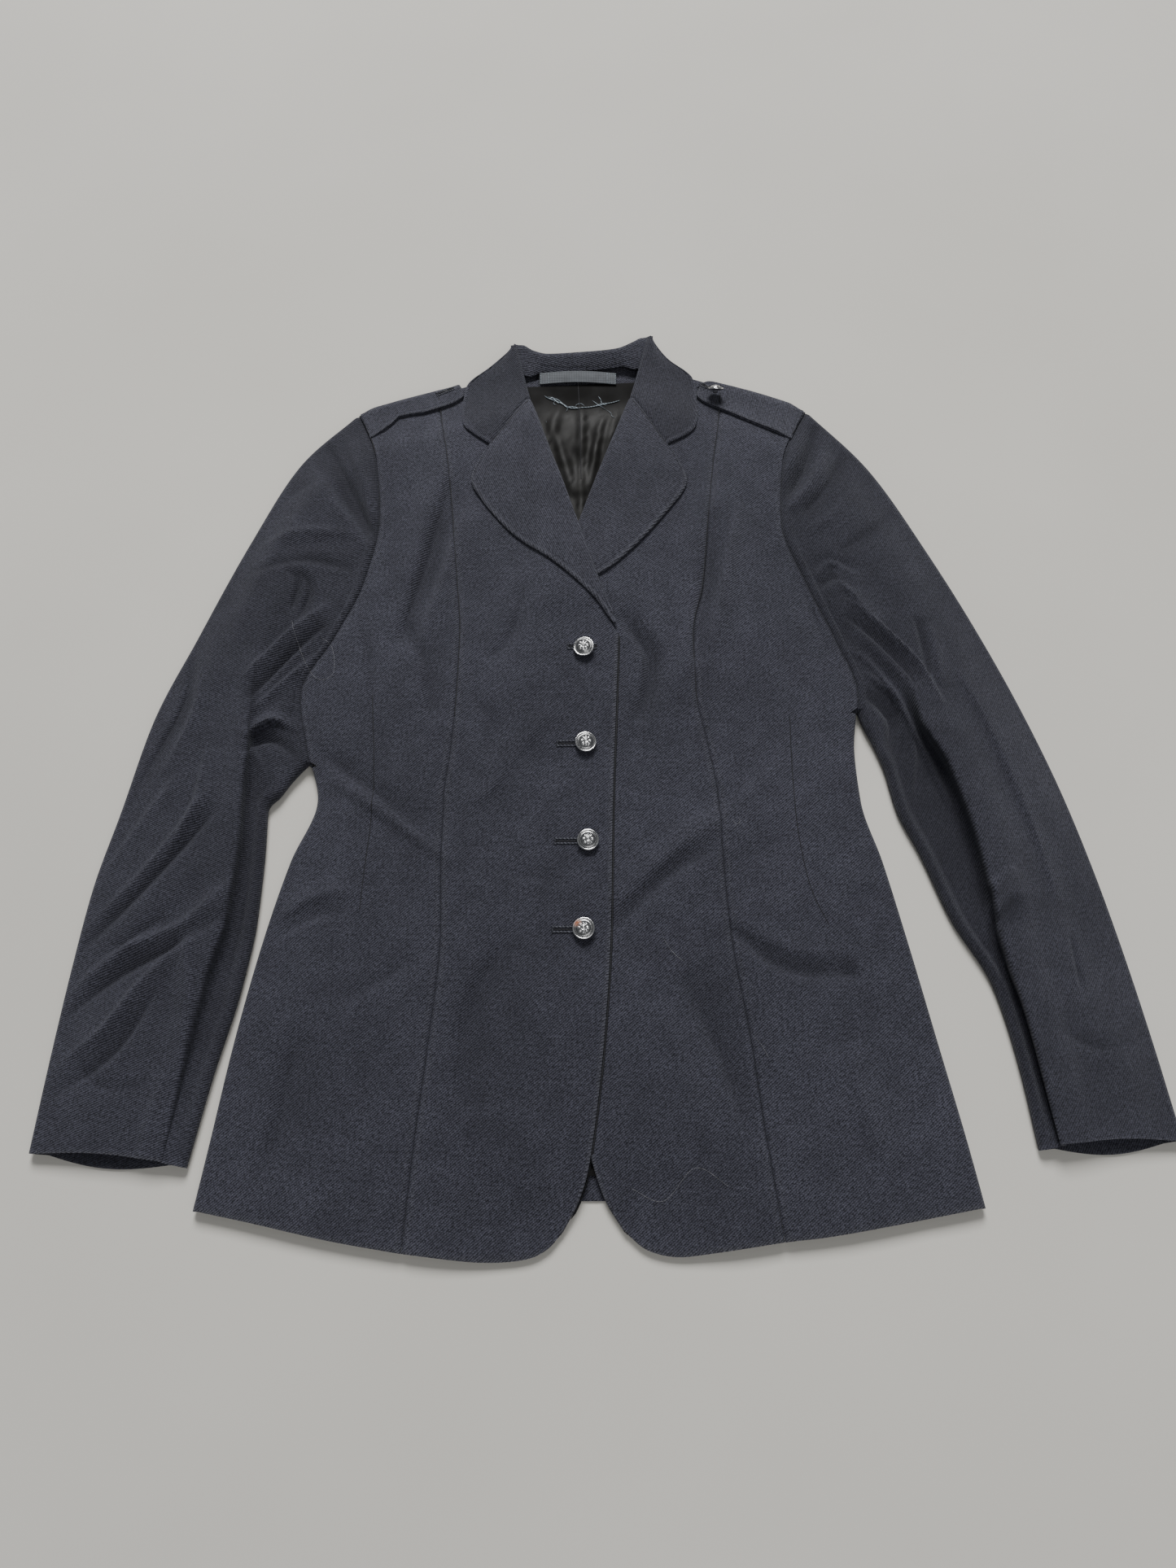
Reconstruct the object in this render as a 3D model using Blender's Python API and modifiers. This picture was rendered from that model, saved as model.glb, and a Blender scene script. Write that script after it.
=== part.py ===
"""Police uniform tunic, women's cut, lying on its back with the front up.

Frame: +X to the wearer's left (the right of the view), +Y from the hem to the
collar, +Z up off the surface. Metres. The origin is under the middle of the
garment's box. The tables are written about the centre front: x from the button
line and y from the front hem's corner, and LAY_X, LAY_Y bring them to the origin.

Each panel is a wall of cloth. Its outline is the seam lines, its height over the
surface is the body's or the sleeve's section, and Solidify gives it its thickness.
"""

import math
from collections import namedtuple

import bmesh
import bpy
import numpy as np

# Cloth
WALL = 0.0020
LINING_WALL = 0.0010
TAPE_WALL = 0.0010
SEAM_GAP = 0.0004
LAY_GAP = 0.0006
NEXT_LAYER = WALL + LAY_GAP
FLOOR_WALL = WALL / 2

# The tables' own origin, seen from the middle of the garment's box
LAY_X = -0.0134
LAY_Y = -0.3664

# Folded edges: how far in from the edge the upper and the lower cloth begin
FOLD_INSET = 0.006
TAIL_INSET = 0.0125
FOLD_STEPS = 4
SHOULDER_RISE = 0.011
NECK_SHARE = 0.86
NECK_CLEAR = 0.0145
# How far in from the roll line each front's own edge lies, at heights up the garment
LAPEL_TAIL = 0.0075
LAPEL_CLEAR = {
    "over": ((0.449, 0.456, 0.500), (0.0, 0.0036, LAPEL_TAIL)),
    "under": ((0.456, 0.500), (0.0, LAPEL_TAIL)),
}

# Rows and columns of the panels. The armhole's rows stop at the underarm, half
# way to the break, at the levels named here, and at shares of the way to the top.
SKIRT_ROWS = 12
ARM_LEVELS = (0.449, 0.456, 0.500, 0.545, 0.590)
TOP_SHARES = (0.34, 0.63, 0.84, 1.0)
ARM_ROWS = 1 + len(ARM_LEVELS) + len(TOP_SHARES)
SIDE_COLUMNS = 5
FRONT_COLUMNS = 7
BACK_COLUMNS = 7
SLEEVE_ROWS = 22
CROTCH = 0.004

# Body sections, from the hem to the shoulder. Outer: the folded side below the
# underarm, the armhole seam above it. Rise: mid wall over the surface.
Body = namedtuple("Body", "y outer_r princess_r princess_l outer_l rim_rise crown_rise")
BODY = [
    Body(-0.030, -0.283, -0.130, 0.139, 0.286, 0.0078, 0.0080),
    Body(0.050, -0.271, -0.124, 0.128, 0.272, 0.0082, 0.0105),
    Body(0.120, -0.261, -0.117, 0.120, 0.258, 0.0086, 0.0125),
    Body(0.200, -0.246, -0.111, 0.108, 0.242, 0.0088, 0.0145),
    Body(0.260, -0.231, -0.113, 0.104, 0.229, 0.0090, 0.0160),
    Body(0.310, -0.214, -0.113, 0.102, 0.216, 0.0094, 0.0170),
    Body(0.350, -0.224, -0.109, 0.096, 0.214, 0.0105, 0.0185),
    Body(0.400, -0.233, -0.106, 0.087, 0.219, 0.0125, 0.0210),
    Body(0.450, -0.209, -0.105, 0.086, 0.203, 0.0150, 0.0230),
    Body(0.500, -0.188, -0.109, 0.096, 0.183, 0.0165, 0.0240),
    Body(0.560, -0.178, -0.115, 0.102, 0.165, 0.0175, 0.0240),
    Body(0.620, -0.185, -0.122, 0.109, 0.170, 0.0175, 0.0225),
    Body(0.680, -0.209, -0.132, 0.117, 0.196, 0.0150, 0.0190),
    Body(0.740, -0.240, -0.139, 0.120, 0.225, 0.0120, 0.0150),
]
UNDERARM_R = 0.342
UNDERARM_L = 0.388
SHOULDER_TIP_R = (-0.206, 0.676)
SHOULDER_TIP_L = (0.196, 0.680)

# Front edges, from the round hem corner up past the break of the lapel
Edge = namedtuple("Edge", "y over under")
BREAK_Y = 0.451
EDGES = [
    Edge(-0.008, -0.018, 0.026),
    Edge(0.012, -0.007, 0.013),
    Edge(0.030, -0.001, 0.006),
    Edge(0.060, 0.004, -0.002),
    Edge(0.120, 0.011, -0.012),
    Edge(0.200, 0.0165, -0.022),
    Edge(0.310, 0.0190, -0.027),
    Edge(0.400, 0.0225, -0.028),
    Edge(BREAK_Y, 0.0240, -0.028),
    Edge(0.495, 0.0100, -0.0270),
    Edge(0.562, -0.0113, -0.0060),
    Edge(0.690, -0.0520, 0.0380),
    Edge(0.735, -0.0663, 0.0530),
]
HEM_R = [(-0.278, 0.005), (-0.233, -0.003), (-0.181, -0.014), (-0.130, -0.0225)]
HEM_FRONT_R = [(-0.130, -0.0225), (-0.078, -0.0280), (-0.045, -0.0265), (-0.028, -0.0195), (-0.018, -0.0080)]
HEM_L = [(0.280, 0.007), (0.220, -0.003), (0.172, -0.011), (0.1375, -0.0150)]
HEM_FRONT_L = [(0.1375, -0.0150), (0.085, -0.0225), (0.060, -0.0245), (0.040, -0.0195), (0.026, -0.0080)]
HEM_BACK_Y = 0.012
HEM_REST = 0.0045

# Shoulder fold, from the armhole's end to the side of the neck
SHOULDER_R = [SHOULDER_TIP_R, (-0.164, 0.691), (-0.112, 0.7075), (-0.077, 0.720)]
SHOULDER_L = [SHOULDER_TIP_L, (0.150, 0.698), (0.104, 0.7135), (0.064, 0.729)]

# Sleeve sections. Inner and outer: the folded edges. Fold: how far across, from
# the inner edge, the upper cloth steps up, and its rise below and on the step.
Sleeve = namedtuple(
    "Sleeve", "along inner_x inner_y outer_x outer_y fold low high crown inner_rise outer_rise"
)
SLEEVE_R = [
    Sleeve(0.00, -0.222, 0.342, -0.206, 0.676, 0.75, 0.017, 0.018, 0.019, 0.0095, 0.0110),
    Sleeve(0.12, -0.229, 0.334, -0.253, 0.622, 0.72, 0.019, 0.021, 0.022, 0.0095, 0.0125),
    Sleeve(0.24, -0.236, 0.325, -0.291, 0.540, 0.66, 0.018, 0.021, 0.021, 0.0095, 0.0120),
    Sleeve(0.36, -0.243, 0.314, -0.325, 0.452, 0.38, 0.014, 0.021, 0.019, 0.0095, 0.0110),
    Sleeve(0.47, -0.252, 0.301, -0.352, 0.378, 0.22, 0.010, 0.020, 0.017, 0.0090, 0.0105),
    Sleeve(0.58, -0.251, 0.262, -0.368, 0.300, 0.20, 0.009, 0.018, 0.016, 0.0085, 0.0100),
    Sleeve(0.68, -0.252, 0.215, -0.381, 0.238, 0.20, 0.009, 0.017, 0.016, 0.0085, 0.0100),
    Sleeve(0.78, -0.259, 0.160, -0.388, 0.178, 0.24, 0.009, 0.016, 0.015, 0.0085, 0.0095),
    Sleeve(0.89, -0.273, 0.097, -0.394, 0.110, 0.22, 0.009, 0.012, 0.013, 0.0085, 0.0090),
    Sleeve(1.00, -0.285, 0.034, -0.399, 0.044, 0.20, 0.009, 0.010, 0.011, 0.0080, 0.0080),
]
SLEEVE_L = [
    Sleeve(0.00, 0.221, 0.388, 0.196, 0.680, 0.40, 0.017, 0.018, 0.019, 0.0100, 0.0110),
    Sleeve(0.12, 0.224, 0.374, 0.247, 0.617, 0.37, 0.016, 0.021, 0.022, 0.0100, 0.0125),
    Sleeve(0.24, 0.229, 0.360, 0.290, 0.535, 0.40, 0.012, 0.022, 0.021, 0.0095, 0.0120),
    Sleeve(0.36, 0.236, 0.338, 0.327, 0.453, 0.40, 0.010, 0.023, 0.020, 0.0090, 0.0110),
    Sleeve(0.47, 0.243, 0.303, 0.354, 0.383, 0.46, 0.009, 0.024, 0.019, 0.0085, 0.0105),
    Sleeve(0.58, 0.259, 0.264, 0.375, 0.318, 0.42, 0.009, 0.024, 0.018, 0.0085, 0.0100),
    Sleeve(0.68, 0.277, 0.214, 0.391, 0.254, 0.34, 0.009, 0.023, 0.018, 0.0085, 0.0100),
    Sleeve(0.78, 0.303, 0.163, 0.405, 0.185, 0.20, 0.009, 0.020, 0.017, 0.0085, 0.0095),
    Sleeve(0.89, 0.315, 0.105, 0.416, 0.120, 0.20, 0.009, 0.017, 0.015, 0.0085, 0.0090),
    Sleeve(1.00, 0.322, 0.046, 0.426, 0.053, 0.22, 0.009, 0.013, 0.011, 0.0080, 0.0080),
]
STEP_WIDTH = 0.12
HEAD_SHARE = 0.45
# The cuff gapes: its upper edge bows in, its lower edge out
CUFF_SHARE = 0.90
UPPER_BOW = -0.0040
LOWER_BOW = 0.0060

# Lapels: outer edge from the break to the notch, then the gorge seam to the roll
LAPEL_EDGE_R = [(0.0195, 0.459), (0.006, 0.479), (-0.020, 0.506), (-0.055, 0.535), (-0.072, 0.552),
                (-0.090, 0.576), (-0.100, 0.597), (-0.094, 0.617), (-0.0850, 0.6345)]
LAPEL_EDGE_L = [(-0.0235, 0.490), (-0.008, 0.497), (0.015, 0.508), (0.040, 0.532), (0.066, 0.564),
                (0.084, 0.593), (0.078, 0.617), (0.0685, 0.6345)]
GORGE_INNER_R = (-0.0505, 0.6855)
GORGE_INNER_L = (0.0365, 0.6855)
LAPEL_FOOT_R = 0.4580
LAPEL_FOOT_L = 0.5020
LAPEL_ROWS = 12
LAPEL_COLUMNS = 6
LAPEL_BLOOM = 0.0030

# Collar: the outer edge of each fall, from the notch to the peak of the fold
COLLAR_EDGE_R = [(-0.0855, 0.6348), (-0.1020, 0.6480), (-0.1090, 0.6570), (-0.1110, 0.6750),
                 (-0.1100, 0.6960), (-0.1060, 0.7085), (-0.0890, 0.7240), (-0.0680, 0.7465)]
COLLAR_EDGE_L = [(0.0690, 0.6348), (0.0895, 0.6480), (0.0955, 0.6610), (0.0965, 0.6890),
                 (0.0945, 0.7100), (0.0890, 0.7190), (0.0720, 0.7340), (0.0570, 0.7570)]
PEAK_R = (-0.0645, 0.7480)
PEAK_L = (0.0535, 0.7585)
COLLAR_ROWS = 9
COLLAR_COLUMNS = 6
STAND_FLOOR = 0.0075

# Collar behind the neck: the fold line, and the section from the neck seam over
# the fold to the fall's edge, as steps back from the fold line and rises
Fold = namedtuple("Fold", "x y")
BACK_FOLD = [Fold(-0.0595, 0.7465), Fold(-0.0500, 0.7400), Fold(-0.0370, 0.7365), Fold(-0.0060, 0.7385),
             Fold(0.0260, 0.7425), Fold(0.0400, 0.7490), Fold(0.0485, 0.7545)]
Bend = namedtuple("Bend", "back rise")
COLLAR_SECTION = [Bend(0.0100, 0.0072), Bend(0.0060, 0.0098), Bend(0.0030, 0.0128), Bend(0.0000, 0.0150),
                  Bend(-0.0030, 0.0140), Bend(-0.0050, 0.0105), Bend(-0.0055, 0.0060), Bend(-0.0038, 0.0025),
                  Bend(0.0000, 0.0010), Bend(0.0130, 0.0010), Bend(0.0340, 0.0010)]
BACK_FOLD_COLUMNS = 10
NECK_SIDE_R = (-0.071, 0.7065)
NECK_DIP_Y = 0.7200
BACK_LIFT_FROM = 0.620
BACK_LIFT_OVER = 0.045
LIFTED = 0.0028
NECK_HALF_WIDTH = 0.115
CENTRE_BACK_X = -0.006
FALL_EDGE_Y = 0.7060

# Lining: neck and hem
NECK_LINING = [(-0.0640, 0.7080), (0.0500, 0.7140), (0.0470, 0.5200), (-0.0600, 0.5200)]
Crumple = namedtuple("Crumple", "x0 y0 x1 y1 width rise")
NECK_CRUMPLES = [
    Crumple(-0.032, 0.668, -0.012, 0.600, 0.010, 0.0022),
    Crumple(-0.006, 0.690, -0.006, 0.560, 0.008, 0.0020),
    Crumple(0.012, 0.672, 0.000, 0.600, 0.009, 0.0030),
    Crumple(0.026, 0.680, 0.014, 0.630, 0.009, 0.0020),
    Crumple(-0.024, 0.690, -0.040, 0.640, 0.010, 0.0016),
]
HEM_LINING = (-0.045, 0.055)
HEM_LINING_Y = (0.0290, 0.0800)

# Larger soft folds of the outer cloth, ridges up and troughs down
BODY_FOLDS = [
    Crumple(-0.126, 0.625, -0.146, 0.470, 0.030, 0.0030),
    Crumple(-0.062, 0.500, -0.052, 0.360, 0.026, 0.0018),
    Crumple(0.120, 0.620, 0.104, 0.500, 0.026, 0.0028),
    Crumple(0.098, 0.480, 0.070, 0.390, 0.026, 0.0024),
    Crumple(0.030, 0.470, 0.034, 0.380, 0.026, -0.0020),
    Crumple(0.060, 0.235, 0.190, 0.330, 0.034, 0.0018),
    Crumple(-0.020, 0.330, -0.100, 0.380, 0.030, -0.0015),
    Crumple(-0.190, 0.300, -0.140, 0.330, 0.034, 0.0016),
    Crumple(0.150, 0.560, 0.190, 0.440, 0.030, -0.0016),
]
SLEEVE_FOLDS_R = [
    Crumple(-0.218, 0.640, -0.196, 0.585, 0.016, -0.0035),
    Crumple(-0.232, 0.610, -0.186, 0.548, 0.016, -0.0035),
    Crumple(-0.270, 0.530, -0.190, 0.545, 0.018, -0.0022),
    Crumple(-0.226, 0.462, -0.262, 0.410, 0.018, 0.0040),
    Crumple(-0.226, 0.415, -0.256, 0.372, 0.018, 0.0035),
    Crumple(-0.300, 0.470, -0.345, 0.330, 0.030, 0.0022),
    Crumple(-0.285, 0.246, -0.376, 0.145, 0.022, -0.0026),
    Crumple(-0.298, 0.190, -0.384, 0.105, 0.022, 0.0024),
]
SLEEVE_FOLDS_L = [
    Crumple(0.216, 0.650, 0.176, 0.588, 0.018, -0.0040),
    Crumple(0.196, 0.515, 0.225, 0.512, 0.016, -0.0035),
    Crumple(0.330, 0.400, 0.372, 0.260, 0.030, 0.0022),
    Crumple(0.352, 0.300, 0.388, 0.130, 0.028, -0.0020),
]

# Shoulder straps: places along the shoulder fold, as shares from the armhole to the
# neck, and how far the strap reaches in from the fold there and round it
Strap = namedtuple("Strap", "place inner round")
STRAP_R = [
    Strap(0.015, 0.0270, -0.0080),
    Strap(0.110, 0.0240, -0.0080),
    Strap(0.200, 0.0180, -0.0080),
    Strap(0.250, 0.0135, -0.0080),
    Strap(0.310, 0.0140, -0.0080),
    Strap(0.420, 0.0165, -0.0080),
    Strap(0.560, 0.0155, -0.0080),
    Strap(0.700, 0.0120, -0.0080),
]
STRAP_L = [
    Strap(0.015, 0.0330, -0.0070),
    Strap(0.250, 0.0310, -0.0065),
    Strap(0.480, 0.0265, -0.0050),
    Strap(0.695, 0.0210, -0.0030),
]
STRAP_CLEAR = 0.0019
STRAP_WALL = 0.0030
STRAP_ROWS = 12
STRAP_COLUMNS = 6
STRAP_TIP_SHARE = 0.12

# Hanger tape
TAPE_START = (-0.0440, 0.7165)
TAPE_END = (0.0255, 0.7165)
TAPE_WIDTH = 0.0125
TAPE_ARCH = 0.0012

# Buttons
BUTTON_RADIUS = 0.0085
BUTTON_DOME = 0.0042
BUTTON_RIM = 0.0011
SHANK_RADIUS = 0.0026
SHANK_LENGTH = 0.0022
BUTTON_SIDES = 16
Button = namedtuple("Button", "x y tilt_x tilt_y")
BUTTONS = [
    Button(-0.003, 0.4345, 0.0, -9.0),
    Button(-0.002, 0.353, 0.0, 4.0),
    Button(0.000, 0.273, 2.0, 0.0),
    Button(-0.003, 0.204, 0.0, -5.0),
]
STRAP_BUTTON_RADIUS = 0.0072
STRAP_BUTTON_TILT = 58.0
STRAP_BUTTON_SHARE = 0.587
STRAP_BUTTON_IN = 0.0115

# Colours of the real cloth and metal
NAVY = (0.018, 0.020, 0.032, 1.0)
BLACK_SATIN = (0.010, 0.010, 0.012, 1.0)
TAPE_BLUE = (0.055, 0.070, 0.100, 1.0)
CHROME = (0.78, 0.78, 0.80, 1.0)


def smooth_step(value):
    """Ease from 0 to 1 as the value goes from 0 to 1."""
    t = np.clip(value, 0.0, 1.0)
    return t * t * (3.0 - 2.0 * t)


def spline(stations, values, at):
    """Smooth curve through a table's column, without overshoot, read at the given stations."""
    x = np.asarray(stations, float)
    y = np.asarray(values, float)
    step = np.diff(x)
    slope = np.diff(y) / step
    tangent = np.zeros_like(y)
    for i in range(1, len(x) - 1):
        if slope[i - 1] * slope[i] > 0.0:
            before = 2.0 * step[i] + step[i - 1]
            after = step[i] + 2.0 * step[i - 1]
            tangent[i] = (before + after) / (before / slope[i - 1] + after / slope[i])
    tangent[0] = slope[0]
    tangent[-1] = slope[-1]
    at = np.clip(np.asarray(at, float), x[0], x[-1])
    k = np.clip(np.searchsorted(x, at, side="right") - 1, 0, len(x) - 2)
    t = (at - x[k]) / step[k]
    return (
        y[k] * (1 + 2 * t) * (1 - t) ** 2
        + tangent[k] * step[k] * t * (1 - t) ** 2
        + y[k + 1] * t * t * (3 - 2 * t)
        - tangent[k + 1] * step[k] * t * t * (1 - t)
    )


def through(points, shares):
    """Points at shares of the length of a smooth curve through the named points."""
    p = np.asarray(points, float)
    if len(p) == 2:
        return p[0] + np.outer(shares, p[1] - p[0])
    ends = np.vstack([2 * p[0] - p[1], p, 2 * p[-1] - p[-2]])
    dense = []
    for k in range(1, len(ends) - 2):
        a, b, c, d = ends[k - 1], ends[k], ends[k + 1], ends[k + 2]
        t = np.linspace(0.0, 1.0, 24, endpoint=False)[:, None]
        square = (2 * a - 5 * b + 4 * c - d) * t**2
        cube = (3 * b - a - 3 * c + d) * t**3
        dense.append(0.5 * (2 * b + (c - a) * t + square + cube))
    dense = np.vstack(dense + [p[-1:]])
    length = np.concatenate([[0.0], np.cumsum(np.linalg.norm(np.diff(dense, axis=0), axis=1))])
    at = np.asarray(shares, float) * length[-1]
    return np.stack([np.interp(at, length, dense[:, k]) for k in range(p.shape[1])], axis=1)


def normals_of(line):
    """Unit normals of a plan line, to the left of its direction."""
    tangent = np.gradient(line, axis=0)
    tangent /= np.linalg.norm(tangent, axis=1)[:, None]
    return np.stack([-tangent[:, 1], tangent[:, 0]], axis=1)


def folds_at(folds, x, y):
    """Sum of the soft ridges and troughs at plan points."""
    total = np.zeros_like(x)
    for fold in folds:
        dx = fold.x1 - fold.x0
        dy = fold.y1 - fold.y0
        t = np.clip(((x - fold.x0) * dx + (y - fold.y0) * dy) / (dx * dx + dy * dy), 0.0, 1.0)
        away = np.hypot(x - fold.x0 - t * dx, y - fold.y0 - t * dy)
        total += fold.rise * np.sin(math.pi * (0.12 + 0.76 * t)) * np.exp(-((away / (0.5 * fold.width)) ** 2))
    return total


def column(name, y):
    """One column of the body's sections at the given y."""
    return spline([row.y for row in BODY], [getattr(row, name) for row in BODY], y)


def edge_at(name, y):
    """x of one front edge at the given y."""
    return spline([row.y for row in EDGES], [getattr(row, name) for row in EDGES], y)


def shoulder_y(x):
    """y of the shoulder fold over the given x."""
    right = np.interp(x, [p[0] for p in SHOULDER_R], [p[1] for p in SHOULDER_R])
    left = np.interp(x, [p[0] for p in reversed(SHOULDER_L)], [p[1] for p in reversed(SHOULDER_L)])
    return np.where(x < 0.0, right, left)


def body_rise(x, y):
    """Height of the front's mid wall: a low crown across each section, plus the folds."""
    x = np.asarray(x, float)
    y = np.asarray(y, float)
    low = column("outer_r", y)
    high = column("outer_l", y)
    across = np.clip((x - low) / (high - low), 0.0, 1.0)
    rim = column("rim_rise", y)
    rise = rim + (column("crown_rise", y) - rim) * (1.0 - np.abs(2.0 * across - 1.0) ** 2.4)
    rise = rise + folds_at(BODY_FOLDS, x, y)
    resting = smooth_step((0.07 - y) / 0.10) * smooth_step((0.115 - np.abs(x)) / 0.06)
    rise = rise + (HEM_REST - rise) * resting
    below = shoulder_y(x) - FOLD_INSET - y
    return SHOULDER_RISE + (rise - SHOULDER_RISE) * smooth_step(below / 0.055)


def over_rise(x, y):
    """Height of the overlapping front: it climbs over the under front and its lapel."""
    x = np.asarray(x, float)
    y = np.asarray(y, float)
    lap = NEXT_LAYER * smooth_step((x + 0.064) / 0.026) * smooth_step((y + 0.012) / 0.036)
    lapel = NEXT_LAYER * smooth_step((y - 0.462) / 0.022) * smooth_step((x + 0.052) / 0.022)
    apart = 1.0 - smooth_step((y - 0.585) / 0.05)
    return body_rise(x, y) + (lap + lapel) * apart


def lapel_rise(x, y, base, across):
    """Height of a lapel on its front: laid flat at the edge, in bloom at the roll."""
    bloom = LAPEL_BLOOM * smooth_step(across) * smooth_step((y - 0.560) / 0.06)
    return base(x, y) + NEXT_LAYER + bloom


def back_rise(x, y):
    """Height of the back's mid wall: flat, lifted over the collar's fall at the neck."""
    near = smooth_step((NECK_HALF_WIDTH - np.abs(x - CENTRE_BACK_X)) / 0.04)
    return FLOOR_WALL + LIFTED * smooth_step((y - BACK_LIFT_FROM) / BACK_LIFT_OVER) * near


def patch(bottom, top, left, right):
    """Plan points between four boundary lines that share their corners."""
    u = np.linspace(0.0, 1.0, len(bottom))[None, :, None]
    v = np.linspace(0.0, 1.0, len(left))[:, None, None]
    blend = (1 - v) * bottom[None] + v * top[None] + (1 - u) * left[:, None] + u * right[:, None]
    corners = (1 - u) * (1 - v) * bottom[0] + u * (1 - v) * bottom[-1]
    corners = corners + (1 - u) * v * top[0] + u * v * top[-1]
    return blend - corners


def lift(plan, rise):
    """Plan points with their heights."""
    return np.concatenate([plan, np.broadcast_to(rise, plan.shape[:-1])[..., None]], axis=-1)


def wrapped_edge(start, outward, low, tail_inset):
    """Cloth folded round an edge: half a turn from the start points down to low, then a tail.

    start: points on the upper cloth; outward: plan normals; low: height that the fold comes
    down to; tail_inset: how far in from the start's own line the lower cloth ends.
    """
    radius = (start[:, 2] - low) / 2.0
    columns = []
    for k in range(1, FOLD_STEPS + 1):
        turn = math.pi * k / FOLD_STEPS
        plan = start[:, :2] + outward * (radius * math.sin(turn))[:, None]
        columns.append(np.column_stack([plan, low + radius * (1.0 + math.cos(turn))]))
    tail = start[:, :2] - outward * np.broadcast_to(tail_inset, radius.shape)[:, None]
    columns.append(np.column_stack([tail, np.broadcast_to(low, radius.shape)]))
    return np.stack(columns, axis=1)


def material(name, colour, roughness, metallic=0.0):
    """A plain finish."""
    finish = bpy.data.materials.new(name)
    finish.use_nodes = True
    shader = finish.node_tree.nodes["Principled BSDF"]
    shader.inputs["Base Color"].default_value = colour
    shader.inputs["Roughness"].default_value = roughness
    shader.inputs["Metallic"].default_value = metallic
    return finish


def add_object(name, mesh, finish, parts):
    """Put a mesh in the tunic's collection under its own name."""
    mesh.materials.append(finish)
    item = bpy.data.objects.new(name, mesh)
    parts.objects.link(item)
    return item


def cloth(name, grid, wall, finish, parts, wraps=()):
    """A panel: a grid of mid-wall points and its wrapped edges, given a thickness.

    Each wrap is (row and column pairs along the grid's edge, points beyond that edge).
    """
    mesh = bpy.data.meshes.new(name)
    shape = bmesh.new()
    shift = np.array([LAY_X, LAY_Y, 0.0])
    rows, columns = grid.shape[:2]
    verts = [[shape.verts.new(grid[j, i] + shift) for i in range(columns)] for j in range(rows)]
    for j in range(rows - 1):
        for i in range(columns - 1):
            shape.faces.new((verts[j][i], verts[j][i + 1], verts[j + 1][i + 1], verts[j + 1][i]))
    for border, beyond in wraps:
        lines = []
        for (j, i), line in zip(border, beyond):
            lines.append([verts[j][i]] + [shape.verts.new(p + shift) for p in line])
        for first, second in zip(lines[:-1], lines[1:]):
            for k in range(len(first) - 1):
                shape.faces.new((first[k], second[k], second[k + 1], first[k + 1]))
    bmesh.ops.recalc_face_normals(shape, faces=shape.faces)
    faces = [face for face in shape.faces if face.calc_center_median().z > 0.0]
    upward = sum(face.normal.z * face.calc_area() for face in faces)
    if upward < 0.0:
        bmesh.ops.reverse_faces(shape, faces=shape.faces)
    shape.to_mesh(mesh)
    shape.free()
    mesh.shade_smooth()
    item = add_object(name, mesh, finish, parts)
    thick = item.modifiers.new("Wall", "SOLIDIFY")
    thick.thickness = wall
    thick.offset = 0.0
    return item


class Side:
    """One side of the body: its seam lines at shared stations, right or left of the wearer."""

    def __init__(self, is_right):
        """Work out the outline of one side's panels."""
        self.is_right = is_right
        self.outer = "outer_r" if is_right else "outer_l"
        self.princess = "princess_r" if is_right else "princess_l"
        self.inward = 1.0 if is_right else -1.0
        self.underarm = UNDERARM_R if is_right else UNDERARM_L
        self.tip = np.array(SHOULDER_TIP_R if is_right else SHOULDER_TIP_L)
        self.shoulder = SHOULDER_R if is_right else SHOULDER_L
        self.hem = HEM_R if is_right else HEM_L
        self.hem_front = HEM_FRONT_R if is_right else HEM_FRONT_L
        tip_lean = np.array([-0.50 * self.inward, 0.866])
        self.tip_out = tip_lean / np.linalg.norm(tip_lean)

    def stations(self, start, end):
        """Heights up the garment of every row: the skirt's to the underarm, then the armhole's."""
        skirt = np.linspace(start, self.underarm - CROTCH, SKIRT_ROWS)
        return np.concatenate([skirt, self.arm_stations(end)])

    def arm_stations(self, end):
        """Heights up the garment of the rows from the underarm to the end."""
        last = ARM_LEVELS[-1]
        start = [self.underarm, 0.5 * (self.underarm + ARM_LEVELS[0])]
        return np.array(start + list(ARM_LEVELS) + [last + (end - last) * share for share in TOP_SHARES])

    def armhole(self, tip_inset):
        """Armhole seam from the underarm to the shoulder fold, and half its gap at each row."""
        end = self.tip - self.tip_out * tip_inset
        y = self.arm_stations(end[1])
        line = np.column_stack([column(self.outer, y), y])
        share = smooth_step((y - ARM_LEVELS[-1]) / (end[1] - ARM_LEVELS[-1]))
        line[:, 0] += share * (end[0] - line[-1, 0])
        return line, 0.5 * SEAM_GAP * (1.0 + share)

    def side_line(self, start_y, inset):
        """Folded side edge from the hem to just under the arm, moved in by inset."""
        y = np.linspace(start_y, self.underarm - CROTCH, SKIRT_ROWS)
        line = np.column_stack([column(self.outer, y), y])
        line[:, 0] += self.inward * np.broadcast_to(inset, y.shape)
        return line

    def princess_line(self, start_y, end_y, shift):
        """Princess seam at every row, moved sideways by shift."""
        y = self.stations(start_y, end_y)
        return np.column_stack([column(self.princess, y) + shift, y])

    def shoulder_line(self, inset, shares):
        """Shoulder fold moved down into the front by inset."""
        line = through(self.shoulder, shares)
        out = normals_of(line) * -self.inward
        out[0] = self.tip_out
        out *= np.sign(out[:, 1:2])
        return line - out * inset, out


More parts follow.
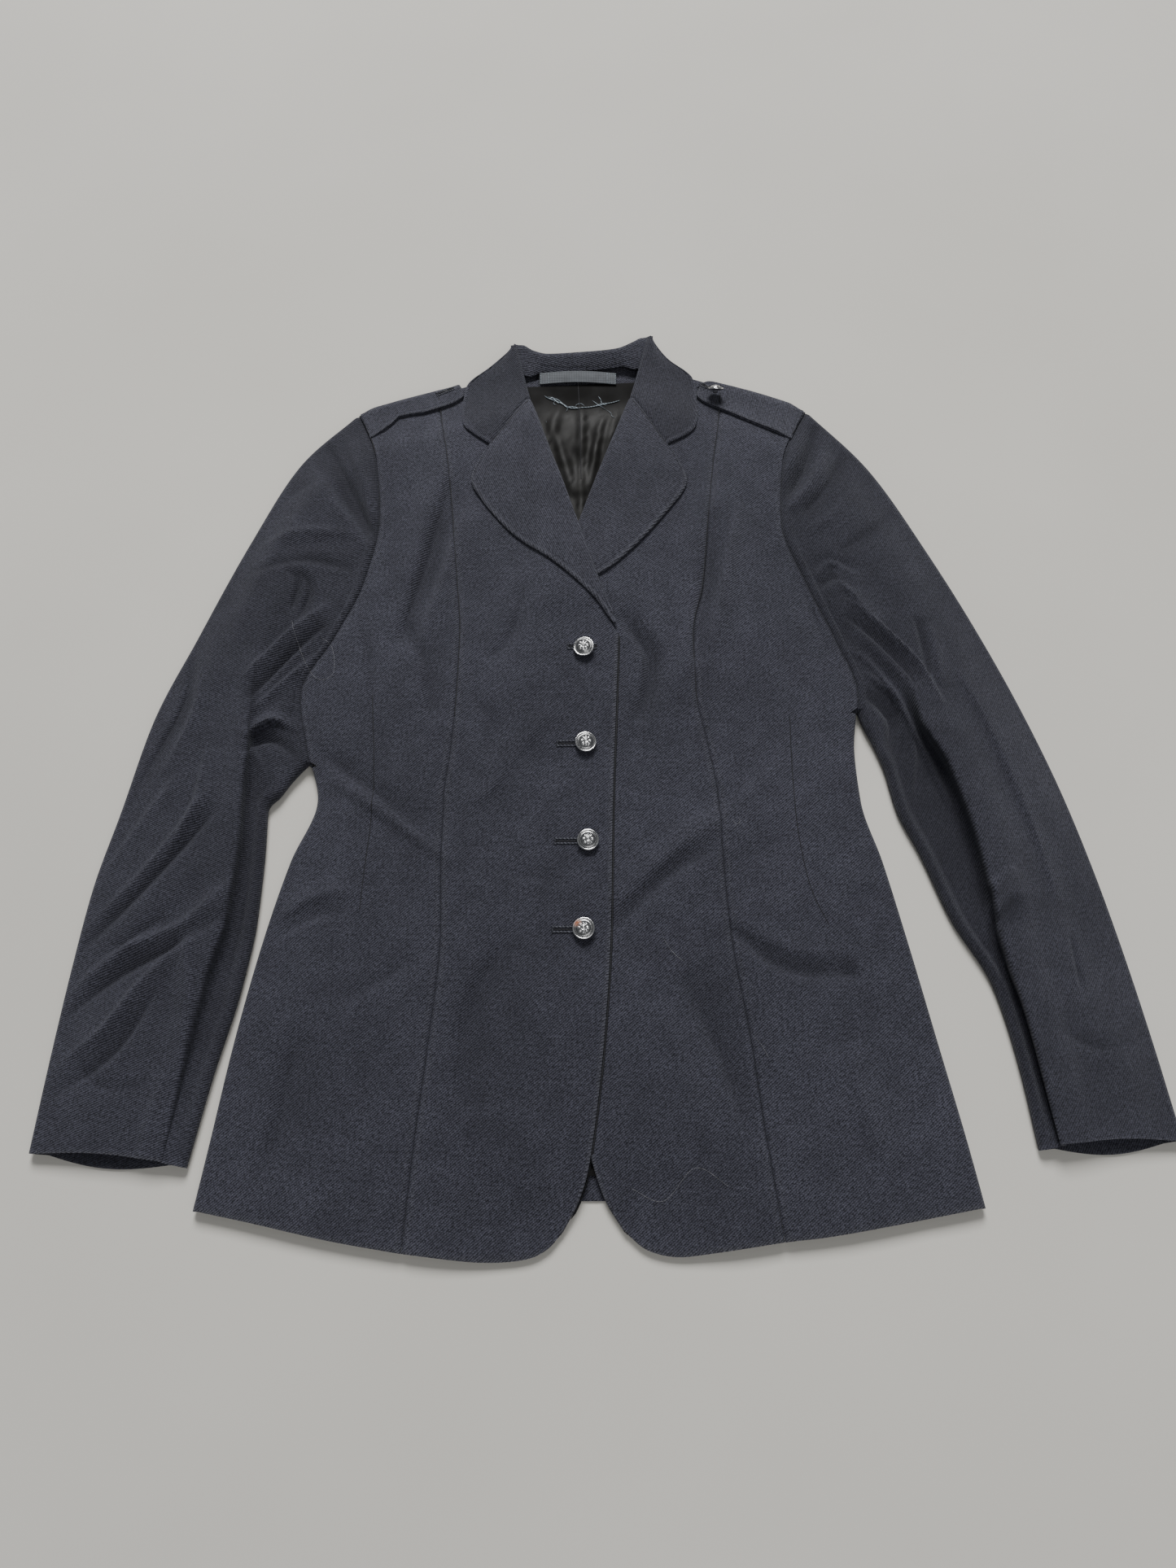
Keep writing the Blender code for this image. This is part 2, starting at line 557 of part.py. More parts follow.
def side_front(side, name, finish, parts):
    """Side front panel: from the folded side and armhole to the princess seam and shoulder."""
    gap = side.inward * SEAM_GAP / 2
    hem_end = side.hem[-1]
    corner_y = side.hem[0][1]
    rim = column("rim_rise", np.linspace(corner_y, side.underarm - CROTCH, SKIRT_ROWS))
    fold_radius = (rim - FLOOR_WALL) / 2.0
    inset = fold_radius + FLOOR_WALL
    shares = np.linspace(0.0, 0.60, SIDE_COLUMNS + 1)
    top, top_out = side.shoulder_line(FOLD_INSET, np.linspace(0.0, side_share(side), SIDE_COLUMNS + 1))
    arm, half_gap = side.armhole(FOLD_INSET)
    arm[:, 0] += side.inward * half_gap
    skirt = side.side_line(corner_y, inset)
    left = np.vstack([skirt, arm])
    top = top + (arm[-1] - top[0]) * (1.0 - shares[:, None] / shares[-1])
    right = side.princess_line(hem_end[1], top[-1][1], -gap)
    right[-1] = top[-1] - np.array([gap, 0.0])
    top[-1] = right[-1]
    hem = [tuple(left[0])] + list(side.hem[1:-1]) + [tuple(right[0])]
    bottom = through(hem, np.linspace(0, 1, SIDE_COLUMNS + 1))
    plan = patch(bottom, top, left, right)
    grid = lift(plan, body_rise(plan[..., 0], plan[..., 1]))
    grid[:SKIRT_ROWS, 0, 2] = rim
    grid[-1, :, 2] = SHOULDER_RISE
    side_out = np.column_stack([np.full(SKIRT_ROWS, -side.inward), np.zeros(SKIRT_ROWS)])
    side_wrap = wrapped_edge(grid[:SKIRT_ROWS, 0], side_out, FLOOR_WALL, TAIL_INSET - inset)
    top_wrap = wrapped_edge(grid[-1], top_out, FLOOR_WALL, TAIL_INSET - FOLD_INSET)
    wraps = [
        ([(j, 0) for j in range(SKIRT_ROWS)], side_wrap),
        ([(len(left) - 1, i) for i in range(SIDE_COLUMNS + 1)], top_wrap),
    ]
    return cloth(name, grid, WALL, finish, parts, wraps)


def side_share(side):
    """Share of the shoulder fold, from the armhole, where the princess seam meets it."""
    line = through(side.shoulder, np.linspace(0.0, 1.0, 81))
    princess = column(side.princess, line[:, 1])
    return float(np.argmin(np.abs(line[:, 0] - princess))) / 80.0


def front_edge_line(side, edge, neck_point):
    """Free edge of a front: the front edge, then in from the lapel's roll line, to the neck."""
    y = side.stations(side.hem_front[-1][1], neck_point[1])
    inset = np.interp(y, *LAPEL_CLEAR[edge])
    inset = inset + NECK_CLEAR * smooth_step((y - ARM_LEVELS[-1] - 0.06) / 0.05)
    line = np.column_stack([edge_at(edge, y) - side.inward * inset, y])
    line[-1] = neck_point
    return line


def neck_point(side):
    """Corner of a front at the shoulder fold, under the collar."""
    line, _ = side.shoulder_line(FOLD_INSET, np.array([0.0, NECK_SHARE]))
    return line[1]


def front(side, name, rise, edge, finish, parts):
    """Centre front panel: from the princess seam to the front edge and the lapel's roll."""
    gap = side.inward * SEAM_GAP / 2
    start = side_share(side)
    top, top_out = side.shoulder_line(FOLD_INSET, np.linspace(start, NECK_SHARE, FRONT_COLUMNS + 1))
    left = side.princess_line(side.hem[-1][1], top[0][1], gap)
    left[-1] = top[0] + np.array([gap, 0.0])
    top[0] = left[-1]
    right = front_edge_line(side, edge, top[-1])
    bottom = through([tuple(left[0])] + list(side.hem_front[1:]), np.linspace(0, 1, FRONT_COLUMNS + 1))
    right[0] = bottom[-1]
    plan = patch(bottom, top, left, right)
    grid = lift(plan, rise(plan[..., 0], plan[..., 1]))
    grid[-1, :, 2] = SHOULDER_RISE
    low = back_rise(grid[-1, :, 0], grid[-1, :, 1])
    top_wrap = wrapped_edge(grid[-1], top_out, low, TAIL_INSET - FOLD_INSET)
    wraps = [([(len(left) - 1, i) for i in range(FRONT_COLUMNS + 1)], top_wrap)]
    return cloth(name, grid, WALL, finish, parts, wraps)


def back(side, name, finish, parts):
    """Half of the back, flat on the surface: centre seam to folded side, armhole and shoulder."""
    inset = TAIL_INSET + SEAM_GAP
    centre_x = CENTRE_BACK_X - side.inward * SEAM_GAP / 2
    arm, half_gap = side.armhole(inset)
    arm[:, 0] += side.inward * half_gap
    corner_y = side.hem[0][1]
    left = np.vstack([side.side_line(corner_y, inset), arm])
    shoulder, _ = side.shoulder_line(inset, np.linspace(0.0, 0.93, 5))
    shoulder = shoulder + (arm[-1] - shoulder[0]) * np.linspace(1.0, 0.0, 5)[:, None]
    beside = (centre_x - side.inward * 0.030, NECK_DIP_Y + 0.001)
    neck = through([tuple(shoulder[-1]), beside, (centre_x, NECK_DIP_Y)],
                   np.linspace(0.0, 1.0, BACK_COLUMNS - 3))
    top = np.vstack([shoulder, neck[1:]])
    bottom = through([tuple(left[0]), (centre_x - side.inward * 0.12, HEM_BACK_Y), (centre_x, HEM_BACK_Y)],
                     np.linspace(0, 1, len(top)))
    right = np.column_stack([np.full(len(left), centre_x), side.stations(HEM_BACK_Y, NECK_DIP_Y)])
    plan = patch(bottom, top, left, right)
    grid = lift(plan, back_rise(plan[..., 0], plan[..., 1]))
    return cloth(name, grid, WALL, finish, parts)


def sleeve_column(table, name, along):
    """One column of a sleeve's sections."""
    return spline([row.along for row in table], [getattr(row, name) for row in table], along)


def sleeve_stations():
    """Shares of the way down the sleeve: the armhole, just past it, then even steps."""
    return np.concatenate([[0.0, 0.014], np.linspace(0.06, 1.0, SLEEVE_ROWS - 2)])


def sleeve_edges(side, table, along, inner_inset, outer_inset):
    """Inner and outer edges of a sleeve, moved in by the insets, with their outward normals."""
    inner = np.column_stack([sleeve_column(table, "inner_x", along), sleeve_column(table, "inner_y", along)])
    outer = np.column_stack([sleeve_column(table, "outer_x", along), sleeve_column(table, "outer_y", along)])
    inner_out = normals_of(inner) * side.inward
    outer_out = normals_of(outer) * -side.inward
    turn = smooth_step(along / 0.20)[:, None]
    outer_out = outer_out * turn + side.tip_out * (1.0 - turn)
    outer_out /= np.linalg.norm(outer_out, axis=1)[:, None]
    inner = inner - inner_out * np.broadcast_to(inner_inset, along.shape)[:, None]
    outer = outer - outer_out * np.broadcast_to(outer_inset, along.shape)[:, None]
    return inner, outer, inner_out, outer_out


def sleeve_plan(side, along, inner, outer, arm, columns, bow):
    """Plan points of a sleeve: straight across, bent to the armhole seam and bowed at the cuff."""
    across = np.linspace(0.0, 1.0, columns + 1)
    straight = inner[:, None] + (outer - inner)[:, None] * across[None, :, None]
    bend = arm - straight[0]
    fade = np.clip(1.0 - along / HEAD_SHARE, 0.0, 1.0) ** 2
    down = 0.5 * (inner[-1] + outer[-1] - inner[-2] - outer[-2])
    down = down / np.linalg.norm(down)
    near_cuff = smooth_step((along - CUFF_SHARE) / (1.0 - CUFF_SHARE))
    bowed = bow * near_cuff[:, None] * np.sin(math.pi * across)[None]
    return straight + fade[:, None, None] * bend[None] + bowed[..., None] * down


def sleeve_rise(table, along, across):
    """Height across a sleeve: inner edge, low ledge, step up at the fold, crown, outer edge."""
    rise = np.zeros((len(along), len(across)))
    for j, share in enumerate(along):
        fold = float(sleeve_column(table, "fold", share))
        knots = [0.0, max(fold - STEP_WIDTH, 0.04), fold, 0.5 * (fold + 1.0), 1.0]
        names = ["inner_rise", "low", "high", "crown", "outer_rise"]
        rise[j] = spline(knots, [float(sleeve_column(table, name, share)) for name in names], across)
    return rise


def top_sleeve(side, table, folds, name, finish, parts):
    """Upper sleeve, wrapped round both folded edges, open at the cuff."""
    along = sleeve_stations()
    inner_top = sleeve_column(table, "inner_rise", along)
    outer_top = sleeve_column(table, "outer_rise", along)
    inner_inset = (inner_top - FLOOR_WALL) / 2 + FLOOR_WALL
    outer_inset = np.maximum((outer_top - FLOOR_WALL) / 2 + FLOOR_WALL, 0.0045)
    outer_inset[0] = FOLD_INSET
    inner_inset[0] = 0.0
    inner, outer, inner_out, outer_out = sleeve_edges(side, table, along, inner_inset, outer_inset)
    arm, half_gap = side.armhole(FOLD_INSET)
    heights = body_rise(arm[:, 0], arm[:, 1])
    heights[-1] = SHOULDER_RISE
    arm[:, 0] -= side.inward * half_gap
    plan = sleeve_plan(side, along, inner, outer, arm, ARM_ROWS, UPPER_BOW)
    across = np.linspace(0.0, 1.0, ARM_ROWS + 1)
    rise = sleeve_rise(table, along, across)
    fade = (np.clip(1.0 - along / HEAD_SHARE, 0.0, 1.0) ** 2)[:, None]
    rise = rise + fade * (heights - rise[0])[None]
    middle = np.sin(math.pi * across)[None] ** 0.5
    ease = smooth_step(along / 0.05)[:, None]
    rise = rise + folds_at(folds, plan[..., 0], plan[..., 1]) * middle * ease
    grid = lift(plan, rise)
    last = len(across) - 1
    inner_wrap = wrapped_edge(grid[1:, 0], inner_out[1:], FLOOR_WALL, TAIL_INSET - inner_inset[1:])
    outer_wrap = wrapped_edge(grid[:, last], outer_out, FLOOR_WALL, TAIL_INSET - outer_inset)
    wraps = [
        ([(j, 0) for j in range(1, len(along))], inner_wrap),
        ([(j, last) for j in range(len(along))], outer_wrap),
    ]
    return cloth(name, grid, WALL, finish, parts, wraps)


def under_sleeve(side, table, name, finish, parts):
    """Under sleeve, flat on the surface between the upper sleeve's two edges."""
    along = sleeve_stations()
    inset = np.full(len(along), TAIL_INSET + SEAM_GAP)
    inner_inset = inset.copy()
    inner_inset[0] = 0.0
    inner, outer, _, _ = sleeve_edges(side, table, along, inner_inset, inset)
    arm, half_gap = side.armhole(TAIL_INSET + SEAM_GAP)
    arm[:, 0] -= side.inward * half_gap
    plan = sleeve_plan(side, along, inner, outer, arm, ARM_ROWS, LOWER_BOW)
    return cloth(name, lift(plan, FLOOR_WALL), WALL, finish, parts)


def lapel(side, name, edge, edge_line, foot_y, gorge_inner, base, finish, parts):
    """Lapel: laid back on its front, its inner edge wrapped down to the front's roll line."""
    shares = np.linspace(0.0, 1.0, LAPEL_ROWS + 1)
    outer = through(edge_line, shares)
    roll_y = foot_y + (gorge_inner[1] - foot_y) * shares
    roll = np.column_stack([edge_at(edge, roll_y), roll_y])
    roll_out = normals_of(roll) * -side.inward
    panel = base(roll[:, 0], roll[:, 1])
    top = lapel_rise(roll[:, 0], roll[:, 1], base, np.ones(len(roll)))
    radius = (top - panel) / 2.0
    inset = radius + WALL / 2
    inner = roll - roll_out * inset[:, None]
    cross = np.linspace(0.0, 1.0, LAPEL_COLUMNS + 1)[:, None]
    start = outer[0] + (inner[0] - outer[0]) * cross
    end = outer[-1] + (inner[-1] - outer[-1]) * cross
    plan = patch(start, end, outer, inner)
    across = np.broadcast_to(np.linspace(0.0, 1.0, LAPEL_COLUMNS + 1)[None], plan.shape[:2])
    grid = lift(plan, lapel_rise(plan[..., 0], plan[..., 1], base, across))
    panel_edge = front_edge_line(side, edge, neck_point(side))
    panel_x = np.interp(inner[:, 1], panel_edge[:, 1], panel_edge[:, 0])
    reach = np.abs(panel_x - inner[:, 0]) * np.abs(roll_out[:, 0])
    tail = np.minimum(reach, LAPEL_TAIL - inset) - LAY_GAP
    wrap = wrapped_edge(grid[:, -1], roll_out, base(inner[:, 0], inner[:, 1]), np.maximum(tail, 0.0002))
    return cloth(name, grid, WALL, finish, parts, [([(j, LAPEL_COLUMNS) for j in range(len(grid))], wrap)])


def collar_fall(side, name, edge_line, gorge_inner, peak, base, finish, parts):
    """Front of the collar: lies on the shoulder, butts the lapel at the gorge, folds in at the neck."""
    shares = np.linspace(0.0, 1.0, COLLAR_ROWS + 1)
    outer = through(edge_line, shares)
    start = np.array(gorge_inner) + np.array([-side.inward * 0.0004, 0.0003])
    roll = start + (np.array(peak) - start) * shares[:, None]
    roll_out = normals_of(roll) * -side.inward
    top = collar_rise(roll, base, np.ones(len(roll)))
    low = collar_low(roll, base, shares)
    radius = (top - low) / 2.0
    inset = radius + WALL / 2
    inner = roll - roll_out * inset[:, None]
    inner[-1] = outer[-1] + (inner[-1] - outer[-1]) * 0.9
    cross = np.linspace(0.0, 1.0, COLLAR_COLUMNS + 1)[:, None]
    start = outer[0] + (inner[0] - outer[0]) * cross
    end = outer[-1] + (inner[-1] - outer[-1]) * cross
    plan = patch(start, end, outer, inner)
    across = np.broadcast_to(np.linspace(0.0, 1.0, COLLAR_COLUMNS + 1)[None], plan.shape[:2])
    grid = lift(plan, collar_rise(plan, base, across))
    wrap = wrapped_edge(grid[:, -1], roll_out, low, 0.0015)
    return cloth(name, grid, WALL, finish, parts, [([(j, COLLAR_COLUMNS) for j in range(len(grid))], wrap)])


def collar_rise(plan, base, across):
    """Height of the collar's falls: over the shoulder, in bloom at the fold round the neck."""
    x = plan[..., 0]
    y = plan[..., 1]
    inside_y = np.minimum(y, shoulder_y(x) - FOLD_INSET)
    return np.maximum(base(x, inside_y), SHOULDER_RISE) + NEXT_LAYER + LAPEL_BLOOM * smooth_step(across)


def collar_low(roll, base, shares):
    """Height that the collar's inner fold comes down to: the front at the gorge, the neck behind."""
    panel = base(roll[:, 0], np.minimum(roll[:, 1], NECK_SIDE_R[1]))
    return panel + (STAND_FLOOR - panel) * smooth_step(shares)


def collar_back(finish, parts):
    """Collar behind the neck: up from the neck seam, over the fold, its fall under the back."""
    x = np.linspace(BACK_FOLD[0].x, BACK_FOLD[-1].x, BACK_FOLD_COLUMNS + 1)
    fold_y = spline([f.x for f in BACK_FOLD], [f.y for f in BACK_FOLD], x)
    rows = []
    for bend in COLLAR_SECTION:
        level = smooth_step((bend.back - 0.010) / 0.024)
        y = (fold_y - bend.back) * (1 - level) + FALL_EDGE_Y * level
        rows.append(np.column_stack([x, y, np.full(len(x), bend.rise)]))
    return cloth("collar_back", np.stack(rows), WALL, finish, parts)


def neck_lining(finish, parts):
    """Back lining where the neck shows it, crumpled over the back."""
    a, b, c, d = [np.array(p) for p in NECK_LINING]
    rows, columns = 12, 10
    cross = np.linspace(0.0, 1.0, columns + 1)[:, None]
    down = np.linspace(0.0, 1.0, rows + 1)[:, None]
    plan = patch(d + (c - d) * cross, a + (b - a) * cross, d + (a - d) * down, c + (b - c) * down)
    x, y = plan[..., 0], plan[..., 1]
    rise = back_rise(x, y) + WALL / 2 + LAY_GAP + LINING_WALL / 2
    rise = rise + 0.0004 + folds_at(NECK_CRUMPLES, x, y)
    return cloth("lining_neck", lift(plan, rise), LINING_WALL, finish, parts)


def hem_lining(finish, parts):
    """Back lining above the hem, where the fronts part."""
    x = np.linspace(HEM_LINING[0], HEM_LINING[1], 7)
    y = np.linspace(HEM_LINING_Y[0], HEM_LINING_Y[1], 4)
    plan = np.stack(np.meshgrid(x, y), axis=-1)
    rise = FLOOR_WALL + WALL / 2 + LAY_GAP + LINING_WALL / 2
    return cloth("lining_hem", lift(plan, rise), LINING_WALL, finish, parts)


def hanger_tape(finish, parts):
    """Hanger loop: a flat tape across the back of the neck, arched between its sewn ends."""
    start = np.array(TAPE_START)
    end = np.array(TAPE_END)
    across = np.linspace(-0.5, 0.5, 3) * TAPE_WIDTH
    along = np.linspace(0.0, 1.0, 9)
    centre = start + (end - start) * along[:, None]
    plan = centre[:, None] + np.array([0.0, 1.0])[None, None] * across[None, :, None]
    base = back_rise(plan[..., 0], plan[..., 1]) + WALL / 2 + 2 * LAY_GAP + LINING_WALL
    base = base + 0.0007 + TAPE_WALL / 2
    rise = base + TAPE_ARCH * np.sin(math.pi * along)[:, None]
    return cloth("hanger_tape", lift(plan, rise), TAPE_WALL, finish, parts)


def shoulder_surface(side, share, reach):
    """Point and normal on the shoulder cloth: reach in from the fold's start, negative round it."""
    edge, out = side.shoulder_line(FOLD_INSET, np.linspace(0.0, 1.0, 41))
    at = share * 40.0
    e = np.array([np.interp(at, np.arange(41), edge[:, k]) for k in range(2)])
    n = np.array([np.interp(at, np.arange(41), out[:, k]) for k in range(2)])
    n /= np.linalg.norm(n)
    radius = (SHOULDER_RISE - FLOOR_WALL) / 2.0
    if reach < 0.0:
        turn = -reach / radius
        plan = e + n * radius * math.sin(turn)
        point = np.array([plan[0], plan[1], FLOOR_WALL + radius * (1.0 + math.cos(turn))])
        normal = np.array([n[0] * math.sin(turn), n[1] * math.sin(turn), math.cos(turn)])
        return point, normal
    plan = e - n * reach
    step = 0.002
    here = float(body_rise(plan[0], plan[1]))
    ahead_x = float(body_rise(plan[0] + step, plan[1]))
    ahead_y = float(body_rise(plan[0], plan[1] + step))
    normal = np.array([-(ahead_x - here) / step, -(ahead_y - here) / step, 1.0])
    normal /= np.linalg.norm(normal)
    return np.array([plan[0], plan[1], max(here, SHOULDER_RISE)]), normal


def strap_point(side, strap, share, across):
    """Mid-wall point of a strap laid on the shoulder, and its normal."""
    tip = np.clip((share - (1.0 - STRAP_TIP_SHARE)) / STRAP_TIP_SHARE, 0.0, 1.0)
    narrow = 1.0 - 0.62 * (1.0 - math.sqrt(max(1.0 - tip * tip, 0.0)))
    places = [row.place for row in strap]
    place = places[0] + (places[-1] - places[0]) * share
    inner = float(spline(places, [row.inner for row in strap], place))
    outer = float(spline(places, [row.round for row in strap], place))
    middle = 0.5 * (inner + outer)
    half = 0.5 * (inner - outer) * narrow
    reach = middle + half * (1.0 - 2.0 * across)
    point, normal = shoulder_surface(side, place, reach)
    return point + normal * (WALL / 2 + STRAP_CLEAR + STRAP_WALL / 2), normal


def shoulder_strap(side, strap, name, finish, parts):
    """Shoulder strap of two plies, from the armhole seam to its rounded end by the collar."""
    grid = np.zeros((STRAP_ROWS + 1, STRAP_COLUMNS + 1, 3))
    for j in range(STRAP_ROWS + 1):
        share = 1.0 - (1.0 - j / STRAP_ROWS) ** 1.35
        for i in range(STRAP_COLUMNS + 1):
            grid[j, i], _ = strap_point(side, strap, share, i / STRAP_COLUMNS)
    return cloth(name, grid, STRAP_WALL, finish, parts)


def button(name, radius, seat, tilt_x, tilt_y, finish, parts):
    """Domed metal button: a turned face and rim on a short shank, tilted on its seat."""
    dome = BUTTON_DOME * radius / BUTTON_RADIUS
    shank = SHANK_RADIUS * radius / BUTTON_RADIUS
    profile = [(0.0, SHANK_LENGTH + BUTTON_RIM + dome)]
    for k in range(1, 5):
        turn = 0.5 * math.pi * k / 4
        profile.append((radius * 0.94 * math.sin(turn), SHANK_LENGTH + BUTTON_RIM + dome * math.cos(turn)))
    profile += [
        (radius, SHANK_LENGTH + BUTTON_RIM * 0.8),
        (radius, SHANK_LENGTH + BUTTON_RIM * 0.2),
        (radius * 0.92, SHANK_LENGTH),
        (shank, SHANK_LENGTH),
        (shank, 0.0),
        (0.0, 0.0),
    ]
    mesh = bpy.data.meshes.new(name)
    mesh.from_pydata([(r, 0.0, z) for r, z in profile], [(k, k + 1) for k in range(len(profile) - 1)], [])
    item = add_object(name, mesh, finish, parts)
    turned = item.modifiers.new("Turned", "SCREW")
    turned.steps = BUTTON_SIDES
    turned.render_steps = BUTTON_SIDES
    turned.use_merge_vertices = True
    turned.merge_threshold = 0.00005
    turned.use_normal_calculate = False
    item.location = (seat[0] + LAY_X, seat[1] + LAY_Y, seat[2])
    item.rotation_euler = (math.radians(tilt_x), math.radians(tilt_y), 0.0)
    return item


def front_buttons(finish, parts):
    """The four front buttons, each on the overlapping front."""
    for index, place in enumerate(BUTTONS, start=1):
        tilt = math.radians(max(abs(place.tilt_x), abs(place.tilt_y)))
        top = float(over_rise(place.x, place.y)) + WALL / 2
        lean = BUTTON_RADIUS * math.sin(tilt) - SHANK_LENGTH * math.cos(tilt)
        lean = max(lean, SHANK_RADIUS * math.sin(tilt))
        seat = (place.x, place.y, top + SEAM_GAP + lean)
        button(f"button_{index}", BUTTON_RADIUS, seat, place.tilt_x, place.tilt_y, finish, parts)


def strap_button(side, finish, parts):
    """The left strap's button, lying over on its rim."""
    point, normal = shoulder_surface(side, STRAP_BUTTON_SHARE, STRAP_BUTTON_IN)
    on_strap = point + normal * (WALL / 2 + STRAP_CLEAR + STRAP_WALL)
    tilt = math.radians(STRAP_BUTTON_TILT)
    lean = STRAP_BUTTON_RADIUS * math.sin(tilt) - SHANK_LENGTH * math.cos(tilt)
    seat = (on_strap[0], on_strap[1] - 0.003, on_strap[2] + lean)
    button("strap_button_left", STRAP_BUTTON_RADIUS, seat, -STRAP_BUTTON_TILT, 0.0, finish, parts)


def build():
    """Cut and lay every piece of the tunic."""
    for item in list(bpy.data.objects):
        bpy.data.objects.remove(item, do_unlink=True)
    parts = bpy.data.collections.new("police_uniform_tunic")
    bpy.context.scene.collection.children.link(parts)

    navy = material("navy_twill", NAVY, 0.85)
    satin = material("black_satin", BLACK_SATIN, 0.40)
    tape = material("tape", TAPE_BLUE, 0.70)
    chrome = material("chrome", CHROME, 0.22, 1.0)

    right = Side(True)
    left = Side(False)
    back(right, "back_right", navy, parts)
    back(left, "back_left", navy, parts)
    side_front(right, "side_front_right", navy, parts)
    side_front(left, "side_front_left", navy, parts)
    front(right, "front_right", over_rise, "over", navy, parts)
    front(left, "front_left", body_rise, "under", navy, parts)
    top_sleeve(right, SLEEVE_R, SLEEVE_FOLDS_R, "top_sleeve_right", navy, parts)
    top_sleeve(left, SLEEVE_L, SLEEVE_FOLDS_L, "top_sleeve_left", navy, parts)
    under_sleeve(right, SLEEVE_R, "under_sleeve_right", navy, parts)
    under_sleeve(left, SLEEVE_L, "under_sleeve_left", navy, parts)
    lapel(right, "lapel_right", "over", LAPEL_EDGE_R, LAPEL_FOOT_R, GORGE_INNER_R, over_rise, navy, parts)
    lapel(left, "lapel_left", "under", LAPEL_EDGE_L, LAPEL_FOOT_L, GORGE_INNER_L, body_rise, navy, parts)
    collar_fall(right, "collar_right", COLLAR_EDGE_R, GORGE_INNER_R, PEAK_R, over_rise, navy, parts)
    collar_fall(left, "collar_left", COLLAR_EDGE_L, GORGE_INNER_L, PEAK_L, body_rise, navy, parts)
    collar_back(navy, parts)
    neck_lining(satin, parts)
    hem_lining(satin, parts)
    hanger_tape(tape, parts)
    shoulder_strap(right, STRAP_R, "shoulder_strap_right", navy, parts)
    shoulder_strap(left, STRAP_L, "shoulder_strap_left", navy, parts)
    front_buttons(chrome, parts)
    strap_button(left, chrome, parts)


build()
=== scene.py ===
"""Looks of a women's police uniform tunic that lies on its back, front up, on a pale floor.

Every panel is a thin shell on the form of its solid, with the main creases of the cloth.
Plan sizes are the garment's own: x from the button line, y from the front hem's corner,
in metres, and LAY brings them to the frame's origin.
"""

import logging
import math
from dataclasses import dataclass
from enum import Enum
from typing import Callable, Sequence

import bmesh
import bpy
import numpy as np
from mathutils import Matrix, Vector
from mathutils.bvhtree import BVHTree


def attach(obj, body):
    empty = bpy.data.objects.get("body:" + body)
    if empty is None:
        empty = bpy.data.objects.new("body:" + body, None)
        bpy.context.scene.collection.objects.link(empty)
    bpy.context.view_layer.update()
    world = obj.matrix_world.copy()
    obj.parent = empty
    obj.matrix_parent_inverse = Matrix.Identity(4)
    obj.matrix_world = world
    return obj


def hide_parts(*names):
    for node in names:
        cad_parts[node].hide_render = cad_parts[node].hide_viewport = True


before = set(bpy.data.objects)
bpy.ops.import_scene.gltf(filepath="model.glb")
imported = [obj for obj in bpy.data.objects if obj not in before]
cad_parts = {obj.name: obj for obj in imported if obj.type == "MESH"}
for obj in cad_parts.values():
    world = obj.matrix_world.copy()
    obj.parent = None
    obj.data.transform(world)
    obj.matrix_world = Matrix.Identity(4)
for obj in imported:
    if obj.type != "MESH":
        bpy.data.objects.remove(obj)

Array = np.ndarray
Point = tuple[float, float]
Rise = Callable[[Array, Array], Array]
Wrap = tuple[list[int], Array]

LOG = logging.getLogger("tunic")
BODY = "root"
LAY = np.array([-0.0134, -0.3664, 0.0])


# Sizes of the cloth and its form


@dataclass(frozen=True)
class ClothSizes:
    """Thicknesses and gaps of the cloth, as the solids have them."""

    wall: float = 0.0020
    shell: float = 0.0016
    lining: float = 0.0010
    seam_gap: float = 0.0004
    lay_gap: float = 0.0006
    fold_inset: float = 0.0060
    tail_inset: float = 0.0125
    fold_steps: int = 10
    row_step: float = 0.0032
    edge_steps: tuple[float, ...] = (0.0, 0.0007, 0.0014, 0.0022, 0.0032, 0.0046)

    @property
    def floor(self) -> float:
        """Height of a mid wall that lies on the surface."""
        return self.wall / 2

    @property
    def layer(self) -> float:
        """Step up from one cloth to the next that lies on it."""
        return self.wall + self.lay_gap


@dataclass(frozen=True)
class BodyRow:
    """One level of the body: its seam lines' x, right and left, and the cloth's heights."""

    y: float
    outer_r: float
    princess_r: float
    princess_l: float
    outer_l: float
    rim: float
    crown: float


@dataclass(frozen=True)
class EdgeRow:
    """One level of the front edges: x of the overlapping and of the under one."""

    y: float
    over: float
    under: float


@dataclass(frozen=True)
class SleeveRow:
    """One section of a sleeve: its folded edges, and the step up across it."""

    along: float
    inner_x: float
    inner_y: float
    outer_x: float
    outer_y: float
    fold: float
    low: float
    high: float
    crown: float
    inner_rise: float
    outer_rise: float


@dataclass(frozen=True)
class StrapRow:
    """One place along the shoulder fold: how far a strap reaches in from it and round it."""

    place: float
    inner: float
    round: float


@dataclass(frozen=True)
class Crease:
    """A soft ridge, or a trough where rise is below 0, along a bent line on the cloth, steeper on one hand."""

    path: tuple[Point, ...]
    width: float
    rise: float
    lean: float = 1.0


SIZES = ClothSizes()

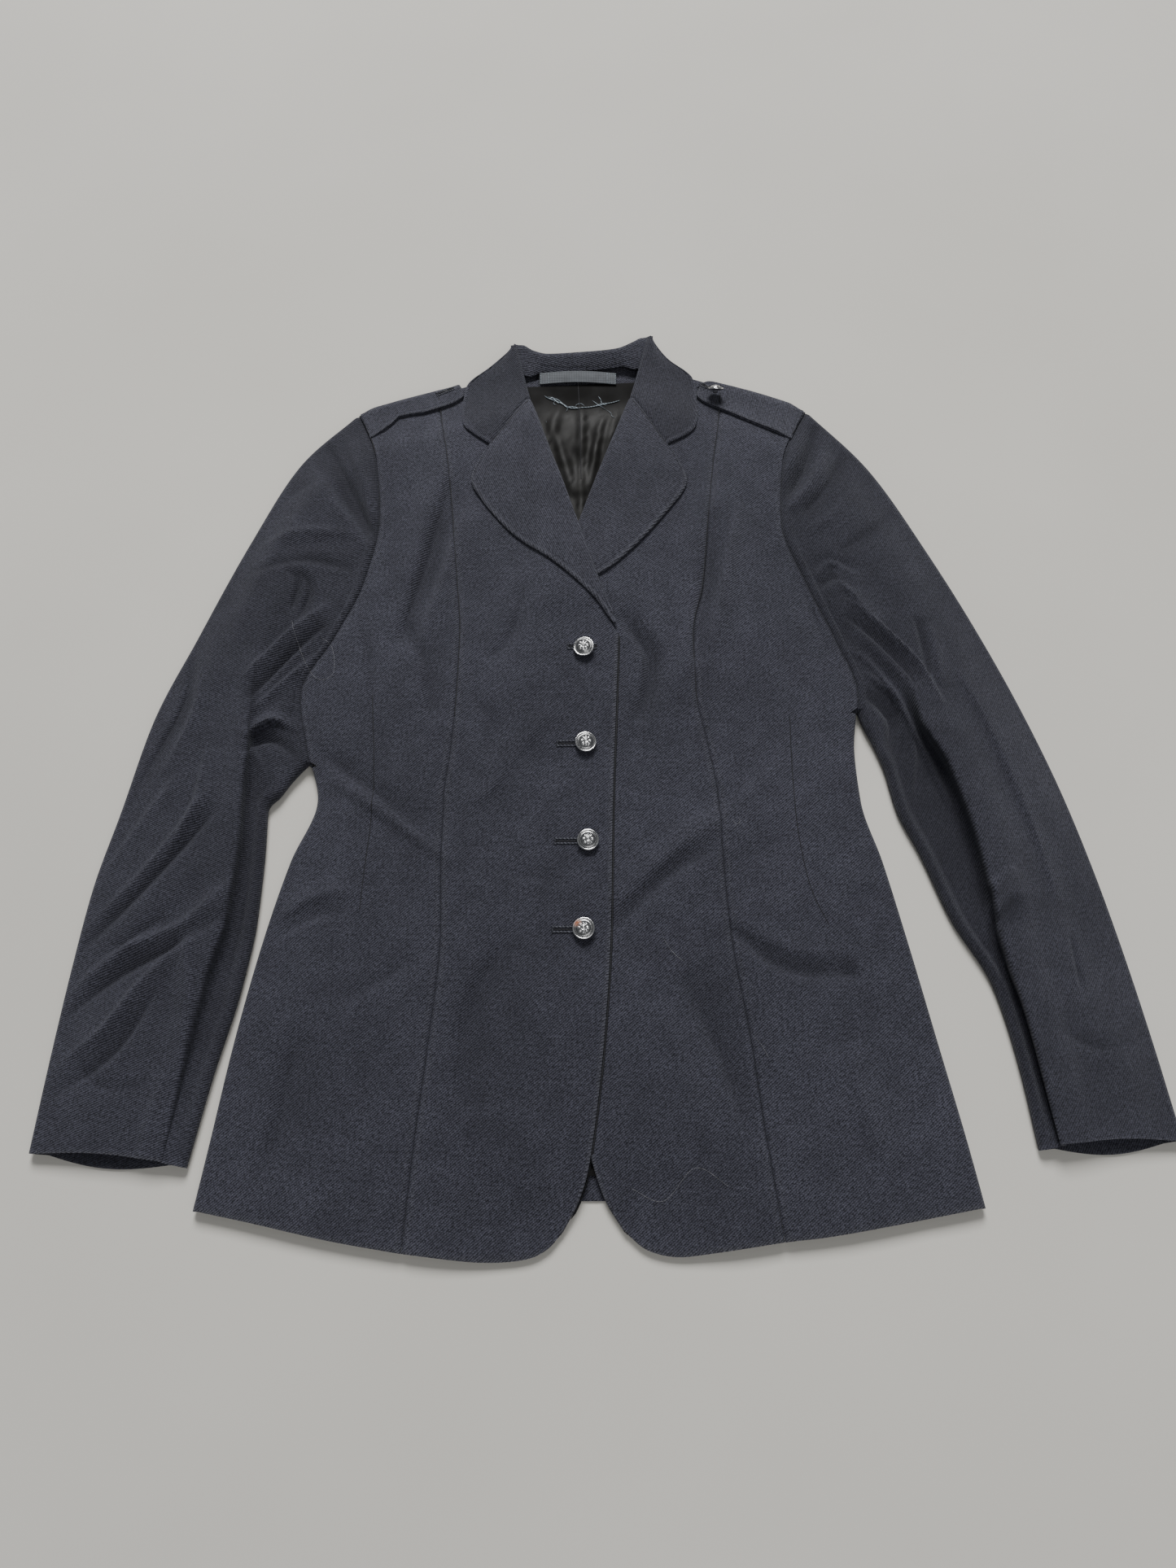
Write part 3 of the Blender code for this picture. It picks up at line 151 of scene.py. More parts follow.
BODY_ROWS = [
    BodyRow(-0.030, -0.283, -0.130, 0.139, 0.286, 0.0078, 0.0080),
    BodyRow(0.050, -0.271, -0.124, 0.128, 0.272, 0.0082, 0.0105),
    BodyRow(0.120, -0.261, -0.117, 0.120, 0.258, 0.0086, 0.0125),
    BodyRow(0.200, -0.246, -0.111, 0.108, 0.242, 0.0088, 0.0145),
    BodyRow(0.260, -0.231, -0.113, 0.104, 0.229, 0.0090, 0.0160),
    BodyRow(0.310, -0.214, -0.113, 0.102, 0.216, 0.0094, 0.0170),
    BodyRow(0.350, -0.224, -0.109, 0.096, 0.214, 0.0105, 0.0185),
    BodyRow(0.400, -0.233, -0.106, 0.087, 0.219, 0.0125, 0.0210),
    BodyRow(0.450, -0.209, -0.105, 0.086, 0.203, 0.0150, 0.0230),
    BodyRow(0.500, -0.188, -0.109, 0.096, 0.183, 0.0165, 0.0240),
    BodyRow(0.560, -0.178, -0.115, 0.102, 0.165, 0.0175, 0.0240),
    BodyRow(0.620, -0.185, -0.122, 0.109, 0.170, 0.0175, 0.0225),
    BodyRow(0.680, -0.209, -0.132, 0.117, 0.196, 0.0150, 0.0190),
    BodyRow(0.740, -0.240, -0.139, 0.120, 0.225, 0.0120, 0.0150),
]
EDGE_ROWS = [
    EdgeRow(-0.008, -0.018, 0.026),
    EdgeRow(0.012, -0.007, 0.013),
    EdgeRow(0.030, -0.001, 0.006),
    EdgeRow(0.060, 0.004, -0.002),
    EdgeRow(0.120, 0.011, -0.012),
    EdgeRow(0.200, 0.0165, -0.022),
    EdgeRow(0.310, 0.0190, -0.027),
    EdgeRow(0.400, 0.0225, -0.028),
    EdgeRow(0.451, 0.0240, -0.028),
    EdgeRow(0.495, 0.0100, -0.0270),
    EdgeRow(0.562, -0.0113, -0.0060),
    EdgeRow(0.690, -0.0520, 0.0380),
    EdgeRow(0.735, -0.0663, 0.0530),
]
SLEEVE_R_ROWS = [
    SleeveRow(0.00, -0.222, 0.342, -0.206, 0.676, 0.75, 0.017, 0.018, 0.019, 0.0095, 0.0110),
    SleeveRow(0.12, -0.229, 0.334, -0.253, 0.622, 0.72, 0.019, 0.021, 0.022, 0.0095, 0.0125),
    SleeveRow(0.24, -0.236, 0.325, -0.291, 0.540, 0.66, 0.018, 0.021, 0.021, 0.0095, 0.0120),
    SleeveRow(0.36, -0.243, 0.314, -0.325, 0.452, 0.38, 0.014, 0.021, 0.019, 0.0095, 0.0110),
    SleeveRow(0.47, -0.252, 0.301, -0.352, 0.378, 0.22, 0.010, 0.020, 0.017, 0.0090, 0.0105),
    SleeveRow(0.58, -0.251, 0.262, -0.368, 0.300, 0.20, 0.009, 0.018, 0.016, 0.0085, 0.0100),
    SleeveRow(0.68, -0.252, 0.215, -0.381, 0.238, 0.20, 0.009, 0.017, 0.016, 0.0085, 0.0100),
    SleeveRow(0.78, -0.259, 0.160, -0.388, 0.178, 0.24, 0.009, 0.016, 0.015, 0.0085, 0.0095),
    SleeveRow(0.89, -0.273, 0.097, -0.394, 0.110, 0.22, 0.009, 0.012, 0.013, 0.0085, 0.0090),
    SleeveRow(1.00, -0.285, 0.034, -0.399, 0.044, 0.20, 0.009, 0.010, 0.011, 0.0080, 0.0080),
]
SLEEVE_L_ROWS = [
    SleeveRow(0.00, 0.221, 0.388, 0.196, 0.680, 0.40, 0.017, 0.018, 0.019, 0.0100, 0.0110),
    SleeveRow(0.12, 0.224, 0.374, 0.247, 0.617, 0.37, 0.016, 0.021, 0.022, 0.0100, 0.0125),
    SleeveRow(0.24, 0.229, 0.360, 0.290, 0.535, 0.40, 0.012, 0.022, 0.021, 0.0095, 0.0120),
    SleeveRow(0.36, 0.236, 0.338, 0.327, 0.453, 0.40, 0.010, 0.023, 0.020, 0.0090, 0.0110),
    SleeveRow(0.47, 0.243, 0.303, 0.354, 0.383, 0.46, 0.009, 0.024, 0.019, 0.0085, 0.0105),
    SleeveRow(0.58, 0.259, 0.264, 0.375, 0.318, 0.42, 0.009, 0.024, 0.018, 0.0085, 0.0100),
    SleeveRow(0.68, 0.277, 0.214, 0.391, 0.254, 0.34, 0.009, 0.023, 0.018, 0.0085, 0.0100),
    SleeveRow(0.78, 0.303, 0.163, 0.405, 0.185, 0.20, 0.009, 0.020, 0.017, 0.0085, 0.0095),
    SleeveRow(0.89, 0.315, 0.105, 0.416, 0.120, 0.20, 0.009, 0.017, 0.015, 0.0085, 0.0090),
    SleeveRow(1.00, 0.322, 0.046, 0.426, 0.053, 0.22, 0.009, 0.013, 0.011, 0.0080, 0.0080),
]


@dataclass(frozen=True)
class SideSizes:
    """Outline of one side's panels, lapel, collar, sleeve and strap, in plan."""

    word: str
    inward: float
    underarm: float
    tip: Point
    hem: tuple[Point, ...]
    hem_front: tuple[Point, ...]
    shoulder: tuple[Point, ...]
    lapel_edge: tuple[Point, ...]
    lapel_foot: float
    gorge: Point
    collar_edge: tuple[Point, ...]
    peak: Point
    lapel_clear: tuple[tuple[float, ...], tuple[float, ...]]
    sleeve: tuple[SleeveRow, ...]
    strap: tuple[StrapRow, ...]
    sleeve_lean: float
    lapel_lean: float


RIGHT = SideSizes(
    word="right",
    inward=1.0,
    underarm=0.342,
    tip=(-0.206, 0.676),
    hem=((-0.278, 0.005), (-0.233, -0.003), (-0.181, -0.014), (-0.130, -0.0225)),
    hem_front=((-0.130, -0.0225), (-0.078, -0.0280), (-0.045, -0.0265), (-0.028, -0.0195), (-0.018, -0.0080)),
    shoulder=((-0.206, 0.676), (-0.164, 0.691), (-0.112, 0.7075), (-0.077, 0.720)),
    lapel_edge=(
        (0.0195, 0.459), (0.006, 0.479), (-0.020, 0.506), (-0.055, 0.535), (-0.072, 0.552),
        (-0.090, 0.576), (-0.100, 0.597), (-0.094, 0.617), (-0.0850, 0.6345),
    ),
    lapel_foot=0.4580,
    gorge=(-0.0505, 0.6855),
    collar_edge=(
        (-0.0855, 0.6348), (-0.1020, 0.6480), (-0.1090, 0.6570), (-0.1110, 0.6750),
        (-0.1100, 0.6960), (-0.1060, 0.7085), (-0.0890, 0.7240), (-0.0680, 0.7465),
    ),
    peak=(-0.0645, 0.7480),
    lapel_clear=((0.449, 0.456, 0.500), (0.0, 0.0036, 0.0075)),
    sleeve=tuple(SLEEVE_R_ROWS),
    strap=(
        StrapRow(0.015, 0.0270, -0.0080), StrapRow(0.110, 0.0240, -0.0080), StrapRow(0.200, 0.0180, -0.0080),
        StrapRow(0.250, 0.0135, -0.0080), StrapRow(0.310, 0.0140, -0.0080), StrapRow(0.420, 0.0165, -0.0080),
        StrapRow(0.560, 0.0155, -0.0080), StrapRow(0.700, 0.0120, -0.0080),
    ),
    sleeve_lean=-16.0,
    lapel_lean=40.0,
)
LEFT = SideSizes(
    word="left",
    inward=-1.0,
    underarm=0.388,
    tip=(0.196, 0.680),
    hem=((0.280, 0.007), (0.220, -0.003), (0.172, -0.011), (0.1375, -0.0150)),
    hem_front=((0.1375, -0.0150), (0.085, -0.0225), (0.060, -0.0245), (0.040, -0.0195), (0.026, -0.0080)),
    shoulder=((0.196, 0.680), (0.150, 0.698), (0.104, 0.7135), (0.064, 0.729)),
    lapel_edge=(
        (-0.0235, 0.490), (-0.008, 0.497), (0.015, 0.508), (0.040, 0.532),
        (0.066, 0.564), (0.084, 0.593), (0.078, 0.617), (0.0685, 0.6345),
    ),
    lapel_foot=0.5020,
    gorge=(0.0365, 0.6855),
    collar_edge=(
        (0.0690, 0.6348), (0.0895, 0.6480), (0.0955, 0.6610), (0.0965, 0.6890),
        (0.0945, 0.7100), (0.0890, 0.7190), (0.0720, 0.7340), (0.0570, 0.7570),
    ),
    peak=(0.0535, 0.7585),
    lapel_clear=((0.456, 0.500), (0.0, 0.0075)),
    sleeve=tuple(SLEEVE_L_ROWS),
    strap=(
        StrapRow(0.015, 0.0330, -0.0070), StrapRow(0.250, 0.0310, -0.0065),
        StrapRow(0.480, 0.0265, -0.0050), StrapRow(0.695, 0.0210, -0.0030),
    ),
    sleeve_lean=19.0,
    lapel_lean=-40.0,
)


@dataclass(frozen=True)
class FormSizes:
    """Heights and reaches that the whole body's form is worked out from."""

    hem_back_y: float = 0.012
    hem_rest: float = 0.0045
    shoulder_rise: float = 0.0110
    neck_share: float = 0.86
    neck_clear: float = 0.0145
    neck_dip_y: float = 0.7200
    neck_side_y: float = 0.7065
    neck_half_width: float = 0.115
    centre_back_x: float = -0.006
    back_lift_from: float = 0.620
    back_lift_over: float = 0.045
    lifted: float = 0.0028
    fall_edge_y: float = 0.7060
    crotch: float = 0.004
    lapel_tail: float = 0.0075
    lapel_bloom: float = 0.0030
    stand_floor: float = 0.0075
    step_width: float = 0.12
    head_share: float = 0.45
    cuff_share: float = 0.90
    upper_bow: float = -0.0040
    lower_bow: float = 0.0060
    last_level: float = 0.590


FORM = FormSizes()

# Soft folds of the solids, then the finer creases that this script adds
BODY_FOLDS = [
    Crease(((-0.126, 0.625), (-0.146, 0.470)), 0.030, 0.0030),
    Crease(((-0.062, 0.500), (-0.052, 0.360)), 0.026, 0.0018),
    Crease(((0.120, 0.620), (0.104, 0.500)), 0.026, 0.0028),
    Crease(((0.098, 0.480), (0.070, 0.390)), 0.026, 0.0024),
    Crease(((0.030, 0.470), (0.034, 0.380)), 0.026, -0.0020),
    Crease(((0.060, 0.235), (0.190, 0.330)), 0.034, 0.0018),
    Crease(((-0.020, 0.330), (-0.100, 0.380)), 0.030, -0.0015),
    Crease(((-0.190, 0.300), (-0.140, 0.330)), 0.034, 0.0016),
    Crease(((0.150, 0.560), (0.190, 0.440)), 0.030, -0.0016),
]
BODY_CREASES = [
    Crease(((-0.119, 0.600), (-0.137, 0.515), (-0.156, 0.440)), 0.024, -0.0038),
    Crease(((-0.106, 0.570), (-0.121, 0.500), (-0.138, 0.440)), 0.022, 0.0024),
    Crease(((-0.190, 0.470), (-0.179, 0.425), (-0.173, 0.385)), 0.012, -0.0014),
    Crease(((-0.064, 0.495), (-0.057, 0.472), (-0.066, 0.445), (-0.085, 0.425)), 0.014, -0.0014),
    Crease(((-0.098, 0.425), (-0.090, 0.392), (-0.072, 0.368)), 0.013, -0.0012),
    Crease(((0.026, 0.470), (0.050, 0.425), (0.038, 0.372)), 0.022, -0.0042),
    Crease(((0.040, 0.470), (0.062, 0.430), (0.056, 0.385)), 0.018, 0.0012),
    Crease(((0.106, 0.570), (0.096, 0.490), (0.084, 0.425)), 0.018, -0.0036),
    Crease(((0.130, 0.575), (0.115, 0.505), (0.102, 0.436)), 0.020, 0.0026),
    Crease(((-0.216, 0.350), (-0.165, 0.312), (-0.118, 0.270)), 0.018, -0.0026),
    Crease(((-0.208, 0.330), (-0.150, 0.290), (-0.100, 0.252)), 0.018, 0.0022),
    Crease(((-0.090, 0.300), (-0.062, 0.338), (-0.030, 0.380)), 0.018, 0.0016),
    Crease(((-0.150, 0.460), (-0.132, 0.420), (-0.126, 0.370)), 0.020, -0.0022),
    Crease(((0.150, 0.340), (0.110, 0.300), (0.060, 0.280)), 0.022, 0.0014),
    Crease(((-0.060, 0.200), (-0.090, 0.140), (-0.086, 0.070)), 0.034, -0.0024),
    Crease(((0.190, 0.120), (0.200, 0.070), (0.212, 0.030)), 0.030, 0.0020),
    Crease(((-0.216, 0.130), (-0.220, 0.080), (-0.232, 0.030)), 0.034, -0.0020),
    Crease(((-0.242, 0.210), (-0.206, 0.231), (-0.172, 0.234)), 0.014, 0.0016),
    Crease(((-0.238, 0.198), (-0.205, 0.216), (-0.180, 0.218)), 0.012, -0.0012),
    Crease(((-0.182, 0.150), (-0.155, 0.166), (-0.128, 0.182)), 0.016, -0.0010),
    Crease(((0.016, 0.216), (0.062, 0.262), (0.108, 0.292)), 0.020, 0.0024),
    Crease(((0.014, 0.200), (0.062, 0.246), (0.104, 0.272)), 0.018, -0.0024),
    Crease(((0.104, 0.208), (0.148, 0.175), (0.204, 0.171)), 0.016, -0.0028),
    Crease(((0.104, 0.216), (0.150, 0.190), (0.200, 0.186)), 0.016, 0.0011),
    Crease(((0.188, 0.170), (0.203, 0.172)), 0.012, -0.0018),
    Crease(((0.204, 0.238), (0.226, 0.246)), 0.014, 0.0010),
    Crease(((0.070, 0.172), (0.098, 0.110), (0.118, 0.046)), 0.034, -0.0030),
    Crease(((0.050, 0.150), (0.072, 0.100), (0.080, 0.050)), 0.035, 0.0014),
    Crease(((0.170, 0.560), (0.180, 0.500), (0.200, 0.430)), 0.018, -0.0014),
    Crease(((-0.078, 0.253), (-0.040, 0.243), (-0.010, 0.238)), 0.012, -0.0007),
    Crease(((-0.085, 0.312), (-0.060, 0.340), (-0.040, 0.368)), 0.012, -0.0009),
]
SLEEVE_R_FOLDS = [
    Crease(((-0.218, 0.640), (-0.196, 0.585)), 0.016, -0.0035),
    Crease(((-0.232, 0.610), (-0.186, 0.548)), 0.016, -0.0035),
    Crease(((-0.270, 0.530), (-0.190, 0.545)), 0.018, -0.0022),
    Crease(((-0.226, 0.462), (-0.262, 0.410)), 0.018, 0.0040),
    Crease(((-0.226, 0.415), (-0.256, 0.372)), 0.018, 0.0035),
    Crease(((-0.300, 0.470), (-0.345, 0.330)), 0.030, 0.0022),
    Crease(((-0.285, 0.246), (-0.376, 0.145)), 0.022, -0.0026),
    Crease(((-0.298, 0.190), (-0.384, 0.105)), 0.022, 0.0024),
]
SLEEVE_R_CREASES = [
    Crease(((-0.236, 0.656), (-0.203, 0.590), (-0.178, 0.537)), 0.012, -0.0042, -1.0),
    Crease(((-0.218, 0.662), (-0.196, 0.600), (-0.182, 0.552)), 0.012, 0.0032),
    Crease(((-0.254, 0.642), (-0.222, 0.585), (-0.186, 0.534)), 0.016, 0.0026, -1.0),
    Crease(((-0.292, 0.527), (-0.245, 0.548), (-0.192, 0.545)), 0.018, 0.0020, -1.0),
    Crease(((-0.288, 0.508), (-0.240, 0.520), (-0.196, 0.512)), 0.012, -0.0015),
    Crease(((-0.254, 0.512), (-0.243, 0.500), (-0.247, 0.474)), 0.008, -0.0022),
    Crease(((-0.244, 0.512), (-0.233, 0.494), (-0.240, 0.466)), 0.008, -0.0020),
    Crease(((-0.278, 0.412), (-0.245, 0.452), (-0.214, 0.482)), 0.011, 0.0030, -1.0),
    Crease(((-0.275, 0.392), (-0.241, 0.434), (-0.216, 0.462)), 0.010, -0.0026),
    Crease(((-0.270, 0.384), (-0.238, 0.418), (-0.220, 0.436)), 0.010, 0.0024, -1.0),
    Crease(((-0.276, 0.362), (-0.253, 0.375), (-0.232, 0.368)), 0.009, 0.0040),
    Crease(((-0.278, 0.350), (-0.254, 0.359), (-0.228, 0.342)), 0.011, -0.0036),
    Crease(((-0.276, 0.362), (-0.256, 0.332), (-0.252, 0.292)), 0.011, 0.0030, -1.0),
    Crease(((-0.330, 0.450), (-0.325, 0.400), (-0.345, 0.345), (-0.367, 0.300)), 0.013, -0.0022),
    Crease(((-0.321, 0.450), (-0.315, 0.390), (-0.335, 0.330)), 0.014, 0.0016),
    Crease(((-0.302, 0.350), (-0.307, 0.300), (-0.328, 0.255)), 0.012, 0.0020),
    Crease(((-0.378, 0.238), (-0.348, 0.290), (-0.322, 0.330)), 0.014, 0.0018, -1.0),
    Crease(((-0.340, 0.520), (-0.318, 0.470), (-0.300, 0.400)), 0.016, 0.0012),
    Crease(((-0.393, 0.178), (-0.345, 0.228), (-0.288, 0.300)), 0.015, -0.0030),
    Crease(((-0.386, 0.200), (-0.340, 0.250), (-0.292, 0.322)), 0.014, 0.0022, -1.0),
    Crease(((-0.398, 0.142), (-0.353, 0.187), (-0.300, 0.212), (-0.272, 0.252)), 0.014, 0.0030, -1.0),
    Crease(((-0.396, 0.130), (-0.350, 0.168), (-0.300, 0.196), (-0.280, 0.218)), 0.012, -0.0026),
    Crease(((-0.396, 0.098), (-0.355, 0.130), (-0.330, 0.165), (-0.286, 0.210)), 0.011, 0.0020, -1.0),
    Crease(((-0.390, 0.080), (-0.345, 0.112), (-0.318, 0.158)), 0.012, -0.0017),
    Crease(((-0.299, 0.205), (-0.297, 0.150), (-0.303, 0.092)), 0.009, 0.0024, -1.0),
    Crease(((-0.308, 0.100), (-0.316, 0.060), (-0.318, 0.036)), 0.010, 0.0010),
    Crease(((-0.372, 0.170), (-0.340, 0.200), (-0.318, 0.214)), 0.009, -0.0012),
    Crease(((-0.376, 0.110), (-0.352, 0.090), (-0.322, 0.088)), 0.012, -0.0010),
    Crease(((-0.268, 0.280), (-0.262, 0.230), (-0.270, 0.170)), 0.008, -0.0012),
    Crease(((-0.270, 0.575), (-0.250, 0.592), (-0.232, 0.600)), 0.014, -0.0012),
]
SLEEVE_L_FOLDS = [
    Crease(((0.216, 0.650), (0.176, 0.588)), 0.018, -0.0040),
    Crease(((0.196, 0.515), (0.225, 0.512)), 0.016, -0.0035),
    Crease(((0.330, 0.400), (0.372, 0.260)), 0.030, 0.0022),
    Crease(((0.352, 0.300), (0.388, 0.130)), 0.028, -0.0020),
]
SLEEVE_L_CREASES = [
    Crease(((0.206, 0.672), (0.189, 0.615), (0.164, 0.572)), 0.012, -0.0052, -1.0),
    Crease(((0.216, 0.668), (0.198, 0.608), (0.172, 0.570)), 0.012, 0.0044),
    Crease(((0.226, 0.640), (0.206, 0.595), (0.182, 0.566)), 0.012, -0.0028),
    Crease(((0.194, 0.668), (0.181, 0.628), (0.164, 0.598)), 0.010, 0.0028),
    Crease(((0.190, 0.505), (0.204, 0.518), (0.224, 0.506)), 0.010, 0.0020, -1.0),
    Crease(((0.192, 0.494), (0.208, 0.503), (0.222, 0.490)), 0.010, -0.0016),
    Crease(((0.206, 0.512), (0.222, 0.482), (0.244, 0.458)), 0.012, 0.0018),
    Crease(((0.216, 0.484), (0.247, 0.450), (0.268, 0.423), (0.284, 0.385)), 0.008, 0.0030, -1.0),
    Crease(((0.212, 0.470), (0.240, 0.440), (0.266, 0.404)), 0.012, -0.0022),
    Crease(((0.270, 0.466), (0.273, 0.440), (0.275, 0.412)), 0.010, -0.0022),
    Crease(((0.280, 0.460), (0.282, 0.430), (0.284, 0.402)), 0.012, 0.0016),
    Crease(((0.209, 0.442), (0.235, 0.420), (0.258, 0.376), (0.287, 0.300)), 0.007, 0.0018),
    Crease(((0.243, 0.290), (0.258, 0.330), (0.263, 0.384)), 0.009, 0.0018),
    Crease(((0.222, 0.400), (0.243, 0.378), (0.236, 0.345)), 0.016, -0.0048),
    Crease(((0.226, 0.418), (0.252, 0.392), (0.252, 0.352)), 0.010, 0.0024),
    Crease(((0.322, 0.252), (0.306, 0.222), (0.300, 0.192)), 0.010, 0.0034),
    Crease(((0.324, 0.230), (0.314, 0.195), (0.318, 0.160)), 0.010, -0.0034),
    Crease(((0.322, 0.210), (0.310, 0.165), (0.303, 0.122)), 0.010, 0.0026),
    Crease(((0.361, 0.200), (0.363, 0.158)), 0.006, -0.0010),
    Crease(((0.300, 0.420), (0.322, 0.360), (0.345, 0.280), (0.356, 0.220)), 0.020, 0.0016),
    Crease(((0.262, 0.572), (0.238, 0.548), (0.210, 0.528)), 0.016, -0.0014),
    Crease(((0.236, 0.600), (0.214, 0.570), (0.186, 0.548)), 0.016, 0.0012),
    Crease(((0.340, 0.130), (0.372, 0.116), (0.400, 0.122)), 0.012, -0.0008),
]
LINING_CREASES = [
    Crease(((-0.032, 0.668), (-0.012, 0.600)), 0.010, 0.0022),
    Crease(((-0.006, 0.690), (-0.006, 0.560)), 0.008, 0.0020),
    Crease(((0.012, 0.672), (0.000, 0.600)), 0.009, 0.0030),
    Crease(((0.026, 0.680), (0.014, 0.630)), 0.009, 0.0020),
    Crease(((-0.024, 0.690), (-0.040, 0.640)), 0.010, 0.0016),
]


# Curves and fields


def smooth_step(value: Array | float) -> Array:
    """Ease from 0 to 1 as the value goes from 0 to 1.

    Args:
        value: Any number or array.

    Returns:
        The eased value, held between 0 and 1.
    """
    t = np.clip(value, 0.0, 1.0)
    return t * t * (3.0 - 2.0 * t)


def spline(stations: Sequence[float], values: Sequence[float], at: Array | float) -> Array:
    """Smooth curve through a table's column, without overshoot.

    Args:
        stations: Rising places of the table's rows.
        values: The column's values there.
        at: Places to read.

    Returns:
        The curve's values at those places.
    """
    x = np.asarray(stations, float)
    y = np.asarray(values, float)
    step = np.diff(x)
    slope = np.diff(y) / step
    tangent = np.zeros_like(y)
    for i in range(1, len(x) - 1):
        if slope[i - 1] * slope[i] > 0.0:
            before = 2.0 * step[i] + step[i - 1]
            after = step[i] + 2.0 * step[i - 1]
            tangent[i] = (before + after) / (before / slope[i - 1] + after / slope[i])
    tangent[0] = slope[0]
    tangent[-1] = slope[-1]
    at = np.clip(np.asarray(at, float), x[0], x[-1])
    k = np.clip(np.searchsorted(x, at, side="right") - 1, 0, len(x) - 2)
    t = (at - x[k]) / step[k]
    return (
        y[k] * (1 + 2 * t) * (1 - t) ** 2
        + tangent[k] * step[k] * t * (1 - t) ** 2
        + y[k + 1] * t * t * (3 - 2 * t)
        - tangent[k + 1] * step[k] * t * t * (1 - t)
    )


def through(points: Sequence[Sequence[float]], shares: Array) -> Array:
    """Points at shares of the length of a smooth curve.

    Args:
        points: The named points that the curve passes.
        shares: Shares of its length, from 0 to 1.

    Returns:
        One point for each share.
    """
    p = np.asarray(points, float)
    if len(p) == 2:
        return p[0] + np.outer(shares, p[1] - p[0])
    ends = np.vstack([2 * p[0] - p[1], p, 2 * p[-1] - p[-2]])
    dense = []
    for k in range(1, len(ends) - 2):
        a, b, c, d = ends[k - 1], ends[k], ends[k + 1], ends[k + 2]
        t = np.linspace(0.0, 1.0, 24, endpoint=False)[:, None]
        bend = (2 * a - 5 * b + 4 * c - d) * t**2 + (3 * b - a - 3 * c + d) * t**3
        dense.append(0.5 * (2 * b + (c - a) * t + bend))
    line = np.vstack(dense + [p[-1:]])
    length = np.concatenate([[0.0], np.cumsum(np.linalg.norm(np.diff(line, axis=0), axis=1))])
    at = np.asarray(shares, float) * length[-1]
    return np.stack([np.interp(at, length, line[:, k]) for k in range(p.shape[1])], axis=1)


def normals_of(line: Array) -> Array:
    """Unit normals of a plan line, to the left of its direction.

    Args:
        line: Plan points in order.

    Returns:
        One normal for each point.
    """
    tangent = np.gradient(line, axis=0)
    tangent /= np.linalg.norm(tangent, axis=1)[:, None]
    return np.stack([-tangent[:, 1], tangent[:, 0]], axis=1)


def crease_rise(creases: Sequence[Crease], x: Array, y: Array, crisp: bool = False) -> Array:
    """Sum of soft ridges and troughs at plan points.

    Args:
        creases: The ridges and troughs.
        x: Plan x of each point.
        y: Plan y of each point.
        crisp: Whether one side of each is steep and its ends die out, as in pressed cloth.

    Returns:
        Height to add at each point.
    """
    total = np.zeros_like(x)
    for crease in creases:
        pieces = 1 if len(crease.path) == 2 else 9
        line = through(crease.path, np.linspace(0.0, 1.0, pieces + 1))
        near = np.full(x.shape, 1e9)
        place = np.zeros_like(x)
        hand = np.zeros_like(x)
        for k in range(pieces):
            start = line[k]
            step = line[k + 1] - start
            t = ((x - start[0]) * step[0] + (y - start[1]) * step[1]) / float(step @ step)
            t = np.clip(t, 0.0, 1.0)
            away = np.hypot(x - start[0] - t * step[0], y - start[1] - t * step[1])
            closer = away < near
            near = np.where(closer, away, near)
            place = np.where(closer, (k + t) / pieces, place)
            hand = np.where(closer, (x - start[0]) * step[1] - (y - start[1]) * step[0], hand)
        if crisp:
            along = np.sin(math.pi * np.clip(place, 0.0, 1.0)) ** 0.6
            reach = near / (0.5 * crease.width * np.where(hand * crease.lean > 0.0, 0.42, 1.25))
            total += crease.rise * along * (0.6 * np.exp(-(reach**2)) + 0.4 * np.exp(-1.6 * reach))
            continue
        along = np.sin(math.pi * (0.12 + 0.76 * place))
        total += crease.rise * along * np.exp(-((near / (0.5 * crease.width)) ** 2))
    return total


@dataclass(frozen=True)
class Ripple:
    """Uneven small waves of the cloth, the same each run."""

    seed: int
    spacing: float
    rise: float

    def at(self, x: Array, y: Array) -> Array:
        """Height of the waves at plan points.

        Args:
            x: Plan x of each point.
            y: Plan y of each point.

        Returns:
            Height to add at each point.
        """
        count = 64
        grid = np.random.default_rng(self.seed).uniform(-1.0, 1.0, (count, count))
        u = (x / self.spacing + 1000.0) % count
        v = (y / self.spacing + 1000.0) % count
        i, j = np.floor(u).astype(int), np.floor(v).astype(int)
        s, t = smooth_step(u - i), smooth_step(v - j)
        i0, i1, j0, j1 = i % count, (i + 1) % count, j % count, (j + 1) % count
        low = grid[i0, j0] * (1 - s) + grid[i1, j0] * s
        high = grid[i0, j1] * (1 - s) + grid[i1, j1] * s
        return self.rise * (low * (1 - t) + high * t)


def spread(width: Array, columns: int, close: Sequence[float]) -> Array:
    """Shares across each row: close together at both edges, even between them.

    Args:
        width: Width of each row.
        columns: Points between the close ones.
        close: Distances from an edge at which the close points lie.

    Returns:
        Rows of shares from 0 to 1.
    """
    steps = np.asarray(close)[None]
    scale = np.minimum(1.0, 0.3 * width[:, None] / steps[0, -1])
    near = steps * scale / width[:, None]
    middle = near[:, -1:] + (1.0 - 2.0 * near[:, -1:]) * np.linspace(0.0, 1.0, columns)[None]
    return np.hstack([near[:, :-1], middle, 1.0 - near[:, -2::-1]])


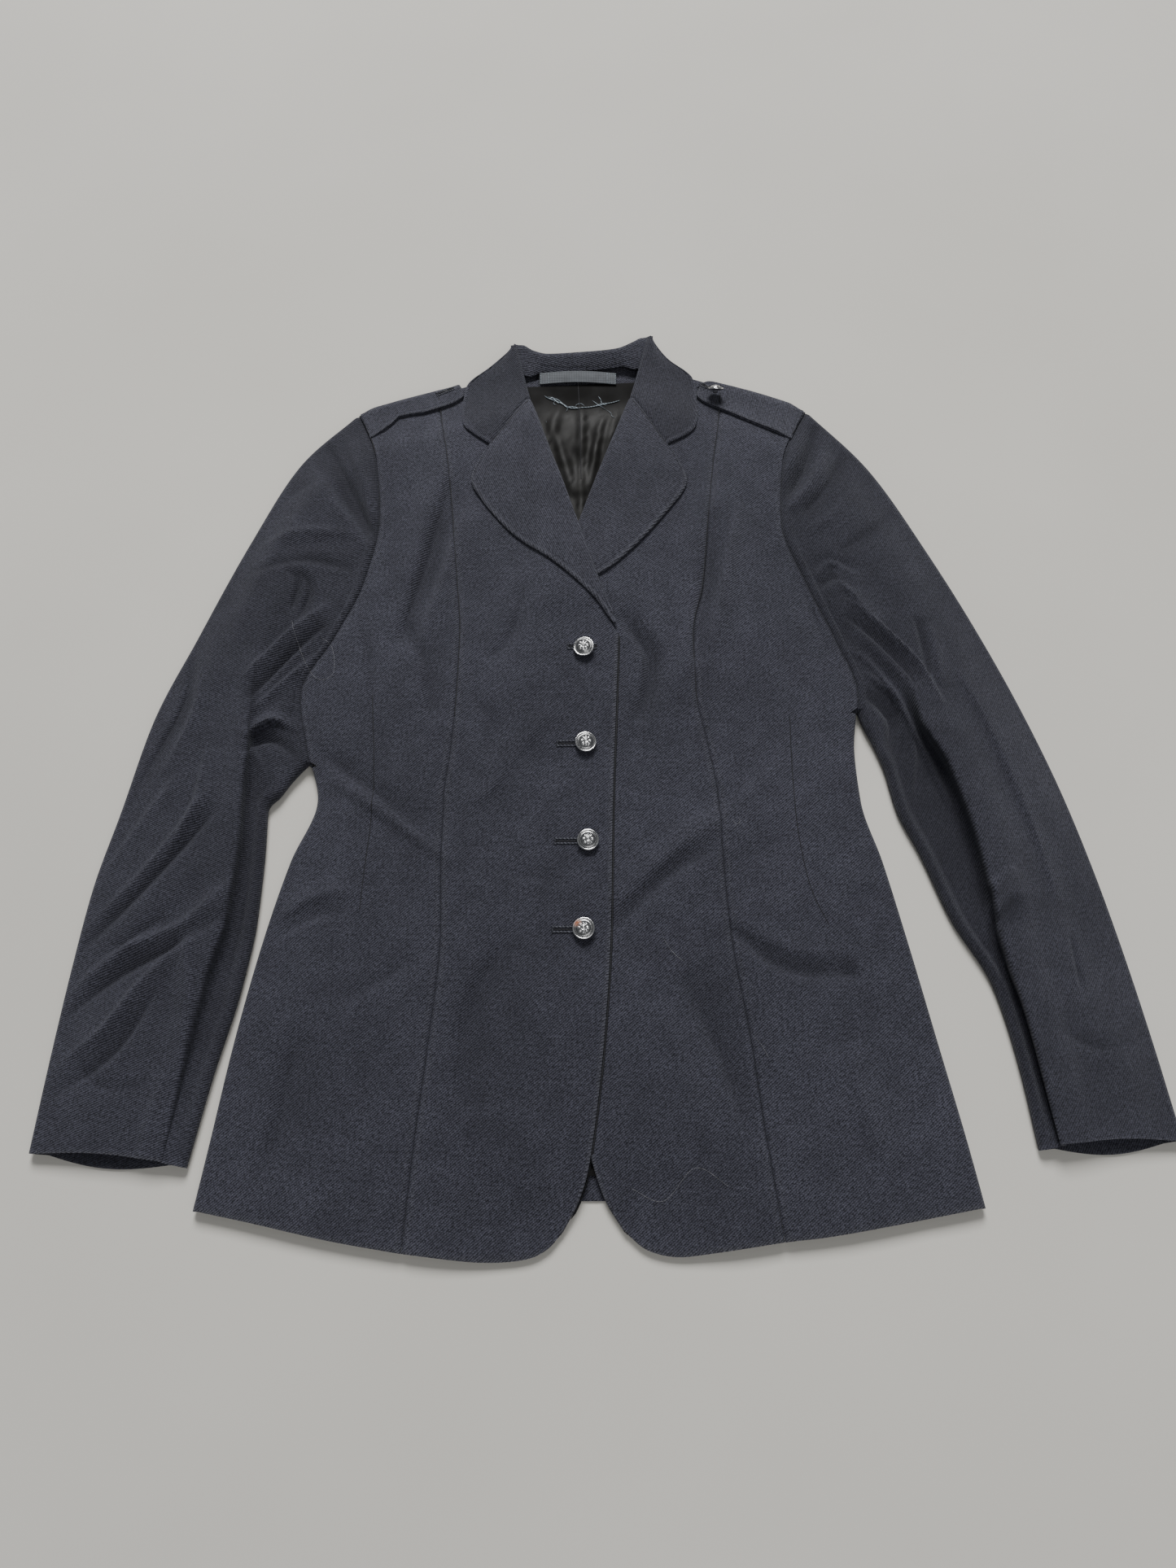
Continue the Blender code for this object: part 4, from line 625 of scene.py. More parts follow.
def patch(bottom: Array, top: Array, left: Array, right: Array, across: Array) -> Array:
    """Points of a panel between its four edges.

    Args:
        bottom: Edge at the first row, left to right.
        top: Edge at the last row, left to right.
        left: One point for each row.
        right: One point for each row.
        across: Share of the way across for each row and column.

    Returns:
        Rows and columns of plan points.
    """

    def along(line: Array) -> Array:
        places = np.linspace(0.0, 1.0, len(line))
        return np.stack([np.interp(across, places, line[:, k]) for k in range(2)], axis=-1)

    u = across[..., None]
    v = np.linspace(0.0, 1.0, len(left))[:, None, None]
    blend = (1 - v) * along(bottom) + v * along(top) + (1 - u) * left[:, None] + u * right[:, None]
    corners = (1 - u) * (1 - v) * bottom[0] + u * (1 - v) * bottom[-1] + (1 - u) * v * top[0] + u * v * top[-1]
    return blend - corners


def lift(plan: Array, rise: Array | float) -> Array:
    """Plan points with their heights.

    Args:
        plan: Plan points.
        rise: Height of each, or of all.

    Returns:
        Points in space.
    """
    return np.concatenate([plan, np.broadcast_to(rise, plan.shape[:-1])[..., None]], axis=-1)


def wrapped_edge(start: Array, outward: Array, low: Array | float, tail: Array | float) -> Array:
    """Cloth folded round an edge: half a turn down to low, then a tail inward.

    Args:
        start: Points on the upper cloth.
        outward: Plan normals there.
        low: Height that the fold comes down to.
        tail: How far in from the start's line the lower cloth ends.

    Returns:
        For each start point, the points beyond it.
    """
    radius = (start[:, 2] - low) / 2.0
    columns = []
    for k in range(1, SIZES.fold_steps + 1):
        turn = math.pi * k / SIZES.fold_steps
        plan = start[:, :2] + outward * (radius * math.sin(turn))[:, None]
        columns.append(np.column_stack([plan, low + radius * (1.0 + math.cos(turn))]))
    inner = start[:, :2] - outward * np.broadcast_to(tail, radius.shape)[:, None]
    columns.append(np.column_stack([inner, np.broadcast_to(low, radius.shape)]))
    return np.stack(columns, axis=1)


# The form of the body


class BodyForm:
    """Heights of the laid body and the x of its seams and edges."""

    def column(self, name: str, y: Array | float) -> Array:
        """One column of the body's sections.

        Args:
            name: The column's name.
            y: Levels to read.

        Returns:
            The column's values there.
        """
        return spline([row.y for row in BODY_ROWS], [getattr(row, name) for row in BODY_ROWS], y)

    def edge_x(self, name: str, y: Array | float) -> Array:
        """x of the overlapping or under front edge.

        Args:
            name: "over" or "under".
            y: Levels to read.

        Returns:
            x at those levels.
        """
        return spline([row.y for row in EDGE_ROWS], [getattr(row, name) for row in EDGE_ROWS], y)

    def shoulder_y(self, x: Array) -> Array:
        """y of the shoulder fold.

        Args:
            x: Plan x of each point.

        Returns:
            y of the fold over those points.
        """
        right = np.interp(x, [p[0] for p in RIGHT.shoulder], [p[1] for p in RIGHT.shoulder])
        left = np.interp(x, [p[0] for p in reversed(LEFT.shoulder)], [p[1] for p in reversed(LEFT.shoulder)])
        return np.where(x < 0.0, right, left)

    def plain_rise(self, x: Array, y: Array) -> Array:
        """Height of the fronts' mid wall without the finer creases.

        Args:
            x: Plan x of each point.
            y: Plan y of each point.

        Returns:
            Height of each point.
        """
        x = np.asarray(x, float)
        y = np.asarray(y, float)
        low = self.column("outer_r", y)
        high = self.column("outer_l", y)
        across = np.clip((x - low) / (high - low), 0.0, 1.0)
        rim = self.column("rim", y)
        rise = rim + (self.column("crown", y) - rim) * (1.0 - np.abs(2.0 * across - 1.0) ** 2.4)
        rise = rise + crease_rise(BODY_FOLDS, x, y)
        resting = smooth_step((0.07 - y) / 0.10) * smooth_step((0.115 - np.abs(x)) / 0.06)
        rise = rise + (FORM.hem_rest - rise) * resting
        below = self.shoulder_y(x) - SIZES.fold_inset - y
        return FORM.shoulder_rise + (rise - FORM.shoulder_rise) * smooth_step(below / 0.055)

    def lap_rise(self, x: Array, y: Array) -> Array:
        """Height of the overlapping front without the finer creases.

        Args:
            x: Plan x of each point.
            y: Plan y of each point.

        Returns:
            Height of each point.
        """
        lap = SIZES.layer * smooth_step((x + 0.064) / 0.026) * smooth_step((y + 0.012) / 0.036)
        lapel = SIZES.layer * smooth_step((y - 0.462) / 0.022) * smooth_step((x + 0.052) / 0.022)
        apart = 1.0 - smooth_step((y - 0.585) / 0.05)
        return self.plain_rise(x, y) + (lap + lapel) * apart

    def back_rise(self, x: Array, y: Array) -> Array:
        """Height of the back's mid wall.

        Args:
            x: Plan x of each point.
            y: Plan y of each point.

        Returns:
            Height of each point.
        """
        near = smooth_step((FORM.neck_half_width - np.abs(x - FORM.centre_back_x)) / 0.04)
        return SIZES.floor + FORM.lifted * smooth_step((y - FORM.back_lift_from) / FORM.back_lift_over) * near


class Layer(Enum):
    """Which front a piece belongs to."""

    OVER = "over"
    UNDER = "under"


class SideForm:
    """Seam lines and surfaces of one side of the tunic."""

    def __init__(self, sizes: SideSizes, body: BodyForm, layer: Layer) -> None:
        """Set up one side.

        Args:
            sizes: The side's outline.
            body: The body's form.
            layer: Whether its front laps over or under.
        """
        self.sizes = sizes
        self.body = body
        self.edge = layer.value
        self.rise: Rise = body.lap_rise if layer is Layer.OVER else body.plain_rise
        self.outer = "outer_r" if sizes.inward > 0 else "outer_l"
        self.princess = "princess_r" if sizes.inward > 0 else "princess_l"
        lean = np.array([-0.50 * sizes.inward, 0.866])
        self.tip_out = lean / np.linalg.norm(lean)

    def skirt_levels(self, start: float) -> Array:
        """Levels of the rows from the hem to just under the arm.

        Args:
            start: The first level.

        Returns:
            Even levels.
        """
        end = self.sizes.underarm - FORM.crotch
        return np.linspace(start, end, int(0.37 / SIZES.row_step))

    def arm_levels(self, end: float) -> Array:
        """Levels of the rows from the underarm up.

        Args:
            end: The last level.

        Returns:
            Even levels.
        """
        return np.linspace(self.sizes.underarm, end, int(0.32 / SIZES.row_step))

    def levels(self, start: float, end: float) -> Array:
        """Levels of a front panel's rows.

        Args:
            start: The first level.
            end: The last level.

        Returns:
            The skirt's rows, then the armhole's.
        """
        return np.concatenate([self.skirt_levels(start), self.arm_levels(end)])

    def armhole(self, inset: float) -> tuple[Array, Array]:
        """Armhole seam from the underarm to the shoulder fold.

        Args:
            inset: How far before the fold it ends.

        Returns:
            Plan points, and half of the seam's gap at each.
        """
        end = np.array(self.sizes.tip) - self.tip_out * inset
        y = self.arm_levels(end[1])
        line = np.column_stack([self.body.column(self.outer, y), y])
        share = smooth_step((y - FORM.last_level) / (end[1] - FORM.last_level))
        line[:, 0] += share * (end[0] - line[-1, 0])
        return line, 0.5 * SIZES.seam_gap * (1.0 + share)

    def side_line(self, start: float, inset: Array | float) -> Array:
        """Folded side edge from the hem to just under the arm.

        Args:
            start: The first level.
            inset: How far in from the edge the line runs.

        Returns:
            Plan points.
        """
        y = self.skirt_levels(start)
        line = np.column_stack([self.body.column(self.outer, y), y])
        line[:, 0] += self.sizes.inward * np.broadcast_to(inset, y.shape)
        return line

    def princess_line(self, start: float, end: float, shift: float) -> Array:
        """Princess seam at every row.

        Args:
            start: The first level.
            end: The last level.
            shift: How far the line is moved along x.

        Returns:
            Plan points.
        """
        y = self.levels(start, end)
        return np.column_stack([self.body.column(self.princess, y) + shift, y])

    def shoulder_line(self, inset: float, shares: Array) -> tuple[Array, Array]:
        """Shoulder fold moved down into the front.

        Args:
            inset: How far it is moved.
            shares: Shares of its length from the armhole.

        Returns:
            Plan points and outward normals.
        """
        line = through(self.sizes.shoulder, shares)
        out = normals_of(line) * -self.sizes.inward
        out[0] = self.tip_out
        out *= np.sign(out[:, 1:2])
        return line - out * inset, out

    def princess_share(self) -> float:
        """Share of the shoulder fold where the princess seam meets it.

        Returns:
            The share, from the armhole.
        """
        line = through(self.sizes.shoulder, np.linspace(0.0, 1.0, 81))
        seam = self.body.column(self.princess, line[:, 1])
        return float(np.argmin(np.abs(line[:, 0] - seam))) / 80.0

    def neck_point(self) -> Array:
        """Corner of the front under the collar.

        Returns:
            A plan point.
        """
        line, _ = self.shoulder_line(SIZES.fold_inset, np.array([0.0, FORM.neck_share]))
        return line[1]

    def free_edge(self) -> Array:
        """Free edge of the front, from the hem's round corner to the neck.

        Returns:
            Plan points, one for each row.
        """
        neck = self.neck_point()
        y = self.levels(self.sizes.hem_front[-1][1], neck[1])
        inset = np.interp(y, *self.sizes.lapel_clear)
        inset = inset + FORM.neck_clear * smooth_step((y - FORM.last_level - 0.06) / 0.05)
        line = np.column_stack([self.body.edge_x(self.edge, y) - self.sizes.inward * inset, y])
        line[-1] = neck
        return line

    def on_shoulder(self, share: float, reach: float) -> tuple[Array, Array]:
        """Point and normal on the shoulder's cloth.

        Args:
            share: Share of the shoulder fold from the armhole.
            reach: How far in from the fold's start, or below 0, how far round it.

        Returns:
            A point on the mid wall and its normal.
        """
        edge, out = self.shoulder_line(SIZES.fold_inset, np.linspace(0.0, 1.0, 41))
        at = share * 40.0
        e = np.array([np.interp(at, np.arange(41), edge[:, k]) for k in range(2)])
        n = np.array([np.interp(at, np.arange(41), out[:, k]) for k in range(2)])
        n /= np.linalg.norm(n)
        radius = (FORM.shoulder_rise - SIZES.floor) / 2.0
        if reach < 0.0:
            turn = -reach / radius
            plan = e + n * radius * math.sin(turn)
            point = np.array([plan[0], plan[1], SIZES.floor + radius * (1.0 + math.cos(turn))])
            return point, np.array([n[0] * math.sin(turn), n[1] * math.sin(turn), math.cos(turn)])
        plan = e - n * reach
        step = 0.002
        here = float(self.body.plain_rise(plan[0], plan[1]))
        slope_x = (float(self.body.plain_rise(plan[0] + step, plan[1])) - here) / step
        slope_y = (float(self.body.plain_rise(plan[0], plan[1] + step)) - here) / step
        normal = np.array([-slope_x, -slope_y, 1.0])
        return np.array([plan[0], plan[1], max(here, FORM.shoulder_rise)]), normal / np.linalg.norm(normal)


# Finishes


class NodeBook:
    """Short ways to add and join the nodes of one tree."""

    def __init__(self, tree: bpy.types.NodeTree) -> None:
        """Keep the tree.

        Args:
            tree: The tree that gets the nodes.
        """
        self.tree = tree

    def add(self, kind: str, **settings: object) -> bpy.types.Node:
        """Add a node.

        Args:
            kind: Blender's name of the node.
            settings: Its settings, or, where the name is a socket's, that socket's value.

        Returns:
            The node.
        """
        node = self.tree.nodes.new(kind)
        for name, value in settings.items():
            label = name.replace("_", " ").title()
            if hasattr(node, name):
                setattr(node, name, value)
            else:
                self.put(node.inputs[label], value)
        return node

    def put(self, socket: bpy.types.NodeSocket, value: object) -> None:
        """Give a socket a value, or join another socket to it.

        Args:
            socket: The input socket.
            value: A number, a vector, a colour or an output socket.
        """
        if isinstance(value, bpy.types.NodeSocket):
            self.tree.links.new(value, socket)
        else:
            socket.default_value = value

    def math(self, operation: str, first: object, second: object = 0.0) -> bpy.types.NodeSocket:
        """Work out a number.

        Args:
            operation: Blender's name of the operation.
            first: A number or socket.
            second: A number or socket.

        Returns:
            The result's socket.
        """
        node = self.tree.nodes.new("ShaderNodeMath")
        node.operation = operation
        self.put(node.inputs[0], first)
        self.put(node.inputs[1], second)
        return node.outputs[0]

    def ramp(self, value: object, low: float, high: float, to_low: float, to_high: float) -> bpy.types.NodeSocket:
        """Bring a value from one range to another, held at the ends.

        Args:
            value: The number's socket.
            low: Start of its range.
            high: End of its range.
            to_low: Result at the start.
            to_high: Result at the end.

        Returns:
            The result's socket.
        """
        node = self.tree.nodes.new("ShaderNodeMapRange")
        for socket, number in zip(node.inputs, (value, low, high, to_low, to_high)):
            self.put(socket, number)
        return node.outputs[0]

    def noise(self, place: object, scale: float, detail: float = 3.0, rough: float = 0.5) -> bpy.types.NodeSocket:
        """Add a noise.

        Args:
            place: The vector's socket.
            scale: Blotches in a metre.
            detail: Finer layers.
            rough: Their share.

        Returns:
            The noise's value.
        """
        node = self.tree.nodes.new("ShaderNodeTexNoise")
        self.put(node.inputs["Vector"], place)
        node.inputs["Scale"].default_value = scale
        node.inputs["Detail"].default_value = detail
        node.inputs["Roughness"].default_value = rough
        return node.outputs[0]

    def mix(self, share: object, first: object, second: object) -> bpy.types.NodeSocket:
        """Mix two colours.

        Args:
            share: How much of the second.
            first: A colour or socket.
            second: A colour or socket.

        Returns:
            The colour's socket.
        """
        node = self.tree.nodes.new("ShaderNodeMix")
        node.data_type = "RGBA"
        colour_inputs = [socket for socket in node.inputs if socket.type == "RGBA"]
        self.put(node.inputs[0], share)
        self.put(colour_inputs[0], first)
        self.put(colour_inputs[1], second)
        return next(socket for socket in node.outputs if socket.type == "RGBA")


def group_tree(name: str, inputs: dict[str, str], outputs: dict[str, str]) -> NodeBook:
    """Start a shader node group.

    Args:
        name: The group's name.
        inputs: Socket types by name.
        outputs: Socket types by name.

    Returns:
        The group's book, with its two end nodes.
    """
    tree = bpy.data.node_groups.new(name, "ShaderNodeTree")
    for label, kind in inputs.items():
        tree.interface.new_socket(name=label, in_out="INPUT", socket_type=kind)
    for label, kind in outputs.items():
        tree.interface.new_socket(name=label, in_out="OUTPUT", socket_type=kind)
    tree.nodes.new("NodeGroupInput")
    tree.nodes.new("NodeGroupOutput")
    return NodeBook(tree)


def twill_group() -> bpy.types.NodeTree:
    """Make the twill weave: slanted ribs of plump yarns, a little uneven.

    Returns:
        The group, with Grain, Ribs and Lean in, and Tone and Height out.
    """
    inputs = {"Grain": "NodeSocketVector", "Ribs": "NodeSocketFloat", "Lean": "NodeSocketFloat"}
    book = group_tree("Twill weave", inputs, {"Tone": "NodeSocketFloat", "Height": "NodeSocketFloat"})
    start = book.tree.nodes["Group Input"].outputs
    end = book.tree.nodes["Group Output"].inputs
    turned = book.tree.nodes.new("ShaderNodeVectorRotate")
    turned.rotation_type = "Z_AXIS"
    book.put(turned.inputs["Vector"], start["Grain"])
    book.put(turned.inputs["Angle"], start["Lean"])
    parts = book.tree.nodes.new("ShaderNodeSeparateXYZ")
    book.put(parts.inputs[0], turned.outputs[0])
    waver = book.noise(start["Grain"], 140.0, 2.0)
    across = book.math("ADD", parts.outputs[0], book.math("MULTIPLY", waver, 0.0011))
    turn = book.math("MULTIPLY", book.math("MULTIPLY", across, start["Ribs"]), 2.0 * math.pi)
    rib = book.ramp(book.math("SINE", turn), -1.0, 1.0, 0.0, 1.0)
    count = book.math("FLOOR", book.math("MULTIPLY", across, start["Ribs"]))
    beat = book.math("MULTIPLY", book.math("MULTIPLY", parts.outputs[1], start["Ribs"]), 1.7 * math.pi)
    yarn = book.ramp(book.math("SINE", book.math("ADD", beat, book.math("MULTIPLY", count, 2.3))), -1.0, 1.0, 0.55, 1.0)
    fuzz = book.ramp(book.noise(start["Grain"], 460.0, 5.0, 0.85), 0.37, 0.63, 0.0, 1.0)
    height = book.math("MULTIPLY", rib, yarn)
    book.put(end["Height"], book.math("ADD", height, book.math("MULTIPLY", fuzz, 0.45)))
    ribbed = book.math("MULTIPLY", book.math("POWER", height, 1.3), 0.56)
    book.put(end["Tone"], book.math("ADD", ribbed, book.ramp(fuzz, 0.0, 1.0, -0.14, 0.66)))
    return book.tree


def lint_group() -> bpy.types.NodeTree:
    """Make pale lint and faint handling marks.

    Returns:
        The group, with Place in, and Lint and Shade out.
    """
    outputs = {"Lint": "NodeSocketFloat", "Shade": "NodeSocketFloat"}
    book = group_tree("Lint and handling", {"Place": "NodeSocketVector"}, outputs)
    start = book.tree.nodes["Group Input"].outputs
    end = book.tree.nodes["Group Output"].inputs
    fleck = book.tree.nodes.new("ShaderNodeTexVoronoi")
    fleck.inputs["Scale"].default_value = 62.0
    book.put(fleck.inputs["Vector"], start["Place"])
    size = book.ramp(book.noise(start["Place"], 31.0, 1.0), 0.60, 0.80, 0.0, 0.030)
    near = book.math("LESS_THAN", fleck.outputs["Distance"], size)
    book.put(end["Lint"], book.math("MULTIPLY", near, 0.55))
    broad = book.ramp(book.noise(start["Place"], 9.0, 4.0), 0.30, 0.70, 0.82, 1.20)
    book.put(end["Shade"], book.math("MULTIPLY", broad, book.ramp(book.noise(start["Place"], 70.0, 3.0), 0.3, 0.7, 0.84, 1.16)))
    return book.tree


def new_material(name: str) -> tuple[bpy.types.Material, NodeBook, bpy.types.Node]:
    """Start a material.

    Args:
        name: The material's name.

    Returns:
        The material, the book of its nodes, and its shader.
    """
    item = bpy.data.materials.new(name)
    item.use_nodes = True
    return item, NodeBook(item.node_tree), item.node_tree.nodes["Principled BSDF"]


@dataclass(frozen=True)
class TwillFinish:
    """Dark fine twill with a dull sheen, worn paler along its edges, and drawn darker as painted shade where
    WearAndShade is below 0.
    """

    name: str
    low: tuple[float, float, float, float] = (0.0055, 0.0056, 0.0095, 1.0)
    high: tuple[float, float, float, float] = (0.0760, 0.0765, 0.1040, 1.0)
    worn: tuple[float, float, float, float] = (0.0950, 0.0960, 0.1060, 1.0)
    lint: tuple[float, float, float, float] = (0.2600, 0.2700, 0.3000, 1.0)
    ribs: float = 640.0
    lean: float = 0.85
    depth: float = 0.00050
    roughness: float = 0.80
    sheen: float = 0.16

    def build(self, twill: bpy.types.NodeTree, lint: bpy.types.NodeTree) -> bpy.types.Material:
        """Make the material.

        Args:
            twill: The weave's group.
            lint: The lint's group.

        Returns:
            The material.
        """
        item, book, shader = new_material(self.name)
        grain = book.add("ShaderNodeUVMap", uv_map="Grain")
        weave = book.add("ShaderNodeGroup", node_tree=twill)
        book.put(weave.inputs["Grain"], grain.outputs[0])
        weave.inputs["Ribs"].default_value = self.ribs
        weave.inputs["Lean"].default_value = self.lean
        place = book.add("ShaderNodeTexCoord")
        specks = book.add("ShaderNodeGroup", node_tree=lint)
        book.put(specks.inputs["Place"], place.outputs["Object"])
        wear_and_shade = book.add("ShaderNodeAttribute", attribute_name="WearAndShade")
        # Painted shade: where WearAndShade is below 0 the cloth's tone is drawn darker, down to 42 %.
        fresh = book.ramp(wear_and_shade.outputs["Fac"], -1.0, 0.0, 0.42, 1.0)
        tone = book.math("MULTIPLY", weave.outputs["Tone"], book.math("MULTIPLY", fresh, specks.outputs["Shade"]))
        cloth = book.mix(tone, self.low, self.high)
        rubbed = book.math("MULTIPLY", wear_and_shade.outputs["Fac"], book.ramp(weave.outputs["Tone"], 0.2, 0.9, 0.15, 0.75))
        cloth = book.mix(rubbed, cloth, self.worn)
        cloth = book.mix(specks.outputs["Lint"], cloth, self.lint)
        book.put(shader.inputs["Base Color"], cloth)
        book.put(shader.inputs["Roughness"], book.ramp(tone, 0.0, 1.0, self.roughness + 0.08, self.roughness - 0.10))
        shader.inputs["Specular IOR Level"].default_value = 0.32
        shader.inputs["Sheen Weight"].default_value = self.sheen
        shader.inputs["Sheen Roughness"].default_value = 0.42
        shader.inputs["Sheen Tint"].default_value = (0.78, 0.80, 0.90, 1.0)
        bump = book.add("ShaderNodeBump")
        bump.inputs["Strength"].default_value = 1.0
        bump.inputs["Distance"].default_value = self.depth
        book.put(bump.inputs["Height"], weave.outputs["Height"])
        book.put(shader.inputs["Normal"], bump.outputs[0])
        return item


@dataclass(frozen=True)
class SatinFinish:
    """Thin black lining with a satin gloss and a fine crosswise weave, drawn darker as painted shade where WearAndShade
    is below 0.
    """

    name: str = "Black lining satin"
    low: tuple[float, float, float, float] = (0.0030, 0.0028, 0.0028, 1.0)
    high: tuple[float, float, float, float] = (0.0110, 0.0102, 0.0086, 1.0)
    yarns: float = 2200.0

    def build(self, lint: bpy.types.NodeTree) -> bpy.types.Material:
        """Make the material.

        Args:
            lint: The lint's group.

        Returns:
            The material.
        """
        item, book, shader = new_material(self.name)
        grain = book.add("ShaderNodeUVMap", uv_map="Grain")
        parts = book.add("ShaderNodeSeparateXYZ")
        book.put(parts.inputs[0], grain.outputs[0])
        rows = book.math("SINE", book.math("MULTIPLY", parts.outputs[1], 2.0 * math.pi * self.yarns))
        cols = book.math("SINE", book.math("MULTIPLY", parts.outputs[0], 2.0 * math.pi * self.yarns))
        weave = book.ramp(book.math("MULTIPLY", rows, cols), -1.0, 1.0, 0.25, 0.75)
        place = book.add("ShaderNodeTexCoord")
        specks = book.add("ShaderNodeGroup", node_tree=lint)
        book.put(specks.inputs["Place"], place.outputs["Object"])
        wear_and_shade = book.add("ShaderNodeAttribute", attribute_name="WearAndShade")
        tone = book.math("MULTIPLY", weave, book.ramp(book.noise(grain.outputs[0], 90.0, 4.0), 0.3, 0.7, 0.4, 1.2))
        # Painted shade: where WearAndShade is below 0 the lining's tone is drawn darker.
        tone = book.math("MULTIPLY", tone, book.ramp(wear_and_shade.outputs["Fac"], -1.0, 0.0, 0.45, 1.0))
        cloth = book.mix(tone, self.low, self.high)
        book.put(shader.inputs["Base Color"], book.mix(specks.outputs["Lint"], cloth, (0.09, 0.09, 0.09, 1.0)))
        gloss = book.ramp(book.noise(grain.outputs[0], 45.0), 0.3, 0.7, 0.36, 0.54)
        dull = book.ramp(wear_and_shade.outputs["Fac"], -1.0, 0.0, 0.34, 0.0)
        book.put(shader.inputs["Roughness"], book.math("ADD", gloss, dull))
        shader.inputs["Specular IOR Level"].default_value = 0.15
        shader.inputs["Sheen Weight"].default_value = 0.02
        bump = book.add("ShaderNodeBump")
        bump.inputs["Strength"].default_value = 0.35
        bump.inputs["Distance"].default_value = 0.0002
        book.put(bump.inputs["Height"], book.math("ADD", weave, book.noise(grain.outputs[0], 260.0, 3.0)))
        book.put(shader.inputs["Normal"], bump.outputs[0])
        return item


@dataclass(frozen=True)
class TapeFinish:
    """Grey-blue woven tape with close cross ribs and a blotchy tone."""

    name: str = "Blue hanger tape"
    low: tuple[float, float, float, float] = (0.0160, 0.0190, 0.0240, 1.0)
    high: tuple[float, float, float, float] = (0.0780, 0.0890, 0.1030, 1.0)
    ribs: float = 900.0

    def build(self) -> bpy.types.Material:
        """Make the material.

        Returns:
            The material.
        """
        item, book, shader = new_material(self.name)
        grain = book.add("ShaderNodeUVMap", uv_map="Grain")
        parts = book.add("ShaderNodeSeparateXYZ")
        book.put(parts.inputs[0], grain.outputs[0])
        ribs = book.math("SINE", book.math("MULTIPLY", parts.outputs[0], 2.0 * math.pi * self.ribs))
        lines = book.math("SINE", book.math("MULTIPLY", parts.outputs[1], 2.0 * math.pi * 560.0))
        weave = book.ramp(book.math("ADD", ribs, book.math("MULTIPLY", lines, 0.6)), -1.6, 1.6, 0.0, 1.0)
        soil = book.ramp(book.noise(grain.outputs[0], 170.0, 4.0), 0.3, 0.7, 0.45, 1.15)
        book.put(shader.inputs["Base Color"], book.mix(book.math("MULTIPLY", weave, soil), self.low, self.high))
        book.put(shader.inputs["Roughness"], book.ramp(weave, 0.0, 1.0, 0.78, 0.58))
        shader.inputs["Sheen Weight"].default_value = 0.15
        bump = book.add("ShaderNodeBump")
        bump.inputs["Strength"].default_value = 0.5
        bump.inputs["Distance"].default_value = 0.0002
        book.put(bump.inputs["Height"], weave)
        book.put(shader.inputs["Normal"], bump.outputs[0])
        return item


@dataclass(frozen=True)
class MetalFinish:
    """Bright plated metal, dull in its hollows, finely scratched, rusty where it has worn through."""

    name: str = "Bright plated button"
    bright: tuple[float, float, float, float] = (0.70, 0.70, 0.70, 1.0)
    tarnish: tuple[float, float, float, float] = (0.035, 0.035, 0.038, 1.0)
    rust: tuple[float, float, float, float] = (0.36, 0.10, 0.025, 1.0)

    def build(self) -> bpy.types.Material:
        """Make the material.

        Returns:
            The material.
        """
        item, book, shader = new_material(self.name)
        place = book.add("ShaderNodeTexCoord").outputs["Object"]
        hollow = book.add("ShaderNodeAttribute", attribute_name="Hollow")
        worn = book.add("ShaderNodeAttribute", attribute_name="Rust")
        cloud = book.noise(place, 420.0, 4.0)
        dull = book.math("MULTIPLY", hollow.outputs["Fac"], book.ramp(cloud, 0.3, 0.7, 0.65, 1.0))
        metal = book.mix(dull, self.bright, self.tarnish)
        rusty = book.math("MULTIPLY", worn.outputs["Fac"], book.ramp(book.noise(place, 1500.0), 0.35, 0.6, 0.5, 1.0))
        book.put(shader.inputs["Base Color"], book.mix(rusty, metal, self.rust))
        book.put(shader.inputs["Metallic"], book.ramp(rusty, 0.0, 1.0, 1.0, 0.15))
        smudge = book.ramp(cloud, 0.35, 0.75, 0.10, 0.26)
        gloss = book.math("ADD", smudge, book.math("MULTIPLY", dull, 0.25))
        book.put(shader.inputs["Roughness"], book.math("ADD", gloss, book.math("MULTIPLY", rusty, 0.4)))
        scratch = book.add("ShaderNodeTexWave", wave_type="BANDS", bands_direction="DIAGONAL")
        scratch.inputs["Scale"].default_value = 900.0
        scratch.inputs["Distortion"].default_value = 9.0
        book.put(scratch.inputs["Vector"], place)
        bump = book.add("ShaderNodeBump")
        bump.inputs["Strength"].default_value = 0.10
        bump.inputs["Distance"].default_value = 0.00004
        book.put(bump.inputs["Height"], scratch.outputs["Fac"])
        book.put(shader.inputs["Normal"], bump.outputs[0])
        return item


@dataclass(frozen=True)
class ThreadFinish:
    """Twisted sewing thread, hair or lint; the darkest one also makes the tubes of painted shadow in seams, darts and
    slits.
    """

    name: str
    low: tuple[float, float, float, float]
    high: tuple[float, float, float, float]
    roughness: float = 0.7
    twist: float = 1400.0

    def build(self) -> bpy.types.Material:
        """Make the material.

        Returns:
            The material.
        """
        item, book, shader = new_material(self.name)
        place = book.add("ShaderNodeTexCoord").outputs["Object"]
        ply = book.add("ShaderNodeTexWave", wave_type="BANDS", bands_direction="DIAGONAL")
        ply.inputs["Scale"].default_value = self.twist / (2.0 * math.pi)
        ply.inputs["Distortion"].default_value = 1.5
        book.put(ply.inputs["Vector"], place)
        tone = book.math("MULTIPLY", ply.outputs["Fac"], book.ramp(book.noise(place, 300.0), 0.3, 0.7, 0.5, 1.1))
        book.put(shader.inputs["Base Color"], book.mix(tone, self.low, self.high))
        book.put(shader.inputs["Roughness"], book.ramp(tone, 0.0, 1.0, self.roughness + 0.1, self.roughness))
        bump = book.add("ShaderNodeBump")
        bump.inputs["Strength"].default_value = 0.4
        bump.inputs["Distance"].default_value = 0.0001
        book.put(bump.inputs["Height"], ply.outputs["Fac"])
        book.put(shader.inputs["Normal"], bump.outputs[0])
        return item


